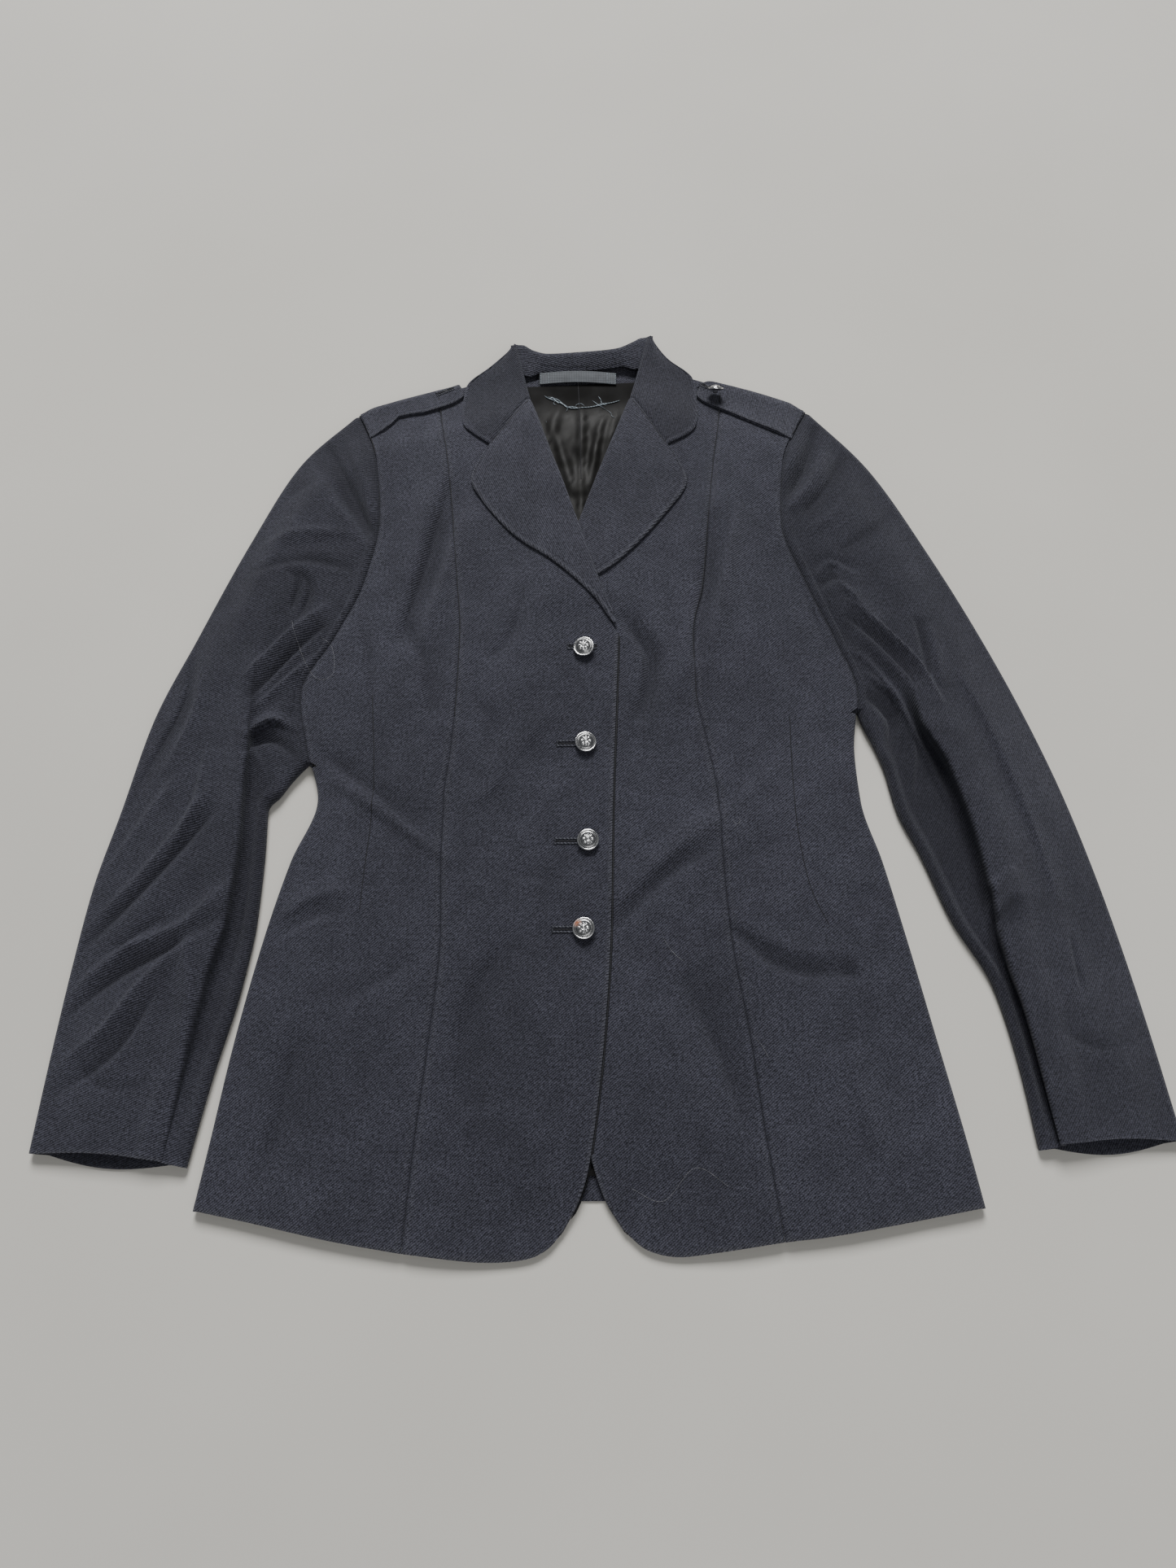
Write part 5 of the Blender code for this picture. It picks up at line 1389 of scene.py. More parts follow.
class Finishes:
    """All finishes of the tunic."""

    def __init__(self) -> None:
        """Make the groups, then the materials that use them."""
        twill = twill_group()
        lint = lint_group()
        self.twill = TwillFinish("Navy twill").build(twill, lint)
        self.facing = TwillFinish(
            "Navy twill facing",
            low=(0.0060, 0.0061, 0.0100, 1.0),
            high=(0.0780, 0.0785, 0.1050, 1.0),
            lean=0.25,
        ).build(twill, lint)
        self.satin = SatinFinish().build(lint)
        self.tape = TapeFinish().build()
        self.metal = MetalFinish().build()
        self.navy_thread = ThreadFinish("Navy thread", (0.014, 0.015, 0.022, 1.0), (0.100, 0.103, 0.125, 1.0)).build()
        self.dark_thread_and_shadow = ThreadFinish("Dark thread and painted shadow", (0.003, 0.003, 0.005, 1.0), (0.010, 0.010, 0.014, 1.0)).build()
        self.grey_thread = ThreadFinish("Grey label thread", (0.09, 0.11, 0.13, 1.0), (0.36, 0.41, 0.45, 1.0)).build()
        self.pale_hair = ThreadFinish("Pale lint", (0.16, 0.16, 0.17, 1.0), (0.40, 0.40, 0.42, 1.0), 0.5).build()


# Panels


@dataclass(frozen=True)
class Cut:
    """Flat size of the cloth that a piece shows: width, length, and its share of that rectangle."""

    width: float
    length: float
    share: float = 1.0
    held: str = "laid"


@dataclass
class Panel:
    """A panel of cloth: mid-wall points on a grid, its wrapped edges, and how worn it is and where shade is painted on
    it.
    """

    name: str
    grid: Array
    wall: float
    grain: float
    finish: bpy.types.Material
    wraps: Sequence[Wrap] = ()
    wear_and_shade: Array | None = None

    def sheet_points(self) -> tuple[Array, Array, Array, Array]:
        """Points, faces, grain places and WearAndShade values of the mid wall.

        Returns:
            The four arrays.
        """
        rows, columns = self.grid.shape[:2]
        points = [self.grid.reshape(-1, 3)]
        plans = [self.grid.reshape(-1, 3)[:, :2]]
        wear_and_shade = self.wear_and_shade if self.wear_and_shade is not None else np.zeros((rows, columns))
        wear_and_shade_parts = [np.broadcast_to(wear_and_shade, (rows, columns)).reshape(-1)]
        numbers = np.arange(rows * columns).reshape(rows, columns)
        corners = (numbers[:-1, :-1], numbers[:-1, 1:], numbers[1:, 1:], numbers[1:, :-1])
        faces = [np.stack([c.reshape(-1) for c in corners], axis=1)]
        total = rows * columns
        for border, beyond in self.wraps:
            start = np.asarray(border)
            count, steps = beyond.shape[:2]
            fresh = total + np.arange(count * steps).reshape(count, steps)
            line = np.hstack([start[:, None], fresh])
            total += count * steps
            corners = (line[:-1, :-1], line[1:, :-1], line[1:, 1:], line[:-1, 1:])
            faces.append(np.stack([c.reshape(-1) for c in corners], axis=1))
            points.append(beyond.reshape(-1, 3))
            first = points[0][start]
            whole = np.concatenate([first[:, None], beyond], axis=1)
            arc = np.cumsum(np.linalg.norm(np.diff(whole, axis=1), axis=2), axis=1)
            out = beyond[:, 0, :2] - first[:, :2]
            out /= np.maximum(np.linalg.norm(out, axis=1), 1e-9)[:, None]
            plans.append((first[:, None, :2] + out[:, None] * arc[..., None]).reshape(-1, 2))
            wear_and_shade_parts.append(np.repeat(wear_and_shade_parts[0][start], steps))
        turn = math.radians(self.grain)
        plan = np.vstack(plans)
        grain = np.stack([
            math.cos(turn) * plan[:, 0] + math.sin(turn) * plan[:, 1],
            -math.sin(turn) * plan[:, 0] + math.cos(turn) * plan[:, 1],
        ], axis=1)
        return np.vstack(points), np.vstack(faces), grain, np.concatenate(wear_and_shade_parts)

    def piece(self) -> bpy.types.Object:
        """Make the panel a closed thin shell.

        Returns:
            The finished piece.
        """
        points, faces, grain, wear_and_shade = self.sheet_points()
        mesh = bpy.data.meshes.new(self.name)
        mesh.from_pydata((points + LAY).tolist(), [], faces.tolist())
        corners = np.zeros(len(mesh.loops), dtype=np.int64)
        mesh.loops.foreach_get("vertex_index", corners)
        mesh.uv_layers.new(name="Grain").data.foreach_set("uv", grain[corners].reshape(-1))
        # WearAndShade: above 0 the cloth is rubbed paler, below 0 it carries painted shade that darkens it.
        mesh.attributes.new("WearAndShade", "FLOAT", "POINT").data.foreach_set("value", wear_and_shade)
        shape = bmesh.new()
        shape.from_mesh(mesh)
        bmesh.ops.recalc_face_normals(shape, faces=shape.faces)
        upward = sum(face.normal.z * face.calc_area() for face in shape.faces[: self.grid.shape[0] * 4])
        if upward < 0.0:
            bmesh.ops.reverse_faces(shape, faces=shape.faces)
        shape.to_mesh(mesh)
        shape.free()
        draft = bpy.data.objects.new(self.name + "_draft", mesh)
        bpy.context.scene.collection.objects.link(draft)
        thick = draft.modifiers.new("Wall", "SOLIDIFY")
        thick.thickness = self.wall
        thick.offset = 0.0
        soft = draft.modifiers.new("Soft edge", "BEVEL")
        soft.width = 0.28 * self.wall
        soft.segments = 2
        soft.limit_method = "ANGLE"
        soft.angle_limit = math.radians(62.0)
        piece = plain_copy(draft, "cloth_" + self.name)
        piece.data.materials.clear()
        piece.data.materials.append(self.finish)
        return piece


def plain_copy(draft: bpy.types.Object, name: str) -> bpy.types.Object:
    """Apply an object's modifiers and put the result in a new object in its place.

    Args:
        draft: The object with modifiers, which is removed.
        name: The new object's name.

    Returns:
        The new object.
    """
    graph = bpy.context.evaluated_depsgraph_get()
    mesh = bpy.data.meshes.new_from_object(draft.evaluated_get(graph), depsgraph=graph)
    mesh.name = name
    mesh.shade_smooth()
    piece = bpy.data.objects.new(name, mesh)
    bpy.context.scene.collection.objects.link(piece)
    bpy.data.objects.remove(draft, do_unlink=True)
    return piece


def dress(piece: bpy.types.Object, node: str) -> bpy.types.Object:
    """Make a piece ride on the tunic in place of its solid, and log its faces.

    Args:
        piece: The finished piece.
        node: The solid that it stands for, or an empty name.

    Returns:
        The piece.
    """
    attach(piece, BODY)
    if node:
        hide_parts(node)
    LOG.info("%s: %d faces", piece.name, len(piece.data.polygons))
    return piece


def seam_dip(away: Array, depth: float = 0.0011, reach: float = 0.0021) -> Array:
    """Dip of the cloth into a seam.

    Args:
        away: Distance from the seam.
        depth: How deep it dips.
        reach: How wide the dip is.

    Returns:
        Height to add, below 0.
    """
    return -depth * np.exp(-((away / reach) ** 2))


def rolled_edge(away: Array, rise: float = 0.0005) -> Array:
    """Plump turned edge: a ridge just in from the edge, then a groove.

    Args:
        away: Distance from the edge.
        rise: Height of the ridge.

    Returns:
        Height to add.
    """
    ridge = rise * np.exp(-(((away - 0.0014) / 0.0011) ** 2))
    groove = 0.9 * rise * np.exp(-(((away - 0.0036) / 0.0011) ** 2))
    return ridge - groove - 0.8 * rise * np.exp(-((away / 0.0006) ** 2))


def crease_wear_and_shade(rise: Array) -> Array:
    """Crease marks: rubbed paler on the ridges, and painted shade that darkens the troughs.

    Args:
        rise: The creases' rise at each point.

    Returns:
        Value to add to WearAndShade.
    """
    return 0.10 * np.clip(rise / 0.004, 0.0, 1.0) - 0.60 * np.clip(-rise / 0.0045, 0.0, 1.0)


def seam_wear_and_shade(away: Array) -> Array:
    """Marks beside a seam: painted shade that darkens the seam, and rubbed paleness on the ridge next to it.

    Args:
        away: Distance from the seam.

    Returns:
        Value for WearAndShade, below 0 where shade is painted in the seam.
    """
    return 0.28 * np.exp(-(((away - 0.0032) / 0.0012) ** 2)) - 0.85 * np.exp(-((away / 0.0012) ** 2))


WAVES = (Ripple(3, 0.046, 0.00042), Ripple(5, 0.019, 0.00018), Ripple(7, 0.008, 0.00007))


def waves_at(x: Array, y: Array) -> Array:
    """Small uneven waves of the body's cloth.

    Args:
        x: Plan x of each point.
        y: Plan y of each point.

    Returns:
        Height to add.
    """
    return sum(wave.at(x, y) for wave in WAVES)


def widths(plan_left: Array, plan_right: Array) -> Array:
    """Width of each row of a panel.

    Args:
        plan_left: The left edge's points.
        plan_right: The right edge's points.

    Returns:
        One width for each row.
    """
    return np.maximum(np.linalg.norm(plan_right - plan_left, axis=1), 0.004)


@dataclass
class Fronts:
    """The four front panels."""

    finishes: Finishes
    body: BodyForm
    columns: int = 58
    hem_roll: float = 0.00050

    def side_front(self, side: SideForm) -> bpy.types.Object:
        """Make a side front: from the folded side and armhole to the princess seam.

        Args:
            side: The side that it belongs to.

        Returns:
            The piece.
        """
        sizes = side.sizes
        gap = sizes.inward * SIZES.seam_gap / 2
        hem_end = sizes.hem[-1]
        corner_y = sizes.hem[0][1]
        levels = side.skirt_levels(corner_y)
        rim = self.body.column("rim", levels)
        inset = (rim - SIZES.floor) / 2.0 + SIZES.floor
        shares = np.linspace(0.0, 1.0, 61)
        top, _ = side.shoulder_line(SIZES.fold_inset, shares * side.princess_share())
        arm, half_gap = side.armhole(SIZES.fold_inset)
        arm[:, 0] += sizes.inward * half_gap
        skirt = side.side_line(corner_y, inset)
        left = np.vstack([skirt, arm])
        top = top + (arm[-1] - top[0]) * (1.0 - shares[:, None])
        right = side.princess_line(hem_end[1], top[-1][1], -gap)
        right[-1] = top[-1] - np.array([gap, 0.0])
        top[-1] = right[-1]
        bottom = through([tuple(left[0])] + list(sizes.hem[1:-1]) + [tuple(right[0])], np.linspace(0, 1, 61))
        width = widths(left, right)
        across = spread(width, self.columns, SIZES.edge_steps)
        plan = patch(bottom, top, left, right, across)
        x, y = plan[..., 0], plan[..., 1]
        rise = self.body.plain_rise(x, y)
        from_side = across * width[:, None]
        to_seam = (1.0 - across) * width[:, None]
        skirt_rows = len(skirt)
        settle = np.exp(-((from_side[:skirt_rows] / 0.008) ** 2))
        rise[:skirt_rows] += (rim - rise[:skirt_rows, 0])[:, None] * settle
        calm = smooth_step(from_side / 0.012) * smooth_step((self.body.shoulder_y(x) - 0.006 - y) / 0.02)
        fine = 1.7 * crease_rise(BODY_CREASES, x, y, True)
        rise += calm * (fine + 1.3 * waves_at(x, y))
        rise += seam_dip(to_seam)
        rise[skirt_rows:] += seam_dip(from_side[skirt_rows:]) * calm[skirt_rows:]
        grid = lift(plan, rise)
        grid[-1, :, 2] = FORM.shoulder_rise
        side_out = np.column_stack([np.full(skirt_rows, -sizes.inward), np.zeros(skirt_rows)])
        side_wrap = wrapped_edge(grid[:skirt_rows, 0], side_out, SIZES.floor, SIZES.tail_inset - inset)
        _, out = side.shoulder_line(SIZES.fold_inset, across[-1] * side.princess_share())
        top_wrap = wrapped_edge(grid[-1], out, SIZES.floor, SIZES.tail_inset - SIZES.fold_inset)
        rows, columns = grid.shape[:2]
        wraps = [
            ([j * columns for j in range(skirt_rows)], side_wrap),
            ([(rows - 1) * columns + i for i in range(columns)], top_wrap),
        ]
        hem = np.exp(-((y - y[:1]) / 0.0018))
        # Painted shade in the princess and armhole seams and the crease troughs; the hem and the seams' ridges are
        # rubbed paler.
        wear_and_shade = seam_wear_and_shade(to_seam) + 0.9 * hem + crease_wear_and_shade(fine)
        wear_and_shade[skirt_rows:] += seam_wear_and_shade(from_side[skirt_rows:])
        name = "side_front_" + sizes.word
        panel = Panel(name, grid, SIZES.shell, 0.0, self.finishes.twill, wraps, wear_and_shade)
        return dress(panel.piece(), name)

    def front(self, side: SideForm) -> bpy.types.Object:
        """Make a centre front: from the princess seam to the free edge and the lapel's roll.

        Args:
            side: The side that it belongs to.

        Returns:
            The piece.
        """
        sizes = side.sizes
        gap = sizes.inward * SIZES.seam_gap / 2
        top, _ = side.shoulder_line(SIZES.fold_inset, np.linspace(side.princess_share(), FORM.neck_share, 61))
        left = side.princess_line(sizes.hem[-1][1], top[0][1], gap)
        left[-1] = top[0] + np.array([gap, 0.0])
        top[0] = left[-1]
        right = side.free_edge()
        bottom = through([tuple(left[0])] + list(sizes.hem_front[1:]), np.linspace(0, 1, 61))
        right[0] = bottom[-1]
        width = widths(left, right)
        across = spread(width, self.columns + 6, SIZES.edge_steps)
        plan = patch(bottom, top, left, right, across)
        x, y = plan[..., 0], plan[..., 1]
        rise = side.rise(x, y)
        to_seam = across * width[:, None]
        to_edge = (1.0 - across) * width[:, None]
        calm = smooth_step((self.body.shoulder_y(x) - 0.006 - y) / 0.02) * smooth_step((y - y[:1]) / 0.02)
        under_lapel = smooth_step((np.interp(y, [0.44, 0.50], [0.0, 0.060]) - to_edge) / 0.02)
        fine = 1.7 * crease_rise(BODY_CREASES, x, y, True)
        rise += calm * (1.0 - 0.8 * under_lapel) * (fine + 1.3 * waves_at(x, y))
        rise += seam_dip(to_seam)
        free = smooth_step((0.455 - y) / 0.01)
        rise += free * rolled_edge(to_edge, self.hem_roll)
        grid = lift(plan, rise)
        grid[-1, :, 2] = FORM.shoulder_rise
        low = self.body.back_rise(grid[-1, :, 0], grid[-1, :, 1])
        share = side.princess_share()
        _, out = side.shoulder_line(SIZES.fold_inset, share + across[-1] * (FORM.neck_share - share))
        top_wrap = wrapped_edge(grid[-1], out, low, SIZES.tail_inset - SIZES.fold_inset)
        rows, columns = grid.shape[:2]
        wraps = [([(rows - 1) * columns + i for i in range(columns)], top_wrap)]
        hem = np.exp(-((y - y[:1]) / 0.0018))
        # Painted shade in the princess seam and the crease troughs; the hem and the free edge are rubbed paler.
        wear_and_shade = seam_wear_and_shade(to_seam) + 0.9 * hem + free * np.exp(-to_edge / 0.0014) + crease_wear_and_shade(fine)
        name = "front_" + sizes.word
        panel = Panel(name, grid, SIZES.shell, 0.0, self.finishes.twill, wraps, wear_and_shade)
        return dress(panel.piece(), name)

    def build(self, right: SideForm, left: SideForm) -> list[bpy.types.Object]:
        """Make all four panels.

        Args:
            right: The wearer's right side.
            left: The wearer's left side.

        Returns:
            The pieces.
        """
        return [
            self.side_front(right),
            self.side_front(left),
            self.front(left),
            self.front(right),
        ]


@dataclass
class Backs:
    """The two halves of the back, flat on the surface."""

    finishes: Finishes
    body: BodyForm
    columns: int = 22
    keep: int = 3

    def half(self, side: SideForm) -> bpy.types.Object:
        """Make one half: centre seam to folded side, armhole and shoulder.

        Args:
            side: The side that it belongs to.

        Returns:
            The piece.
        """
        sizes = side.sizes
        inset = SIZES.tail_inset + SIZES.seam_gap
        centre_x = FORM.centre_back_x - sizes.inward * SIZES.seam_gap / 2
        arm, half_gap = side.armhole(inset)
        arm[:, 0] += sizes.inward * half_gap
        left = np.vstack([side.side_line(sizes.hem[0][1], inset), arm])
        shoulder, _ = side.shoulder_line(inset, np.linspace(0.0, 0.93, 33))
        shoulder = shoulder + (arm[-1] - shoulder[0]) * np.linspace(1.0, 0.0, 33)[:, None]
        dip_y = FORM.neck_dip_y
        side_of_neck = (centre_x - sizes.inward * 0.030, dip_y + 0.001)
        neck = through([tuple(shoulder[-1]), side_of_neck, (centre_x, dip_y)], np.linspace(0.0, 1.0, 33))
        top = np.vstack([shoulder, neck[1:]])
        hem = [tuple(left[0]), (centre_x - sizes.inward * 0.12, FORM.hem_back_y), (centre_x, FORM.hem_back_y)]
        bottom = through(hem, np.linspace(0, 1, len(top)))
        right = np.column_stack([np.full(len(left), centre_x), side.levels(FORM.hem_back_y, dip_y)])
        rows = np.unique(np.r_[0:3, 0:len(left):self.keep, len(left) - 3:len(left)])
        places = rows / (len(left) - 1)
        width = widths(left, right)
        across = spread(width, self.columns, SIZES.edge_steps[::2])
        plan = patch(bottom, top, left, right, across)[rows]
        width = width[rows, None]
        x, y = plan[..., 0], plan[..., 1]
        rise = self.body.back_rise(x, y)
        to_centre = (1.0 - across[rows]) * width
        grid = lift(plan, rise)
        name = "back_" + sizes.word
        wear_and_shade = 0.4 * np.exp(-to_centre / 0.0015)
        panel = Panel(name, grid, SIZES.wall, 0.0, self.finishes.twill, (), wear_and_shade)
        return dress(panel.piece(), name)

    def build(self, right: SideForm, left: SideForm) -> list[bpy.types.Object]:
        """Make both halves.

        Args:
            right: The wearer's right side.
            left: The wearer's left side.

        Returns:
            The pieces.
        """
        return [self.half(right), self.half(left)]


@dataclass
class Sleeve:
    """One two-piece sleeve, flattened, with the top sleeve wrapped round both edges."""

    finishes: Finishes
    body: BodyForm
    side: SideForm
    folds: Sequence[Crease]
    creases: Sequence[Crease]
    overhang: float
    crisp: float
    sunk: float
    # The next three fields paint shade: on the ledge beside the fold, and over the whole top sleeve from its head to
    # its cuff.
    shaded: float
    painted_shade_head: float
    painted_shade_cuff: float
    rows: int = 270
    columns: int = 92
    wave: Ripple = Ripple(13, 0.030, 0.00045)

    def column(self, name: str, along: Array | float) -> Array:
        """One column of the sleeve's sections.

        Args:
            name: The column's name.
            along: Shares of the way down.

        Returns:
            The column's values there.
        """
        table = self.side.sizes.sleeve
        return spline([row.along for row in table], [getattr(row, name) for row in table], along)

    def edges(self, along: Array, inner_inset: Array, outer_inset: Array) -> tuple[Array, Array, Array, Array]:
        """Both edges of the sleeve, moved in, with their outward normals.

        Args:
            along: Shares of the way down.
            inner_inset: How far in at the inner edge.
            outer_inset: How far in at the outer edge.

        Returns:
            Inner and outer edges, inner and outer normals.
        """
        inner = np.column_stack([self.column("inner_x", along), self.column("inner_y", along)])
        outer = np.column_stack([self.column("outer_x", along), self.column("outer_y", along)])
        inner_out = normals_of(inner) * self.side.sizes.inward
        outer_out = normals_of(outer) * -self.side.sizes.inward
        turn = smooth_step(along / 0.20)[:, None]
        outer_out = outer_out * turn + self.side.tip_out * (1.0 - turn)
        outer_out /= np.linalg.norm(outer_out, axis=1)[:, None]
        inner = inner - inner_out * inner_inset[:, None]
        outer = outer - outer_out * outer_inset[:, None]
        return inner, outer, inner_out, outer_out

    def plan(self, along: Array, inner: Array, outer: Array, arm: Array, across: Array, bow: float) -> Array:
        """Plan points of the sleeve: bent to the armhole, bowed at the cuff.

        Args:
            along: Shares of the way down.
            inner: Inner edge's points.
            outer: Outer edge's points.
            arm: Armhole seam's points.
            across: Shares across, the same for each row.
            bow: How far the cuff's edge bows out.

        Returns:
            Rows and columns of plan points.
        """
        straight = inner[:, None] + (outer - inner)[:, None] * across[None, :, None]
        places = np.linspace(0.0, 1.0, len(arm))
        seam = np.stack([np.interp(across, places, arm[:, k]) for k in range(2)], axis=1)
        fade = np.clip(1.0 - along / FORM.head_share, 0.0, 1.0) ** 2
        down = 0.5 * (inner[-1] + outer[-1] - inner[-12] - outer[-12])
        down = down / np.linalg.norm(down)
        near_cuff = smooth_step((along - FORM.cuff_share) / (1.0 - FORM.cuff_share))
        bowed = bow * near_cuff[:, None] * np.sin(math.pi * across)[None]
        return straight + fade[:, None, None] * (seam - straight[0])[None] + bowed[..., None] * down

    def rise(self, along: Array, across: Array) -> Array:
        """Height across the sleeve: ledge, step up at the fold, crown.

        Args:
            along: Shares of the way down.
            across: Shares across.

        Returns:
            Rows and columns of heights.
        """
        rise = np.zeros((len(along), len(across)))
        for j, share in enumerate(along):
            fold = float(self.column("fold", share))
            knots = [0.0, max(fold - FORM.step_width, 0.04), fold, 0.5 * (fold + 1.0), 1.0]
            names = ["inner_rise", "low", "high", "crown", "outer_rise"]
            rise[j] = spline(knots, [float(self.column(name, share)) for name in names], across)
        return rise

    def shares(self) -> tuple[Array, Array]:
        """Shares down and across at which the sleeve has points.

        Returns:
            Both lists of shares.
        """
        along = spread(np.array([0.65]), self.rows, SIZES.edge_steps)[0]
        across = spread(np.array([0.12]), self.columns, (0.0, 0.0009, 0.002, 0.0035))[0]
        return along, across

    def top(self) -> bpy.types.Object:
        """Make the top sleeve.

        Returns:
            The piece.
        """
        sizes = self.side.sizes
        along, across = self.shares()
        inner_top = self.column("inner_rise", along)
        outer_top = self.column("outer_rise", along)
        start = smooth_step(along / 0.014)
        inner_inset = ((inner_top - SIZES.floor) / 2 + SIZES.floor) * start
        outer_inset = np.maximum((outer_top - SIZES.floor) / 2 + SIZES.floor, 0.0045)
        outer_inset = outer_inset * start + SIZES.fold_inset * (1.0 - start)
        inner, outer, inner_out, outer_out = self.edges(along, inner_inset, outer_inset)
        arm, half_gap = self.side.armhole(SIZES.fold_inset)
        seam_rise = self.body.plain_rise(arm[:, 0], arm[:, 1])
        arm[:, 0] -= sizes.inward * half_gap
        plan = self.plan(along, inner, outer, arm, across, FORM.upper_bow)
        rise = self.rise(along, across)
        heights = np.interp(across, np.linspace(0.0, 1.0, len(arm)), seam_rise)
        heights[-1] = FORM.shoulder_rise
        rise += (np.clip(1.0 - along / FORM.head_share, 0.0, 1.0) ** 2)[:, None] * (heights - rise[0])[None]
        x, y = plan[..., 0], plan[..., 1]
        middle = np.sin(math.pi * across)[None] ** 0.5
        ease = smooth_step(along / 0.05)[:, None]
        rise += crease_rise(self.folds, x, y) * middle * ease
        ease = smooth_step(along / 0.015)[:, None]
        fine = 1.9 * crease_rise(self.creases, x, y, True) * middle * ease
        rise += fine + (self.wave.at(x, y) + waves_at(x, y)) * middle * ease
        length = 0.65 * along[:, None]
        rise += seam_dip(length, 0.0014, 0.0022) + 0.0016 * np.exp(-(((length - 0.0065) / 0.0045) ** 2)) * middle
        past = across[None] - self.column("fold", along)[:, None]
        sharp = smooth_step((along[:, None] - 0.28) / 0.10)
        near_cuff = smooth_step((1.0 - along[:, None]) / 0.10)
        crest = np.exp(-((past / np.where(past < 0.0, 0.026, 0.110)) ** 2))
        rise += self.crisp * sharp * crest * (0.3 + 0.7 * near_cuff)
        rise -= self.sunk * sharp * near_cuff * smooth_step(-past / 0.05) * smooth_step(across[None] / 0.06)
        over = np.exp(-((past / 0.055) ** 2)) * sharp * self.overhang
        toward = (inner - outer) / np.linalg.norm(inner - outer, axis=1)[:, None]
        plan = plan + over[..., None] * toward[:, None]
        grid = lift(plan, rise)
        columns = len(across)
        inner_wrap = wrapped_edge(grid[1:, 0], inner_out[1:], SIZES.floor, SIZES.tail_inset - inner_inset[1:])
        outer_wrap = wrapped_edge(grid[:, -1], outer_out, SIZES.floor, SIZES.tail_inset - outer_inset)
        wraps = [
            ([j * columns for j in range(1, len(along))], inner_wrap),
            ([j * columns + columns - 1 for j in range(len(along))], outer_wrap),
        ]
        name = "top_sleeve_" + sizes.word
        # Rubbed paler at the cuff; painted shade in the armhole seam.
        wear_and_shade = np.exp(-(0.65 - length) / 0.0016) - 0.8 * np.exp(-(((length - 0.001) / 0.0016) ** 2))
        # Painted shade: darker on the ledge beside the fold, over the whole sleeve, and in the crease troughs.
        ledge_shade = sharp * smooth_step(-past / 0.035) * (0.62 + 0.38 * np.exp(past / 0.12)) * (0.35 + 0.65 * near_cuff)
        fresh = self.painted_shade_head + (self.painted_shade_cuff - self.painted_shade_head) * along[:, None]
        wear_and_shade = wear_and_shade - self.shaded * ledge_shade - fresh + 1.8 * crease_wear_and_shade(fine)
        panel = Panel(name, grid, SIZES.shell, sizes.sleeve_lean, self.finishes.twill, wraps, wear_and_shade)
        return dress(panel.piece(), name)

    def under(self) -> bpy.types.Object:
        """Make the under sleeve, flat on the surface.

        Returns:
            The piece.
        """
        sizes = self.side.sizes
        along, across = self.shares()
        along = np.unique(np.r_[along[:4], along[::4], along[-4:]])
        inset = np.full(len(along), SIZES.tail_inset + SIZES.seam_gap)
        inner_inset = inset * smooth_step(along / 0.014)
        inner, outer, _, _ = self.edges(along, inner_inset, inset)
        arm, half_gap = self.side.armhole(SIZES.tail_inset + SIZES.seam_gap)
        arm[:, 0] -= sizes.inward * half_gap
        across = spread(np.array([0.11]), 16, (0.0, 0.0012, 0.003))[0]
        plan = self.plan(along, inner, outer, arm, across, FORM.lower_bow)
        name = "under_sleeve_" + sizes.word
        wear_and_shade = np.exp(-0.65 * (1.0 - along[:, None]) / 0.0016) + 0.0 * across[None]
        panel = Panel(name, lift(plan, SIZES.floor), SIZES.wall, sizes.sleeve_lean, self.finishes.twill, (), wear_and_shade)
        return dress(panel.piece(), name)

    def build(self) -> list[bpy.types.Object]:
        """Make both sleeve panels.

        Returns:
            The pieces.
        """
        return [self.top(), self.under()]


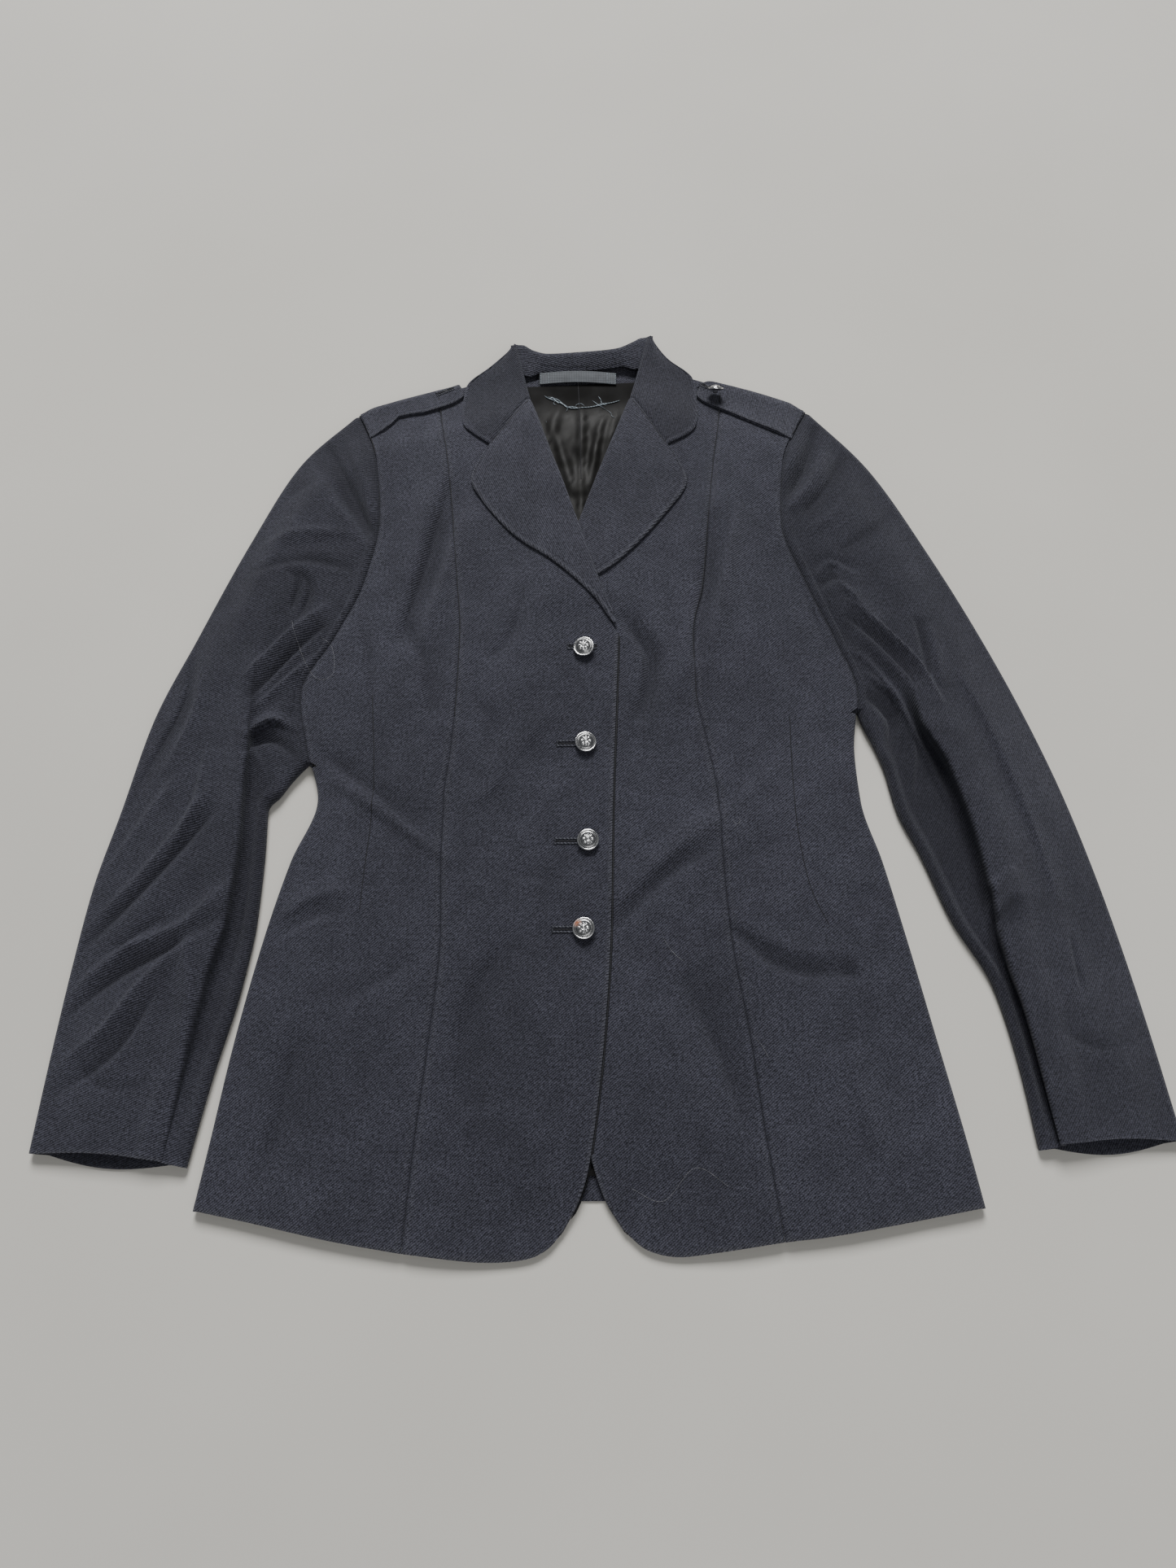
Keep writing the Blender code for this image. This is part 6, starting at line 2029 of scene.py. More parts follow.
@dataclass
class Lapel:
    """A lapel: laid back on its front, its roll wrapped down to the front's edge."""

    finishes: Finishes
    side: SideForm
    rows: int = 84
    columns: int = 30
    bulge: float = 0.0004
    # Painted shade: this offset is taken off the whole lapel, drawing it darker.
    fresh: float = 0.04

    def rise(self, x: Array, y: Array, across: Array) -> Array:
        """Height of the lapel on its front, in bloom at the roll.

        Args:
            x: Plan x of each point.
            y: Plan y of each point.
            across: Share of the way in from the free edge.

        Returns:
            Height of each point.
        """
        bloom = FORM.lapel_bloom * smooth_step(across) * smooth_step((y - 0.560) / 0.06)
        return self.side.rise(x, y) + SIZES.layer + bloom

    def build(self) -> bpy.types.Object:
        """Make the lapel.

        Returns:
            The piece.
        """
        side, sizes = self.side, self.side.sizes
        shares = spread(np.array([0.22]), self.rows, SIZES.edge_steps)[0]
        outer = through(sizes.lapel_edge, shares)
        roll_y = sizes.lapel_foot + (sizes.gorge[1] - sizes.lapel_foot) * shares
        roll = np.column_stack([side.body.edge_x(side.edge, roll_y), roll_y])
        out = normals_of(roll) * -sizes.inward
        panel_rise = side.rise(roll[:, 0], roll[:, 1])
        top = self.rise(roll[:, 0], roll[:, 1], np.ones(len(roll)))
        inset = (top - panel_rise) / 2.0 + SIZES.wall / 2
        inner = roll - out * inset[:, None]
        cross = np.linspace(0.0, 1.0, 41)[:, None]
        bottom = outer[0] + (inner[0] - outer[0]) * cross
        gorge = outer[-1] + (inner[-1] - outer[-1]) * cross
        width = widths(outer, inner)
        across = spread(width, self.columns, SIZES.edge_steps)
        plan = patch(bottom, gorge, outer, inner, across)
        x, y = plan[..., 0], plan[..., 1]
        from_edge = across * width[:, None]
        from_gorge = 0.22 * (1.0 - shares)[:, None]
        rise = self.rise(x, y, across)
        rise += rolled_edge(from_edge) * smooth_step(shares[:, None] / 0.04)
        rise += seam_dip(from_gorge, 0.0009, 0.0020)
        rise += self.bulge * np.sin(math.pi * across) * np.sin(math.pi * shares)[:, None]
        rise += 0.35 * waves_at(x + 0.3, y) * smooth_step((1.0 - across) / 0.1)
        grid = lift(plan, rise)
        panel_edge = side.free_edge()
        panel_x = np.interp(inner[:, 1], panel_edge[:, 1], panel_edge[:, 0])
        reach = np.abs(panel_x - inner[:, 0]) * np.abs(out[:, 0])
        tail = np.minimum(reach, FORM.lapel_tail - inset) - SIZES.lay_gap
        low = side.rise(inner[:, 0], inner[:, 1])
        wrap = wrapped_edge(grid[:, -1], out, low, np.maximum(tail, 0.0002))
        rows, columns = grid.shape[:2]
        # Rubbed paler at the edge and the gorge; the fresh offset is painted shade over the whole lapel.
        wear_and_shade = np.maximum(0.85 * np.exp(-from_edge / 0.0016), 0.3 * np.exp(-from_gorge / 0.002)) - self.fresh
        name = "lapel_" + sizes.word
        wraps = [([j * columns + columns - 1 for j in range(rows)], wrap)]
        panel = Panel(name, grid, SIZES.shell, sizes.lapel_lean, self.finishes.facing, wraps, wear_and_shade)
        return dress(panel.piece(), name)


@dataclass
class CollarFall:
    """Front of the collar: on the shoulder, at the gorge, folded in at the neck."""

    finishes: Finishes
    side: SideForm
    rows: int = 56
    columns: int = 26
    # Painted shade: this offset is taken off the whole fall, drawing it darker where it faces the lamp.
    fresh: float = 0.70

    def rise(self, plan: Array, across: Array) -> Array:
        """Height of the fall.

        Args:
            plan: Plan points.
            across: Share of the way in from the free edge.

        Returns:
            Height of each point.
        """
        x, y = plan[..., 0], plan[..., 1]
        inside_y = np.minimum(y, self.side.body.shoulder_y(x) - SIZES.fold_inset)
        on_panel = np.maximum(self.side.rise(x, inside_y), FORM.shoulder_rise)
        return on_panel + SIZES.layer + FORM.lapel_bloom * smooth_step(across)

    def build(self) -> bpy.types.Object:
        """Make the fall.

        Returns:
            The piece.
        """
        side, sizes = self.side, self.side.sizes
        shares = spread(np.array([0.13]), self.rows, SIZES.edge_steps)[0]
        outer = through(sizes.collar_edge, shares)
        start = np.array(sizes.gorge) + np.array([-sizes.inward * 0.0004, 0.0003])
        roll = start + (np.array(sizes.peak) - start) * shares[:, None]
        out = normals_of(roll) * -sizes.inward
        top = self.rise(roll, np.ones(len(roll)))
        panel_rise = side.rise(roll[:, 0], np.minimum(roll[:, 1], FORM.neck_side_y))
        low = panel_rise + (FORM.stand_floor - panel_rise) * smooth_step(shares)
        inset = (top - low) / 2.0 + SIZES.wall / 2
        inner = roll - out * inset[:, None]
        last = outer[-1] + (inner[-1] - outer[-1]) * 0.9
        inner += (last - inner[-1]) * smooth_step((shares - 0.90) / 0.10)[:, None]
        cross = np.linspace(0.0, 1.0, 41)[:, None]
        gorge = outer[0] + (inner[0] - outer[0]) * cross
        peak = outer[-1] + (inner[-1] - outer[-1]) * cross
        width = widths(outer, inner)
        across = spread(width, self.columns, SIZES.edge_steps)
        plan = patch(gorge, peak, outer, inner, across)
        from_edge = across * width[:, None]
        from_gorge = 0.13 * shares[:, None]
        rise = self.rise(plan, across)
        rise += rolled_edge(from_edge) + seam_dip(from_gorge, 0.0009, 0.0020)
        rise += 0.35 * waves_at(plan[..., 0], plan[..., 1] + 0.4) * smooth_step((1.0 - across) / 0.1)
        grid = lift(plan, rise)
        wrap = wrapped_edge(grid[:, -1], out, low, 0.0015)
        rows, columns = grid.shape[:2]
        # Rubbed paler at the edge and the gorge; the fresh offset is painted shade over the whole fall.
        wear_and_shade = np.maximum(0.85 * np.exp(-from_edge / 0.0016), 0.3 * np.exp(-from_gorge / 0.002)) - self.fresh
        name = "collar_" + sizes.word
        wraps = [([j * columns + columns - 1 for j in range(rows)], wrap)]
        panel = Panel(name, grid, SIZES.shell, -0.6 * sizes.lapel_lean, self.finishes.facing, wraps, wear_and_shade)
        return dress(panel.piece(), name)


@dataclass
class NeckBack:
    """Collar behind the neck, the lining under it and the hanger tape."""

    finishes: Finishes
    body: BodyForm
    fold: tuple[Point, ...] = (
        (-0.0680, 0.7505), (-0.0595, 0.7465), (-0.0500, 0.7400), (-0.0370, 0.7365), (-0.0060, 0.7385),
        (0.0260, 0.7425), (0.0400, 0.7490), (0.0485, 0.7545), (0.0580, 0.7600),
    )
    section: tuple[Point, ...] = (
        (0.0128, 0.0078), (0.0075, 0.0106), (0.0030, 0.0124), (-0.0005, 0.0136), (-0.0034, 0.0128), (-0.0051, 0.0100),
        (-0.0055, 0.0060), (-0.0038, 0.0025), (0.0000, 0.0010), (0.0130, 0.0010), (0.0340, 0.0010),
    )
    lining: tuple[Point, ...] = ((-0.0640, 0.7080), (0.0500, 0.7140), (0.0470, 0.5200), (-0.0600, 0.5200))
    tape_start: Point = (-0.0440, 0.7165)
    tape_end: Point = (0.0255, 0.7165)
    tape_width: float = 0.0125
    tape_arch: float = 0.0012
    tape_bow: float = 0.0016
    crumple: Ripple = Ripple(23, 0.019, 0.0013)
    fine: Ripple = Ripple(29, 0.006, 0.00035)

    def fold_y(self, x: Array) -> Array:
        """y of the collar's fold behind the neck.

        Args:
            x: Plan x of each point.

        Returns:
            The fold's y there.
        """
        return spline([p[0] for p in self.fold], [p[1] for p in self.fold], x)

    def collar(self) -> bpy.types.Object:
        """Make the collar behind the neck.

        Returns:
            The piece.
        """
        x = np.linspace(self.fold[0][0], self.fold[-1][0], 54)
        fold_y = self.fold_y(x)
        rows = []
        for k, (back, rise) in enumerate(through(self.section, np.linspace(0.0, 1.0, 46))):
            level = float(smooth_step((back - 0.010) / 0.024)) if k > 20 else 0.0
            reach = 0.9 * smooth_step((np.abs(x + 0.0055) - 0.034) / 0.018) if k < 15 and back > 0.0 else 0.0
            y = (fold_y - back * (1.0 + reach)) * (1 - level) + FORM.fall_edge_y * level
            under = smooth_step((np.abs(x + 0.0055) - 0.052) / 0.008)
            rows.append(np.column_stack([x, y - 0.0015 * under, rise - 0.0016 * under * smooth_step(rise / 0.015)]))
        grid = np.stack(rows)
        panel = Panel("collar_back", grid, SIZES.shell, 90.0, self.finishes.facing)
        return dress(panel.piece(), "collar_back")

    def neck_lining(self) -> bpy.types.Object:
        """Make the crumpled lining that the neck shows.

        Returns:
            The piece.
        """
        a, b, c, d = [np.array(p) for p in self.lining]
        cross = np.linspace(0.0, 1.0, 61)[:, None]
        down = np.linspace(0.0, 1.0, 110)[:, None]
        across = np.broadcast_to(np.linspace(0.0, 1.0, 72)[None], (110, 72))
        plan = patch(d + (c - d) * cross, a + (b - a) * cross, d + (a - d) * down, c + (b - c) * down, across)
        x, y = plan[..., 0], plan[..., 1]
        rise = self.body.back_rise(x, y) + SIZES.wall / 2 + SIZES.lay_gap + SIZES.lining / 2
        low = smooth_step((0.700 - y) / 0.03)
        creases = 1.1 * crease_rise(LINING_CREASES, x, y)
        rise = rise + 0.0006 + creases + low * (self.crumple.at(x + 0.4 * y, y) + self.fine.at(x * 1.2 - 0.5 * y, 0.8 * y))
        rise = np.minimum(rise, 0.0106 + 0.0 * x)
        # Painted shade: the band near the neck gets a value of -1 and is drawn darker.
        panel = Panel("lining_neck", lift(plan, rise), 0.0007, 0.0, self.finishes.satin, (), low - 1.0)
        return dress(panel.piece(), "lining_neck")

    def hem_lining(self) -> bpy.types.Object:
        """Make the strip of lining inside the back hem.

        Returns:
            The piece.
        """
        x = np.linspace(-0.045, 0.055, 64)
        y = np.linspace(0.029, 0.080, 34)
        plan = np.stack(np.meshgrid(x, y), axis=-1)
        rise = SIZES.floor + SIZES.wall / 2 + SIZES.lay_gap + SIZES.lining / 2
        away = plan[..., 1] - y[0]
        rise = rise + 0.0006 * np.exp(-(((away - 0.003) / 0.002) ** 2)) + np.abs(self.fine.at(plan[..., 0], away))
        panel = Panel("lining_hem", lift(plan, rise), 0.0008, 0.0, self.finishes.satin)
        return dress(panel.piece(), "lining_hem")

    def tape(self) -> bpy.types.Object:
        """Make the hanger tape.

        Returns:
            The piece.
        """
        start, end = np.array(self.tape_start), np.array(self.tape_end)
        across = spread(np.array([self.tape_width]), 10, (0.0, 0.0005, 0.0012))[0] - 0.5
        along = np.linspace(0.0, 1.0, 60)
        bow = self.tape_bow * np.sin(math.pi * along)
        centre = start + (end - start) * along[:, None] + np.column_stack([0.0 * bow, bow])
        plan = centre[:, None] + np.array([0.0, 1.0]) * (across * self.tape_width)[None, :, None]
        rise = self.body.back_rise(plan[..., 0], plan[..., 1]) + SIZES.wall / 2 + 2 * SIZES.lay_gap + SIZES.lining
        rise = rise + 0.0007 + 0.0005 + self.tape_arch * np.sin(math.pi * along)[:, None]
        rise += 0.00015 * np.cos(2.0 * math.pi * across / 0.9)[None]
        panel = Panel("hanger_tape", lift(plan, rise), 0.0009, 0.0, self.finishes.tape)
        return dress(panel.piece(), "hanger_tape")

    def build(self) -> list[bpy.types.Object]:
        """Make all four pieces.

        Returns:
            The pieces.
        """
        return [self.collar(), self.neck_lining(), self.hem_lining(), self.tape()]


@dataclass
class Strap:
    """A shoulder strap of two plies, from the armhole seam to its rounded end."""

    finishes: Finishes
    side: SideForm
    clear: float = 0.0007
    wall: float = 0.0024
    tip_share: float = 0.12
    ply: float = 0.0012
    ply_inset: float = 0.0005
    rows: int = 60
    columns: int = 22

    def point(self, share: float, across: float) -> tuple[Array, Array]:
        """Mid-wall point of the strap, and its normal.

        Args:
            share: Share of its length from the armhole.
            across: Share of its width.

        Returns:
            The point and the normal.
        """
        strap = self.side.sizes.strap
        tip = np.clip((share - (1.0 - self.tip_share)) / self.tip_share, 0.0, 1.0)
        narrow = 1.0 - 0.62 * (1.0 - math.sqrt(max(1.0 - tip * tip, 0.0)))
        places = [row.place for row in strap]
        place = places[0] + (places[-1] - places[0]) * share
        inner = float(spline(places, [row.inner for row in strap], place))
        outer = float(spline(places, [row.round for row in strap], place))
        sewn = 1.0 - float(smooth_step(share / 0.18))
        outer *= 1.0 - 0.45 * sewn
        reach = 0.5 * (inner + outer) + 0.5 * (inner - outer) * narrow * (1.0 - 2.0 * across)
        point, normal = self.side.on_shoulder(place, reach)
        return point + normal * (SIZES.wall / 2 + self.clear - 0.0022 * sewn + self.wall / 2), normal

    def one_ply(self, offset: float, inset: float) -> Array:
        """Points of one ply.

        Args:
            offset: How far above the strap's middle it lies.
            inset: How far in from the strap's edges it ends.

        Returns:
            Rows and columns of points.
        """
        across = spread(np.array([0.030 - 2.0 * inset]), self.columns, (0.0, 0.0006, 0.0013, 0.0022, 0.0034))[0]
        across = (across * (0.030 - 2.0 * inset) + inset) / 0.030
        along = spread(np.array([0.095 - inset]), self.rows, (0.0, 0.0006, 0.0013, 0.0022, 0.0034))[0]
        along = along * (1.0 - inset / 0.095)
        grid = np.zeros((len(along), len(across), 3))
        for j, share in enumerate(along):
            for i, place in enumerate(across):
                point, normal = self.point(share, place)
                to_edge = min(place, 1.0 - place) * 0.030 - inset
                end = (along[-1] - share) * 0.095
                roll = float(rolled_edge(np.array(min(to_edge, end)), 0.00028))
                grid[j, i] = point + normal * (offset + roll)
        return grid

    def build(self) -> bpy.types.Object:
        """Make the strap.

        Returns:
            The piece.
        """
        word = self.side.sizes.word
        name = "shoulder_strap_" + word
        lean = -20.0 * self.side.sizes.inward
        offset = 0.5 * (self.wall - self.ply)
        low = Panel(name + "_low", self.one_ply(-offset, 0.0), self.ply, lean, self.finishes.twill).piece()
        high_grid = self.one_ply(offset, self.ply_inset)
        wear_and_shade = np.zeros(high_grid.shape[:2])
        wear_and_shade[:, :2] = 0.6
        wear_and_shade[:, -2:] = 0.6
        wear_and_shade[-2:] = 0.6
        high = Panel(name, high_grid, self.ply, lean, self.finishes.facing, (), wear_and_shade).piece()
        piece = joined([high, low], "cloth_" + name)
        return dress(piece, name)


def joined(parts: Sequence[bpy.types.Object], name: str) -> bpy.types.Object:
    """Join finished objects into one.

    Args:
        parts: The objects; the first keeps its place.
        name: Name of the result.

    Returns:
        The joined object.
    """
    first = parts[0]
    with bpy.context.temp_override(active_object=first, selected_editable_objects=list(parts)):
        bpy.ops.object.join()
    first.name = name
    first.data.name = name
    return first


# Buttons, stitches and loose threads


@dataclass(frozen=True)
class Seat:
    """Where a button sits, how it is tilted, and how rusty it is."""

    node: str
    x: float
    y: float
    tilt_x: float
    tilt_y: float
    rust: float = 0.0


SEATS = (
    Seat("button_1", -0.003, 0.4345, 0.0, -9.0),
    Seat("button_2", -0.002, 0.353, 0.0, 4.0),
    Seat("button_3", 0.000, 0.273, 2.0, 0.0),
    Seat("button_4", -0.003, 0.204, 0.0, -5.0, 1.0),
)


@dataclass
class Buttons:
    """Domed metal buttons with a plain rim and a raised rosette, on short shanks."""

    finishes: Finishes
    body: BodyForm
    radius: float = 0.0085
    dome: float = 0.0034
    rim: float = 0.0011
    shank: float = 0.0026
    shank_length: float = 0.0022
    relief: float = 0.00060
    petals: int = 8
    around: int = 96
    strap_radius: float = 0.0072
    strap_tilt: float = 58.0
    strap_share: float = 0.587
    strap_in: float = 0.0115

    def face(self, share: Array, turn: Array) -> Array:
        """Height of the rosette in relief on the dome.

        Args:
            share: Share of the radius.
            turn: Angle round the button.

        Returns:
            Relief from 0 to 1.
        """
        boss = np.exp(-((share / 0.13) ** 2))
        ring = np.exp(-(((share - 0.25) / 0.035) ** 2))
        petal = np.abs(np.cos(0.5 * self.petals * turn)) ** 1.5 * np.sin(math.pi * np.clip((share - 0.28) / 0.36, 0, 1))
        band = np.exp(-(((share - 0.74) / 0.04) ** 2)) * (0.7 + 0.3 * np.cos(36.0 * turn))
        return np.clip(boss + 0.7 * ring + petal + 0.8 * band, 0.0, 1.2)

    def make(self, name: str, radius: float, seat: Array, tilt_x: float, tilt_y: float, rust: float) -> bpy.types.Object:
        """Turn one button and set it in its place.

        Args:
            name: The piece's name.
            radius: The button's radius.
            seat: Foot of its shank.
            tilt_x: Tilt about x, in degrees.
            tilt_y: Tilt about y, in degrees.
            rust: How rusty it is at its upper left edge.

        Returns:
            The piece.
        """
        size = radius / self.radius
        face = [0.82 * k / 30.0 for k in range(1, 31)]
        edge = [(0.835, 0.35), (0.86, 0.62), (0.90, 0.78), (0.95, 0.74), (0.985, 0.50), (1.0, 0.15), (1.0, -0.45)]
        back = [(0.97, -0.75), (0.90, -0.85), (0.40, -0.95), (0.306, -1.0), (0.306, -3.0)]
        turn = np.linspace(0.0, 2.0 * math.pi, self.around, endpoint=False)
        base = self.shank_length + self.rim
        points, hollow = [(0.0, 0.0, base + self.dome * size + self.relief)], [0.0]
        for share in face:
            relief = self.face(np.full_like(turn, share), turn)
            level = base + self.dome * size * (1.0 - (share / 0.84) ** 2.2) + 0.0002
            for angle, high in zip(turn, relief):
                points.append((radius * share * math.cos(angle), radius * share * math.sin(angle), level + self.relief * high))
                hollow.append(float(np.clip(1.0 - 1.6 * high, 0.0, 1.0)) * 0.8)
        for share, up in edge + back:
            for angle in turn:
                level = max(base + self.rim * up, 0.0)
                points.append((radius * share * math.cos(angle), radius * share * math.sin(angle), level))
                hollow.append(0.95 if share < 0.85 and up > 0.0 else 0.45 if up < -0.6 else 0.0)
        rings = len(face) + len(edge) + len(back)
        around = self.around
        faces = [(0, 1 + k, 1 + (k + 1) % around) for k in range(around)]
        for ring in range(rings - 1):
            low, high = 1 + ring * around, 1 + (ring + 1) * around
            for k in range(around):
                following = (k + 1) % around
                faces.append((low + k, high + k, high + following, low + following))
        faces.append(tuple(1 + (rings - 1) * around + k for k in reversed(range(around))))
        place = np.array(points)
        spin = np.deg2rad([tilt_x, tilt_y])
        about_x = np.array([[1, 0, 0], [0, math.cos(spin[0]), -math.sin(spin[0])], [0, math.sin(spin[0]), math.cos(spin[0])]])
        about_y = np.array([[math.cos(spin[1]), 0, math.sin(spin[1])], [0, 1, 0], [-math.sin(spin[1]), 0, math.cos(spin[1])]])
        moved = place @ (about_y @ about_x).T + seat + LAY
        spot = np.hypot(place[:, 0] + 0.55 * radius, place[:, 1] - 0.45 * radius)
        rusty = rust * np.clip(1.3 - spot / (0.38 * radius), 0.0, 1.0)
        mesh = bpy.data.meshes.new("metal_" + name)
        mesh.from_pydata(moved.tolist(), [], faces)
        mesh.attributes.new("Hollow", "FLOAT", "POINT").data.foreach_set("value", np.array(hollow))
        mesh.attributes.new("Rust", "FLOAT", "POINT").data.foreach_set("value", rusty)
        mesh.shade_smooth()
        mesh.materials.append(self.finishes.metal)
        piece = bpy.data.objects.new("metal_" + name, mesh)
        bpy.context.scene.collection.objects.link(piece)
        return dress(piece, name)

    def build(self, left: SideForm) -> list[bpy.types.Object]:
        """Make the four front buttons and the strap button.

        Args:
            left: The wearer's left side.

        Returns:
            The pieces.
        """
        pieces = []
        for seat in SEATS:
            tilt = math.radians(max(abs(seat.tilt_x), abs(seat.tilt_y)))
            top = float(self.body.lap_rise(seat.x, seat.y)) + SIZES.wall / 2
            lean = self.radius * math.sin(tilt) - self.shank_length * math.cos(tilt)
            lean = max(lean, self.shank * math.sin(tilt))
            foot = np.array([seat.x, seat.y, top + SIZES.seam_gap + lean])
            pieces.append(self.make(seat.node, self.radius, foot, seat.tilt_x, seat.tilt_y, seat.rust))
        point, normal = left.on_shoulder(self.strap_share, self.strap_in)
        on_strap = point + normal * (SIZES.wall / 2 + 0.0019 + 0.0030)
        tilt = math.radians(self.strap_tilt)
        lean = self.strap_radius * math.sin(tilt) - self.shank_length * math.cos(tilt)
        foot = np.array([on_strap[0], on_strap[1] - 0.003, on_strap[2] + lean])
        pieces.append(self.make("strap_button_left", self.strap_radius, foot, -self.strap_tilt, 0.0, 0.0))
        return pieces


class TopSurface:
    """The tunic as a hand finds it from above, to lay threads and stitches on."""

    def __init__(self, pieces: Sequence[bpy.types.Object]) -> None:
        """Keep the pieces' faces.

        Args:
            pieces: Finished pieces.
        """
        points: list[Vector] = []
        faces: list[tuple[int, ...]] = []
        for piece in pieces:
            first = len(points)
            points += [vertex.co.copy() for vertex in piece.data.vertices]
            faces += [tuple(first + k for k in face.vertices) for face in piece.data.polygons]
        self.tree = BVHTree.FromPolygons(points, faces)

    def rise(self, x: float, y: float) -> float:
        """Height of the cloth at a plan point, or 0 beside the tunic.

        Args:
            x: Plan x.
            y: Plan y.

        Returns:
            The height.
        """
        start = Vector((x + LAY[0], y + LAY[1], 0.2))
        hit = self.tree.ray_cast(start, Vector((0.0, 0.0, -1.0)))[0]
        return 0.0 if hit is None else hit.z

    def lay(self, plan: Array, above: float) -> Array:
        """Plan points laid on the cloth, without its finest bumps.

        Args:
            plan: Plan points in order.
            above: Height over the cloth.

        Returns:
            Points in space.
        """
        rise = np.array([self.rise(x, y) for x, y in plan])
        rise = np.convolve(np.pad(rise, 2, mode="edge"), np.full(5, 0.2), mode="valid")
        return np.column_stack([plan, np.maximum(rise + above, 0.0012)])

    def follow(self, path: Sequence[Point], above: float, step: float = 0.0012) -> Array:
        """Points of a line laid on the cloth.

        Args:
            path: Named plan points.
            above: Height of the line over the cloth.
            step: Distance between points.

        Returns:
            Points in space.
        """
        plan = np.asarray(path, float)
        length = float(np.linalg.norm(np.diff(plan, axis=0), axis=1).sum())
        line = through(path, np.linspace(0.0, 1.0, max(int(length / step), 4)))
        return np.array([[x, y, self.rise(x, y) + above] for x, y in line])


class Strands:
    """Round threads, hairs and cords gathered in one piece."""

    def __init__(self, name: str, finish: bpy.types.Material, sides: int = 7) -> None:
        """Start with none.

        Args:
            name: The piece's name.
            finish: Its finish.
            sides: Faces round a thread.
        """
        self.name = name
        self.finish = finish
        self.sides = sides
        self.points: list[Array] = []
        self.faces: list[tuple[int, ...]] = []
        self.total = 0

    def add(self, line: Array, radius: float, taper: bool = False) -> None:
        """Add one thread.

        Args:
            line: Points along its middle.
            radius: Its radius.
            taper: Whether its ends grow thin.
        """
        tangent = np.gradient(line, axis=0)
        tangent /= np.maximum(np.linalg.norm(tangent, axis=1), 1e-9)[:, None]
        side = np.cross(tangent, np.array([0.0, 0.0, 1.0]))
        flat = np.linalg.norm(side, axis=1) < 1e-4
        side[flat] = np.array([1.0, 0.0, 0.0])
        side /= np.linalg.norm(side, axis=1)[:, None]
        up = np.cross(side, tangent)
        turn = np.linspace(0.0, 2.0 * math.pi, self.sides, endpoint=False)
        width = np.full(len(line), radius)
        if taper:
            width = radius * np.clip(np.minimum(np.arange(len(line)), np.arange(len(line))[::-1]) / 3.0, 0.2, 1.0)
        ring = np.cos(turn)[None, :, None] * side[:, None] + np.sin(turn)[None, :, None] * up[:, None]
        tube = line[:, None] + width[:, None, None] * ring + LAY
        self.points.append(tube.reshape(-1, 3))
        sides, first = self.sides, self.total
        for j in range(len(line) - 1):
            for k in range(sides):
                following = (k + 1) % sides
                a, b = first + j * sides, first + (j + 1) * sides
                self.faces.append((a + k, a + following, b + following, b + k))
        last = first + (len(line) - 1) * sides
        self.faces.append(tuple(first + k for k in reversed(range(sides))))
        self.faces.append(tuple(last + k for k in range(sides)))
        self.total += len(line) * sides

    def piece(self, slot: str) -> bpy.types.Object:
        """Make the piece, which rides on the tunic.

        Args:
            slot: Not used.

        Returns:
            The piece.
        """
        mesh = bpy.data.meshes.new(self.name)
        mesh.from_pydata(np.vstack(self.points).tolist(), [], self.faces)
        shape = bmesh.new()
        shape.from_mesh(mesh)
        bmesh.ops.recalc_face_normals(shape, faces=shape.faces)
        shape.to_mesh(mesh)
        shape.free()
        mesh.shade_smooth()
        mesh.materials.append(self.finish)
        piece = bpy.data.objects.new(self.name, mesh)
        bpy.context.scene.collection.objects.link(piece)
        return dress(piece, "")


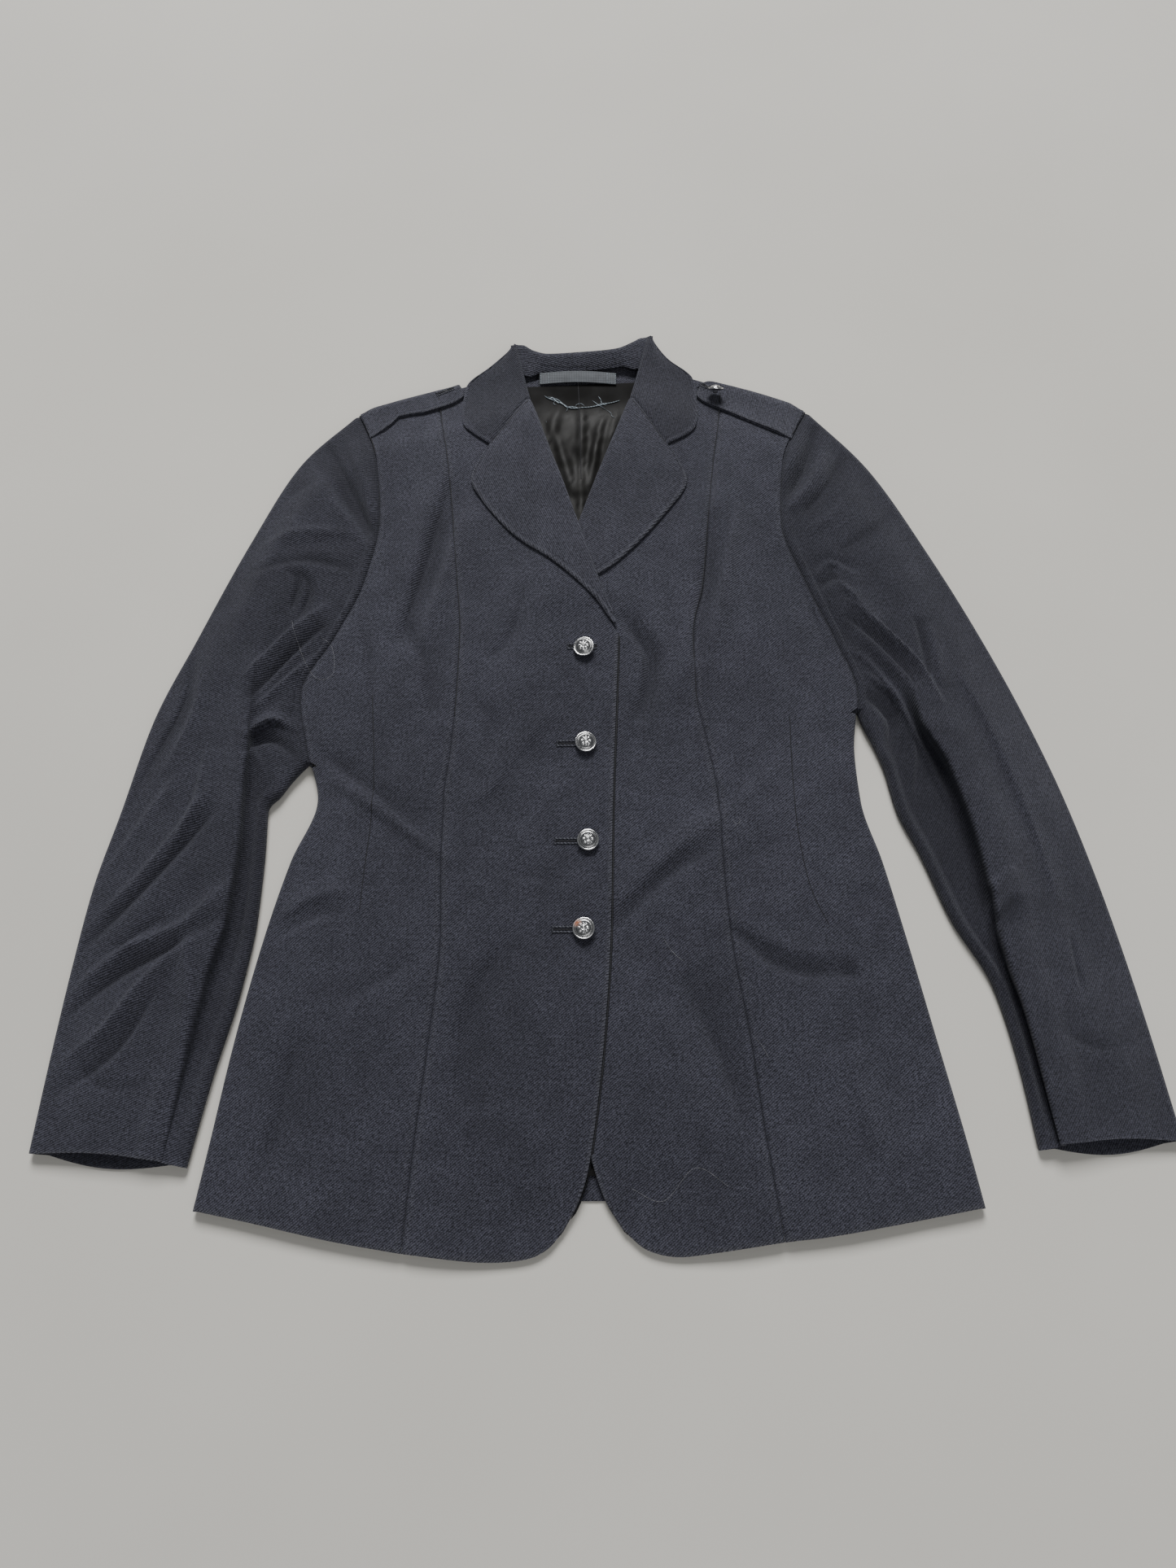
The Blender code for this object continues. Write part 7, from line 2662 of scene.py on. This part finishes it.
class StitchRow:
    """Geometry Nodes that sew a row of plump stitches along lines."""

    def __init__(self) -> None:
        """Build the tree once, with its sizes as inputs."""
        tree = bpy.data.node_groups.new("Row of stitches", "GeometryNodeTree")
        sockets = tree.interface
        sockets.new_socket(name="Lines", in_out="INPUT", socket_type="NodeSocketGeometry")
        kinds = {"Pitch": "Float", "Stitch": "Vector", "Slant": "Float", "Unevenness": "Float"}
        for name, kind in kinds.items():
            sockets.new_socket(name=name, in_out="INPUT", socket_type="NodeSocket" + kind)
        sockets.new_socket(name="Thread", in_out="INPUT", socket_type="NodeSocketMaterial")
        sockets.new_socket(name="Stitches", in_out="OUTPUT", socket_type="NodeSocketGeometry")
        add, join = tree.nodes.new, tree.links.new
        start, end = add("NodeGroupInput"), add("NodeGroupOutput")
        curve, spaced = add("GeometryNodeMeshToCurve"), add("GeometryNodeResampleCurve")
        spaced.mode = "LENGTH"
        stitch, placed = add("GeometryNodeMeshUVSphere"), add("GeometryNodeInstanceOnPoints")
        stitch.inputs["Segments"].default_value = 8
        stitch.inputs["Rings"].default_value = 6
        stitch.inputs["Radius"].default_value = 1.0
        tangent, aligned = add("GeometryNodeInputTangent"), add("FunctionNodeAlignRotationToVector")
        aligned.axis = "X"
        chance, angle = add("FunctionNodeRandomValue"), add("ShaderNodeMath")
        chance.data_type = "FLOAT"
        chance.inputs[2].default_value = -1.0
        chance.inputs[3].default_value = 1.0
        chance.inputs["Seed"].default_value = 17
        angle.operation = "MULTIPLY_ADD"
        spin, turned = add("FunctionNodeAxisAngleToRotation"), add("FunctionNodeRotateRotation")
        spin.inputs["Axis"].default_value = (0.0, 0.0, 1.0)
        turned.rotation_space = "LOCAL"
        real, finished, smooth = add("GeometryNodeRealizeInstances"), add("GeometryNodeSetMaterial"), add("GeometryNodeSetShadeSmooth")
        join(start.outputs["Lines"], curve.inputs[0])
        join(curve.outputs[0], spaced.inputs["Curve"])
        join(start.outputs["Pitch"], spaced.inputs["Length"])
        join(spaced.outputs[0], placed.inputs["Points"])
        join(stitch.outputs["Mesh"], placed.inputs["Instance"])
        join(start.outputs["Stitch"], placed.inputs["Scale"])
        join(tangent.outputs[0], aligned.inputs["Vector"])
        join(chance.outputs[1], angle.inputs[0])
        join(start.outputs["Unevenness"], angle.inputs[1])
        join(start.outputs["Slant"], angle.inputs[2])
        join(angle.outputs[0], spin.inputs["Angle"])
        join(aligned.outputs[0], turned.inputs["Rotation"])
        join(spin.outputs[0], turned.inputs["Rotate By"])
        join(turned.outputs[0], placed.inputs["Rotation"])
        join(placed.outputs[0], smooth.inputs[0])
        join(smooth.outputs[0], real.inputs[0])
        join(real.outputs[0], finished.inputs["Geometry"])
        join(start.outputs["Thread"], finished.inputs["Material"])
        join(finished.outputs[0], end.inputs[0])
        self.tree = tree

    def sew(
        self,
        name: str,
        lines: Sequence[Array],
        pitch: float,
        stitch: tuple[float, float, float],
        thread: bpy.types.Material,
        slant: float = 0.0,
        uneven: float = 0.08,
        slot: str = "navy_twill",
    ) -> bpy.types.Object:
        """Sew stitches along lines, as one piece.

        Args:
            name: The piece's name.
            lines: Points along each line.
            pitch: Distance between stitches.
            stitch: Half length, half width and half height of a stitch.
            thread: Its finish.
            slant: Turn of a stitch from the line, in radians.
            uneven: How much that turn varies.
            slot: Not used.

        Returns:
            The piece.
        """
        points = np.vstack(list(lines)) + LAY
        edges, first = [], 0
        for line in lines:
            edges += [(first + k, first + k + 1) for k in range(len(line) - 1)]
            first += len(line)
        mesh = bpy.data.meshes.new(name + "_line")
        mesh.from_pydata(points.tolist(), edges, [])
        draft = bpy.data.objects.new(name + "_line", mesh)
        bpy.context.scene.collection.objects.link(draft)
        row = draft.modifiers.new("Stitches", "NODES")
        row.node_group = self.tree
        named = {item.name: item.identifier for item in self.tree.interface.items_tree if item.in_out == "INPUT"}
        values = {"Pitch": pitch, "Stitch": stitch, "Slant": slant, "Unevenness": uneven, "Thread": thread}
        for label, value in values.items():
            row[named[label]] = value
        piece = plain_copy(draft, name)
        return dress(piece, "")


@dataclass
class Trimmings:
    """Buttonholes, darts, painted seam shadows, seam and label threads and lint, laid on the finished cloth."""

    finishes: Finishes
    top: TopSurface
    rows: StitchRow
    hole_half: float = 0.0019
    hole_cord: float = 0.00062
    hole_starts: tuple[Point, ...] = ((-0.0160, 0.4365), (-0.0240, 0.353), (-0.0250, 0.273), (-0.0262, 0.204))

    def buttonholes(self) -> list[bpy.types.Object]:
        """Work the four buttonholes: a slit, its corded lips, purls and bar tack.

        Returns:
            The pieces.
        """
        cords = Strands("buttonhole_cords", self.finishes.navy_thread, 9)
        # The slits are near-black tubes: painted shade in the cut between the corded lips.
        slits = Strands("buttonhole_slits", self.finishes.dark_thread_and_shadow, 6)
        purls, tacks = [], []
        for x, y in self.hole_starts:
            end = x + 0.023
            for side in (-1.0, 1.0):
                lip = self.top.follow([(x, y + side * self.hole_half), (end, y + side * self.hole_half)], 0.0003, 0.0006)
                lip[:, 1] += 0.00012 * np.sin(np.arange(len(lip)) * 0.9 + side)
                cords.add(lip, self.hole_cord)
                purls.append(lip + np.array([0.0, 0.0, 0.0002]))
            slits.add(self.top.follow([(x + 0.0005, y), (end, y)], 0.0, 0.001), 0.00055)
            tacks.append(self.top.follow([(x - 0.0003, y - 0.0026), (x - 0.0003, y + 0.0026)], 0.0004, 0.0004))
        thread = self.finishes.navy_thread
        return [
            cords.piece("navy_twill"),
            slits.piece("navy_twill"),
            self.rows.sew("buttonhole_purls", purls, 0.00052, (0.00085, 0.00024, 0.00052), thread, 1.45, 0.10),
            self.rows.sew("buttonhole_tacks", tacks, 0.00048, (0.0009, 0.00026, 0.0005), thread, 1.57, 0.06),
        ]

    def darts(self) -> bpy.types.Object:
        """Draw in the waist darts as fine sunk dark lines, painted shadow in the darts' folds.

        Returns:
            The piece.
        """
        lines = Strands("dart_lines", self.finishes.dark_thread_and_shadow, 5)
        for path in (
            ((-0.1745, 0.400), (-0.1700, 0.345), (-0.1690, 0.298), (-0.1720, 0.250), (-0.1735, 0.218)),
            ((0.162, 0.380), (0.1615, 0.330), (0.163, 0.286), (0.170, 0.239), (0.183, 0.207)),
        ):
            lines.add(self.top.follow(path, -0.00005), 0.00040, True)
        return lines.piece("navy_twill")

    def seam_lines(self, sides: Sequence[SideForm]) -> bpy.types.Object:
        """Lay dark tubes as painted shadow in the princess, armhole and gorge seams and beside the front's edge.

        Args:
            sides: Both sides of the tunic.

        Returns:
            The piece.
        """
        lines = Strands("painted_seam_shadows", self.finishes.dark_thread_and_shadow, 5)
        for side in sides:
            princess = side.princess_line(-0.014, 0.700, 0.0)
            lines.add(self.top.lay(princess, -0.00020), 0.00055, True)
            arm, _ = side.armhole(0.012)
            lines.add(self.top.lay(arm, -0.00020), 0.00060, True)
            gorge = np.linspace(np.array(side.sizes.lapel_edge[-1]), np.array(side.sizes.gorge), 60)
            lines.add(self.top.lay(gorge, -0.0001), 0.00040, True)
            # Painted shadow: a dark tube where the overlapping front's edge casts its shade on the under front.
            if side.edge == Layer.OVER.value:
                y = np.linspace(0.0, 0.450, 330)
                edge = np.column_stack([side.body.edge_x(side.edge, y) + 0.0014, y])
                lines.add(self.top.lay(edge, 0.0), 0.0009, True)
        return lines.piece("navy_twill")

    def neck_threads(self) -> list[bpy.types.Object]:
        """Lay the frayed label threads, the lining's centre seam and the stand's seam.

        Returns:
            The pieces.
        """
        label = Strands("label_threads", self.finishes.grey_thread, 6)
        paths = (
            (((-0.0395, 0.6985), (-0.0345, 0.6950), (-0.0320, 0.6965), (-0.0270, 0.6905), (-0.0239, 0.6915)), 0.00050),
            (((-0.0372, 0.6964), (-0.0290, 0.6925), (-0.0215, 0.6880), (-0.0165, 0.6852), (-0.0070, 0.6842)), 0.00060),
            (((-0.0360, 0.6975), (-0.0270, 0.6938), (-0.0200, 0.6862), (-0.0150, 0.6866), (-0.0090, 0.6850)), 0.00036),
            (((-0.0085, 0.6842), (-0.0020, 0.6852), (0.0035, 0.6862), (0.0092, 0.6875), (0.0187, 0.6900)), 0.00046),
            (((0.0060, 0.6868), (0.0120, 0.6895), (0.0187, 0.6902), (0.0250, 0.6920), (0.0291, 0.6937)), 0.00038),
            (((0.0092, 0.6982), (0.0115, 0.6940), (0.0125, 0.6900), (0.0165, 0.6875)), 0.00028),
            (((0.0040, 0.6935), (0.0075, 0.6900), (0.0125, 0.6860), (0.0165, 0.6831)), 0.00024),
            (((0.0165, 0.6831), (0.0205, 0.6790), (0.0215, 0.6755), (0.0252, 0.6725)), 0.00018),
            (((-0.0300, 0.6930), (-0.0310, 0.6900), (-0.0280, 0.6875)), 0.00024),
            (((-0.0190, 0.6870), (-0.0185, 0.6835), (-0.0200, 0.6810)), 0.00020),
            (((-0.0376, 0.6712), (-0.0370, 0.6690)), 0.00026),
            (((-0.0120, 0.6860), (-0.0100, 0.6885), (-0.0060, 0.6890), (-0.0030, 0.6865)), 0.00024),
        )
        for path, radius in paths:
            label.add(self.top.follow(path, 0.0006, 0.0008), radius, True)
        seams = Strands("lining_seam", self.finishes.dark_thread_and_shadow, 5)
        seams.add(self.top.follow([(-0.009, 0.712), (-0.008, 0.690), (-0.007, 0.660), (-0.006, 0.610)], 0.0), 0.0004)
        stand = [self.top.follow([(-0.054, 0.7318), (-0.0315, 0.7285), (-0.006, 0.7285), (0.020, 0.7310), (0.040, 0.7365)], 0.0001)]
        box = [(-0.0430, 0.7117), (-0.0355, 0.7117), (-0.0355, 0.7213), (-0.0430, 0.7213), (-0.0430, 0.7117)]
        ends = [box, [(x + 0.0605, y) for x, y in box]]
        tape_rows = [self.top.follow([a, b], 0.00015) for end in ends for a, b in zip(end[:-1], end[1:])]
        grey = self.finishes.grey_thread
        return [
            label.piece("blue_tape"),
            seams.piece("black_lining"),
            self.rows.sew("stand_stitches", stand, 0.0021, (0.0008, 0.00022, 0.00016), self.finishes.dark_thread_and_shadow),
            self.rows.sew("tape_stitches", tape_rows, 0.0019, (0.0007, 0.00024, 0.0002), grey, slot="blue_tape"),
        ]

    def lint(self) -> bpy.types.Object:
        """Scatter the pale hairs that lie on the cloth.

        Returns:
            The piece.
        """
        hairs = Strands("pale_lint", self.finishes.pale_hair, 5)
        paths = (
            ((-0.245, 0.465), (-0.2325, 0.430), (-0.220, 0.4125), (-0.2075, 0.4175), (-0.210, 0.440), (-0.220, 0.450)),
            ((0.029, 0.021), (0.053, 0.012), (0.076, 0.034), (0.100, 0.021)),
            ((0.056, 0.199), (0.063, 0.188), (0.072, 0.180)),
            ((0.112, 0.291), (0.115, 0.287), (0.118, 0.290), (0.116, 0.293)),
            ((0.120, 0.127), (0.127, 0.119), (0.132, 0.109)),
            ((-0.021, 0.190), (-0.018, 0.187)),
            ((-0.369, 0.122), (-0.364, 0.119)),
            ((-0.196, 0.500), (-0.192, 0.497)),
        )
        for path in paths:
            hairs.add(self.top.follow(path, 0.0002), 0.00008, True)
        specks = (
            (-0.1903, 0.6650), (-0.1785, 0.6722), (-0.1432, 0.6870), (0.1617, 0.6676), (0.1700, 0.6620),
            (0.1750, 0.6690), (-0.3920, 0.0445), (-0.3372, 0.0430), (0.2300, 0.6000), (-0.0560, 0.1500),
        )
        for k, (x, y) in enumerate(specks):
            short = (0.0012 + 0.0002 * (k % 4)) * np.array([math.cos(1.3 * k), math.sin(1.3 * k)])
            path = [(x, y), (x + 0.6 * short[0], y + 0.3 * short[1]), (x + short[0], y + short[1])]
            hairs.add(self.top.follow(path, 0.00015, 0.0004), 0.00022, True)
        return hairs.piece("navy_twill")

    def strap_marks(self) -> list[bpy.types.Object]:
        """Work the straps' buttonholes and the short threads left at them.

        Returns:
            The pieces.
        """
        # The slits are near-black tubes: painted shade in the cut between the cords.
        slits = Strands("strap_slits", self.finishes.dark_thread_and_shadow, 6)
        cords = Strands("strap_cords", self.finishes.navy_thread, 6)
        tufts = Strands("strap_tufts", self.finishes.pale_hair, 5)
        for start, end in (((-0.1362, 0.6935), (-0.1200, 0.7012)), ((0.1000, 0.7055), (0.1140, 0.6985))):
            a, b = np.array(start), np.array(end)
            off = np.array([a[1] - b[1], b[0] - a[0]]) / np.linalg.norm(b - a)
            slits.add(self.top.follow([a, b], 0.0001, 0.001), 0.0006, True)
            for side in (-1.0, 1.0):
                shift = side * 0.0016 * off
                cords.add(self.top.follow([a + shift, b + shift], 0.0002, 0.001), 0.0006)
            middle = 0.5 * (a + b)
            for turn in (0.2, 1.0, 2.1, 2.9):
                reach = 0.0026 * np.array([math.cos(turn), math.sin(turn)])
                tufts.add(self.top.follow([middle - 0.3 * reach, middle + reach], 0.0005, 0.0005), 0.00020, True)
        return [slits.piece("navy_twill"), cords.piece("navy_twill"), tufts.piece("navy_twill")]

    def build(self, sides: Sequence[SideForm]) -> list[bpy.types.Object]:
        """Make all trimmings.

        Args:
            sides: Both sides of the tunic.

        Returns:
            The pieces.
        """
        seams = [self.darts(), self.seam_lines(sides)]
        return [*self.buttonholes(), *seams, *self.neck_threads(), *self.strap_marks(), self.lint()]


# Room


@dataclass
class Room:
    """Plain pale floor, soft light from beyond the collar, and the camera."""

    camera_place: tuple[float, float, float] = (-0.0134, -0.3664, 0.8843)
    camera_tilt: float = 20.292
    focal_pixels: float = 1447.0
    picture_height: float = 1927.0
    floor_size: float = 8.0
    key: float = 380.0
    fill: float = 22.0

    def floor(self) -> None:
        """Lay the floor just under the tunic."""
        half = self.floor_size / 2
        mesh = bpy.data.meshes.new("floor")
        mesh.from_pydata([(-half, -half, 0), (half, -half, 0), (half, half, 0), (-half, half, 0)], [], [(0, 1, 2, 3)])
        floor = bpy.data.objects.new("floor", mesh)
        bpy.context.scene.collection.objects.link(floor)
        item, book, shader = new_material("Pale floor")
        place = book.add("ShaderNodeTexCoord").outputs["Object"]
        tone = book.ramp(book.noise(place, 3.0), 0.3, 0.7, 0.0, 1.0)
        book.put(shader.inputs["Base Color"], book.mix(tone, (0.590, 0.570, 0.520, 1.0), (0.630, 0.610, 0.560, 1.0)))
        shader.inputs["Roughness"].default_value = 0.9
        mesh.materials.append(item)

    def lamp(self, name: str, place: Sequence[float], aim: Sequence[float], size: float, power: float) -> None:
        """Hang a soft square lamp.

        Args:
            name: Its name.
            place: Where it hangs.
            aim: The point it faces.
            size: Its side.
            power: Its power in watts.
        """
        data = bpy.data.lights.new(name, "AREA")
        data.size = size
        data.energy = power
        lamp = bpy.data.objects.new(name, data)
        lamp.location = place
        lamp.rotation_euler = (Vector(aim) - Vector(place)).to_track_quat("-Z", "Y").to_euler()
        bpy.context.scene.collection.objects.link(lamp)

    def build(self) -> None:
        """Make the floor, the light and the camera."""
        self.floor()
        self.lamp("key", (-0.30, 3.90, 3.90), (0.0, 0.0, 0.0), 2.4, self.key)
        self.lamp("fill", (0.6, -1.6, 2.4), (0.0, 0.0, 0.0), 2.0, self.fill)
        world = bpy.data.worlds.new("studio")
        world.use_nodes = True
        world.node_tree.nodes["Background"].inputs["Color"].default_value = (0.93, 0.96, 1.0, 1.0)
        world.node_tree.nodes["Background"].inputs["Strength"].default_value = 0.16
        bpy.context.scene.world = world
        data = bpy.data.cameras.new("camera")
        data.sensor_width = 36.0
        data.sensor_fit = "AUTO"
        data.lens = 36.0 * self.focal_pixels / self.picture_height
        camera = bpy.data.objects.new("camera", data)
        camera.location = self.camera_place
        camera.rotation_euler = (math.radians(self.camera_tilt), 0.0, 0.0)
        bpy.context.scene.collection.objects.link(camera)
        bpy.context.scene.camera = camera


def main() -> None:
    """Build the tunic in order: cloth, buttons, trimmings, room."""
    logging.basicConfig(level=logging.INFO, format="%(message)s")
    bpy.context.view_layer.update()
    body = BodyForm()
    right = SideForm(RIGHT, body, Layer.OVER)
    left = SideForm(LEFT, body, Layer.UNDER)
    finishes = Finishes()
    cloth = Backs(finishes, body).build(right, left)
    cloth += Fronts(finishes, body).build(right, left)
    cloth += Sleeve(finishes, body, right, SLEEVE_R_FOLDS, SLEEVE_R_CREASES, 0.0065, 0.0024, 0.0022, 0.75, 0.66, 0.10).build()
    cloth += Sleeve(finishes, body, left, SLEEVE_L_FOLDS, SLEEVE_L_CREASES, 0.0115, 0.0034, 0.0030, 1.0, 0.74, 0.36).build()
    cloth += [Lapel(finishes, side).build() for side in (left, right)]
    cloth += [CollarFall(finishes, side).build() for side in (left, right)]
    cloth += NeckBack(finishes, body).build()
    cloth += [Strap(finishes, side).build() for side in (right, left)]
    Buttons(finishes, body).build(left)
    Trimmings(finishes, TopSurface(cloth), StitchRow()).build((right, left))
    Room().build()


if __name__ == "__main__":
    main()
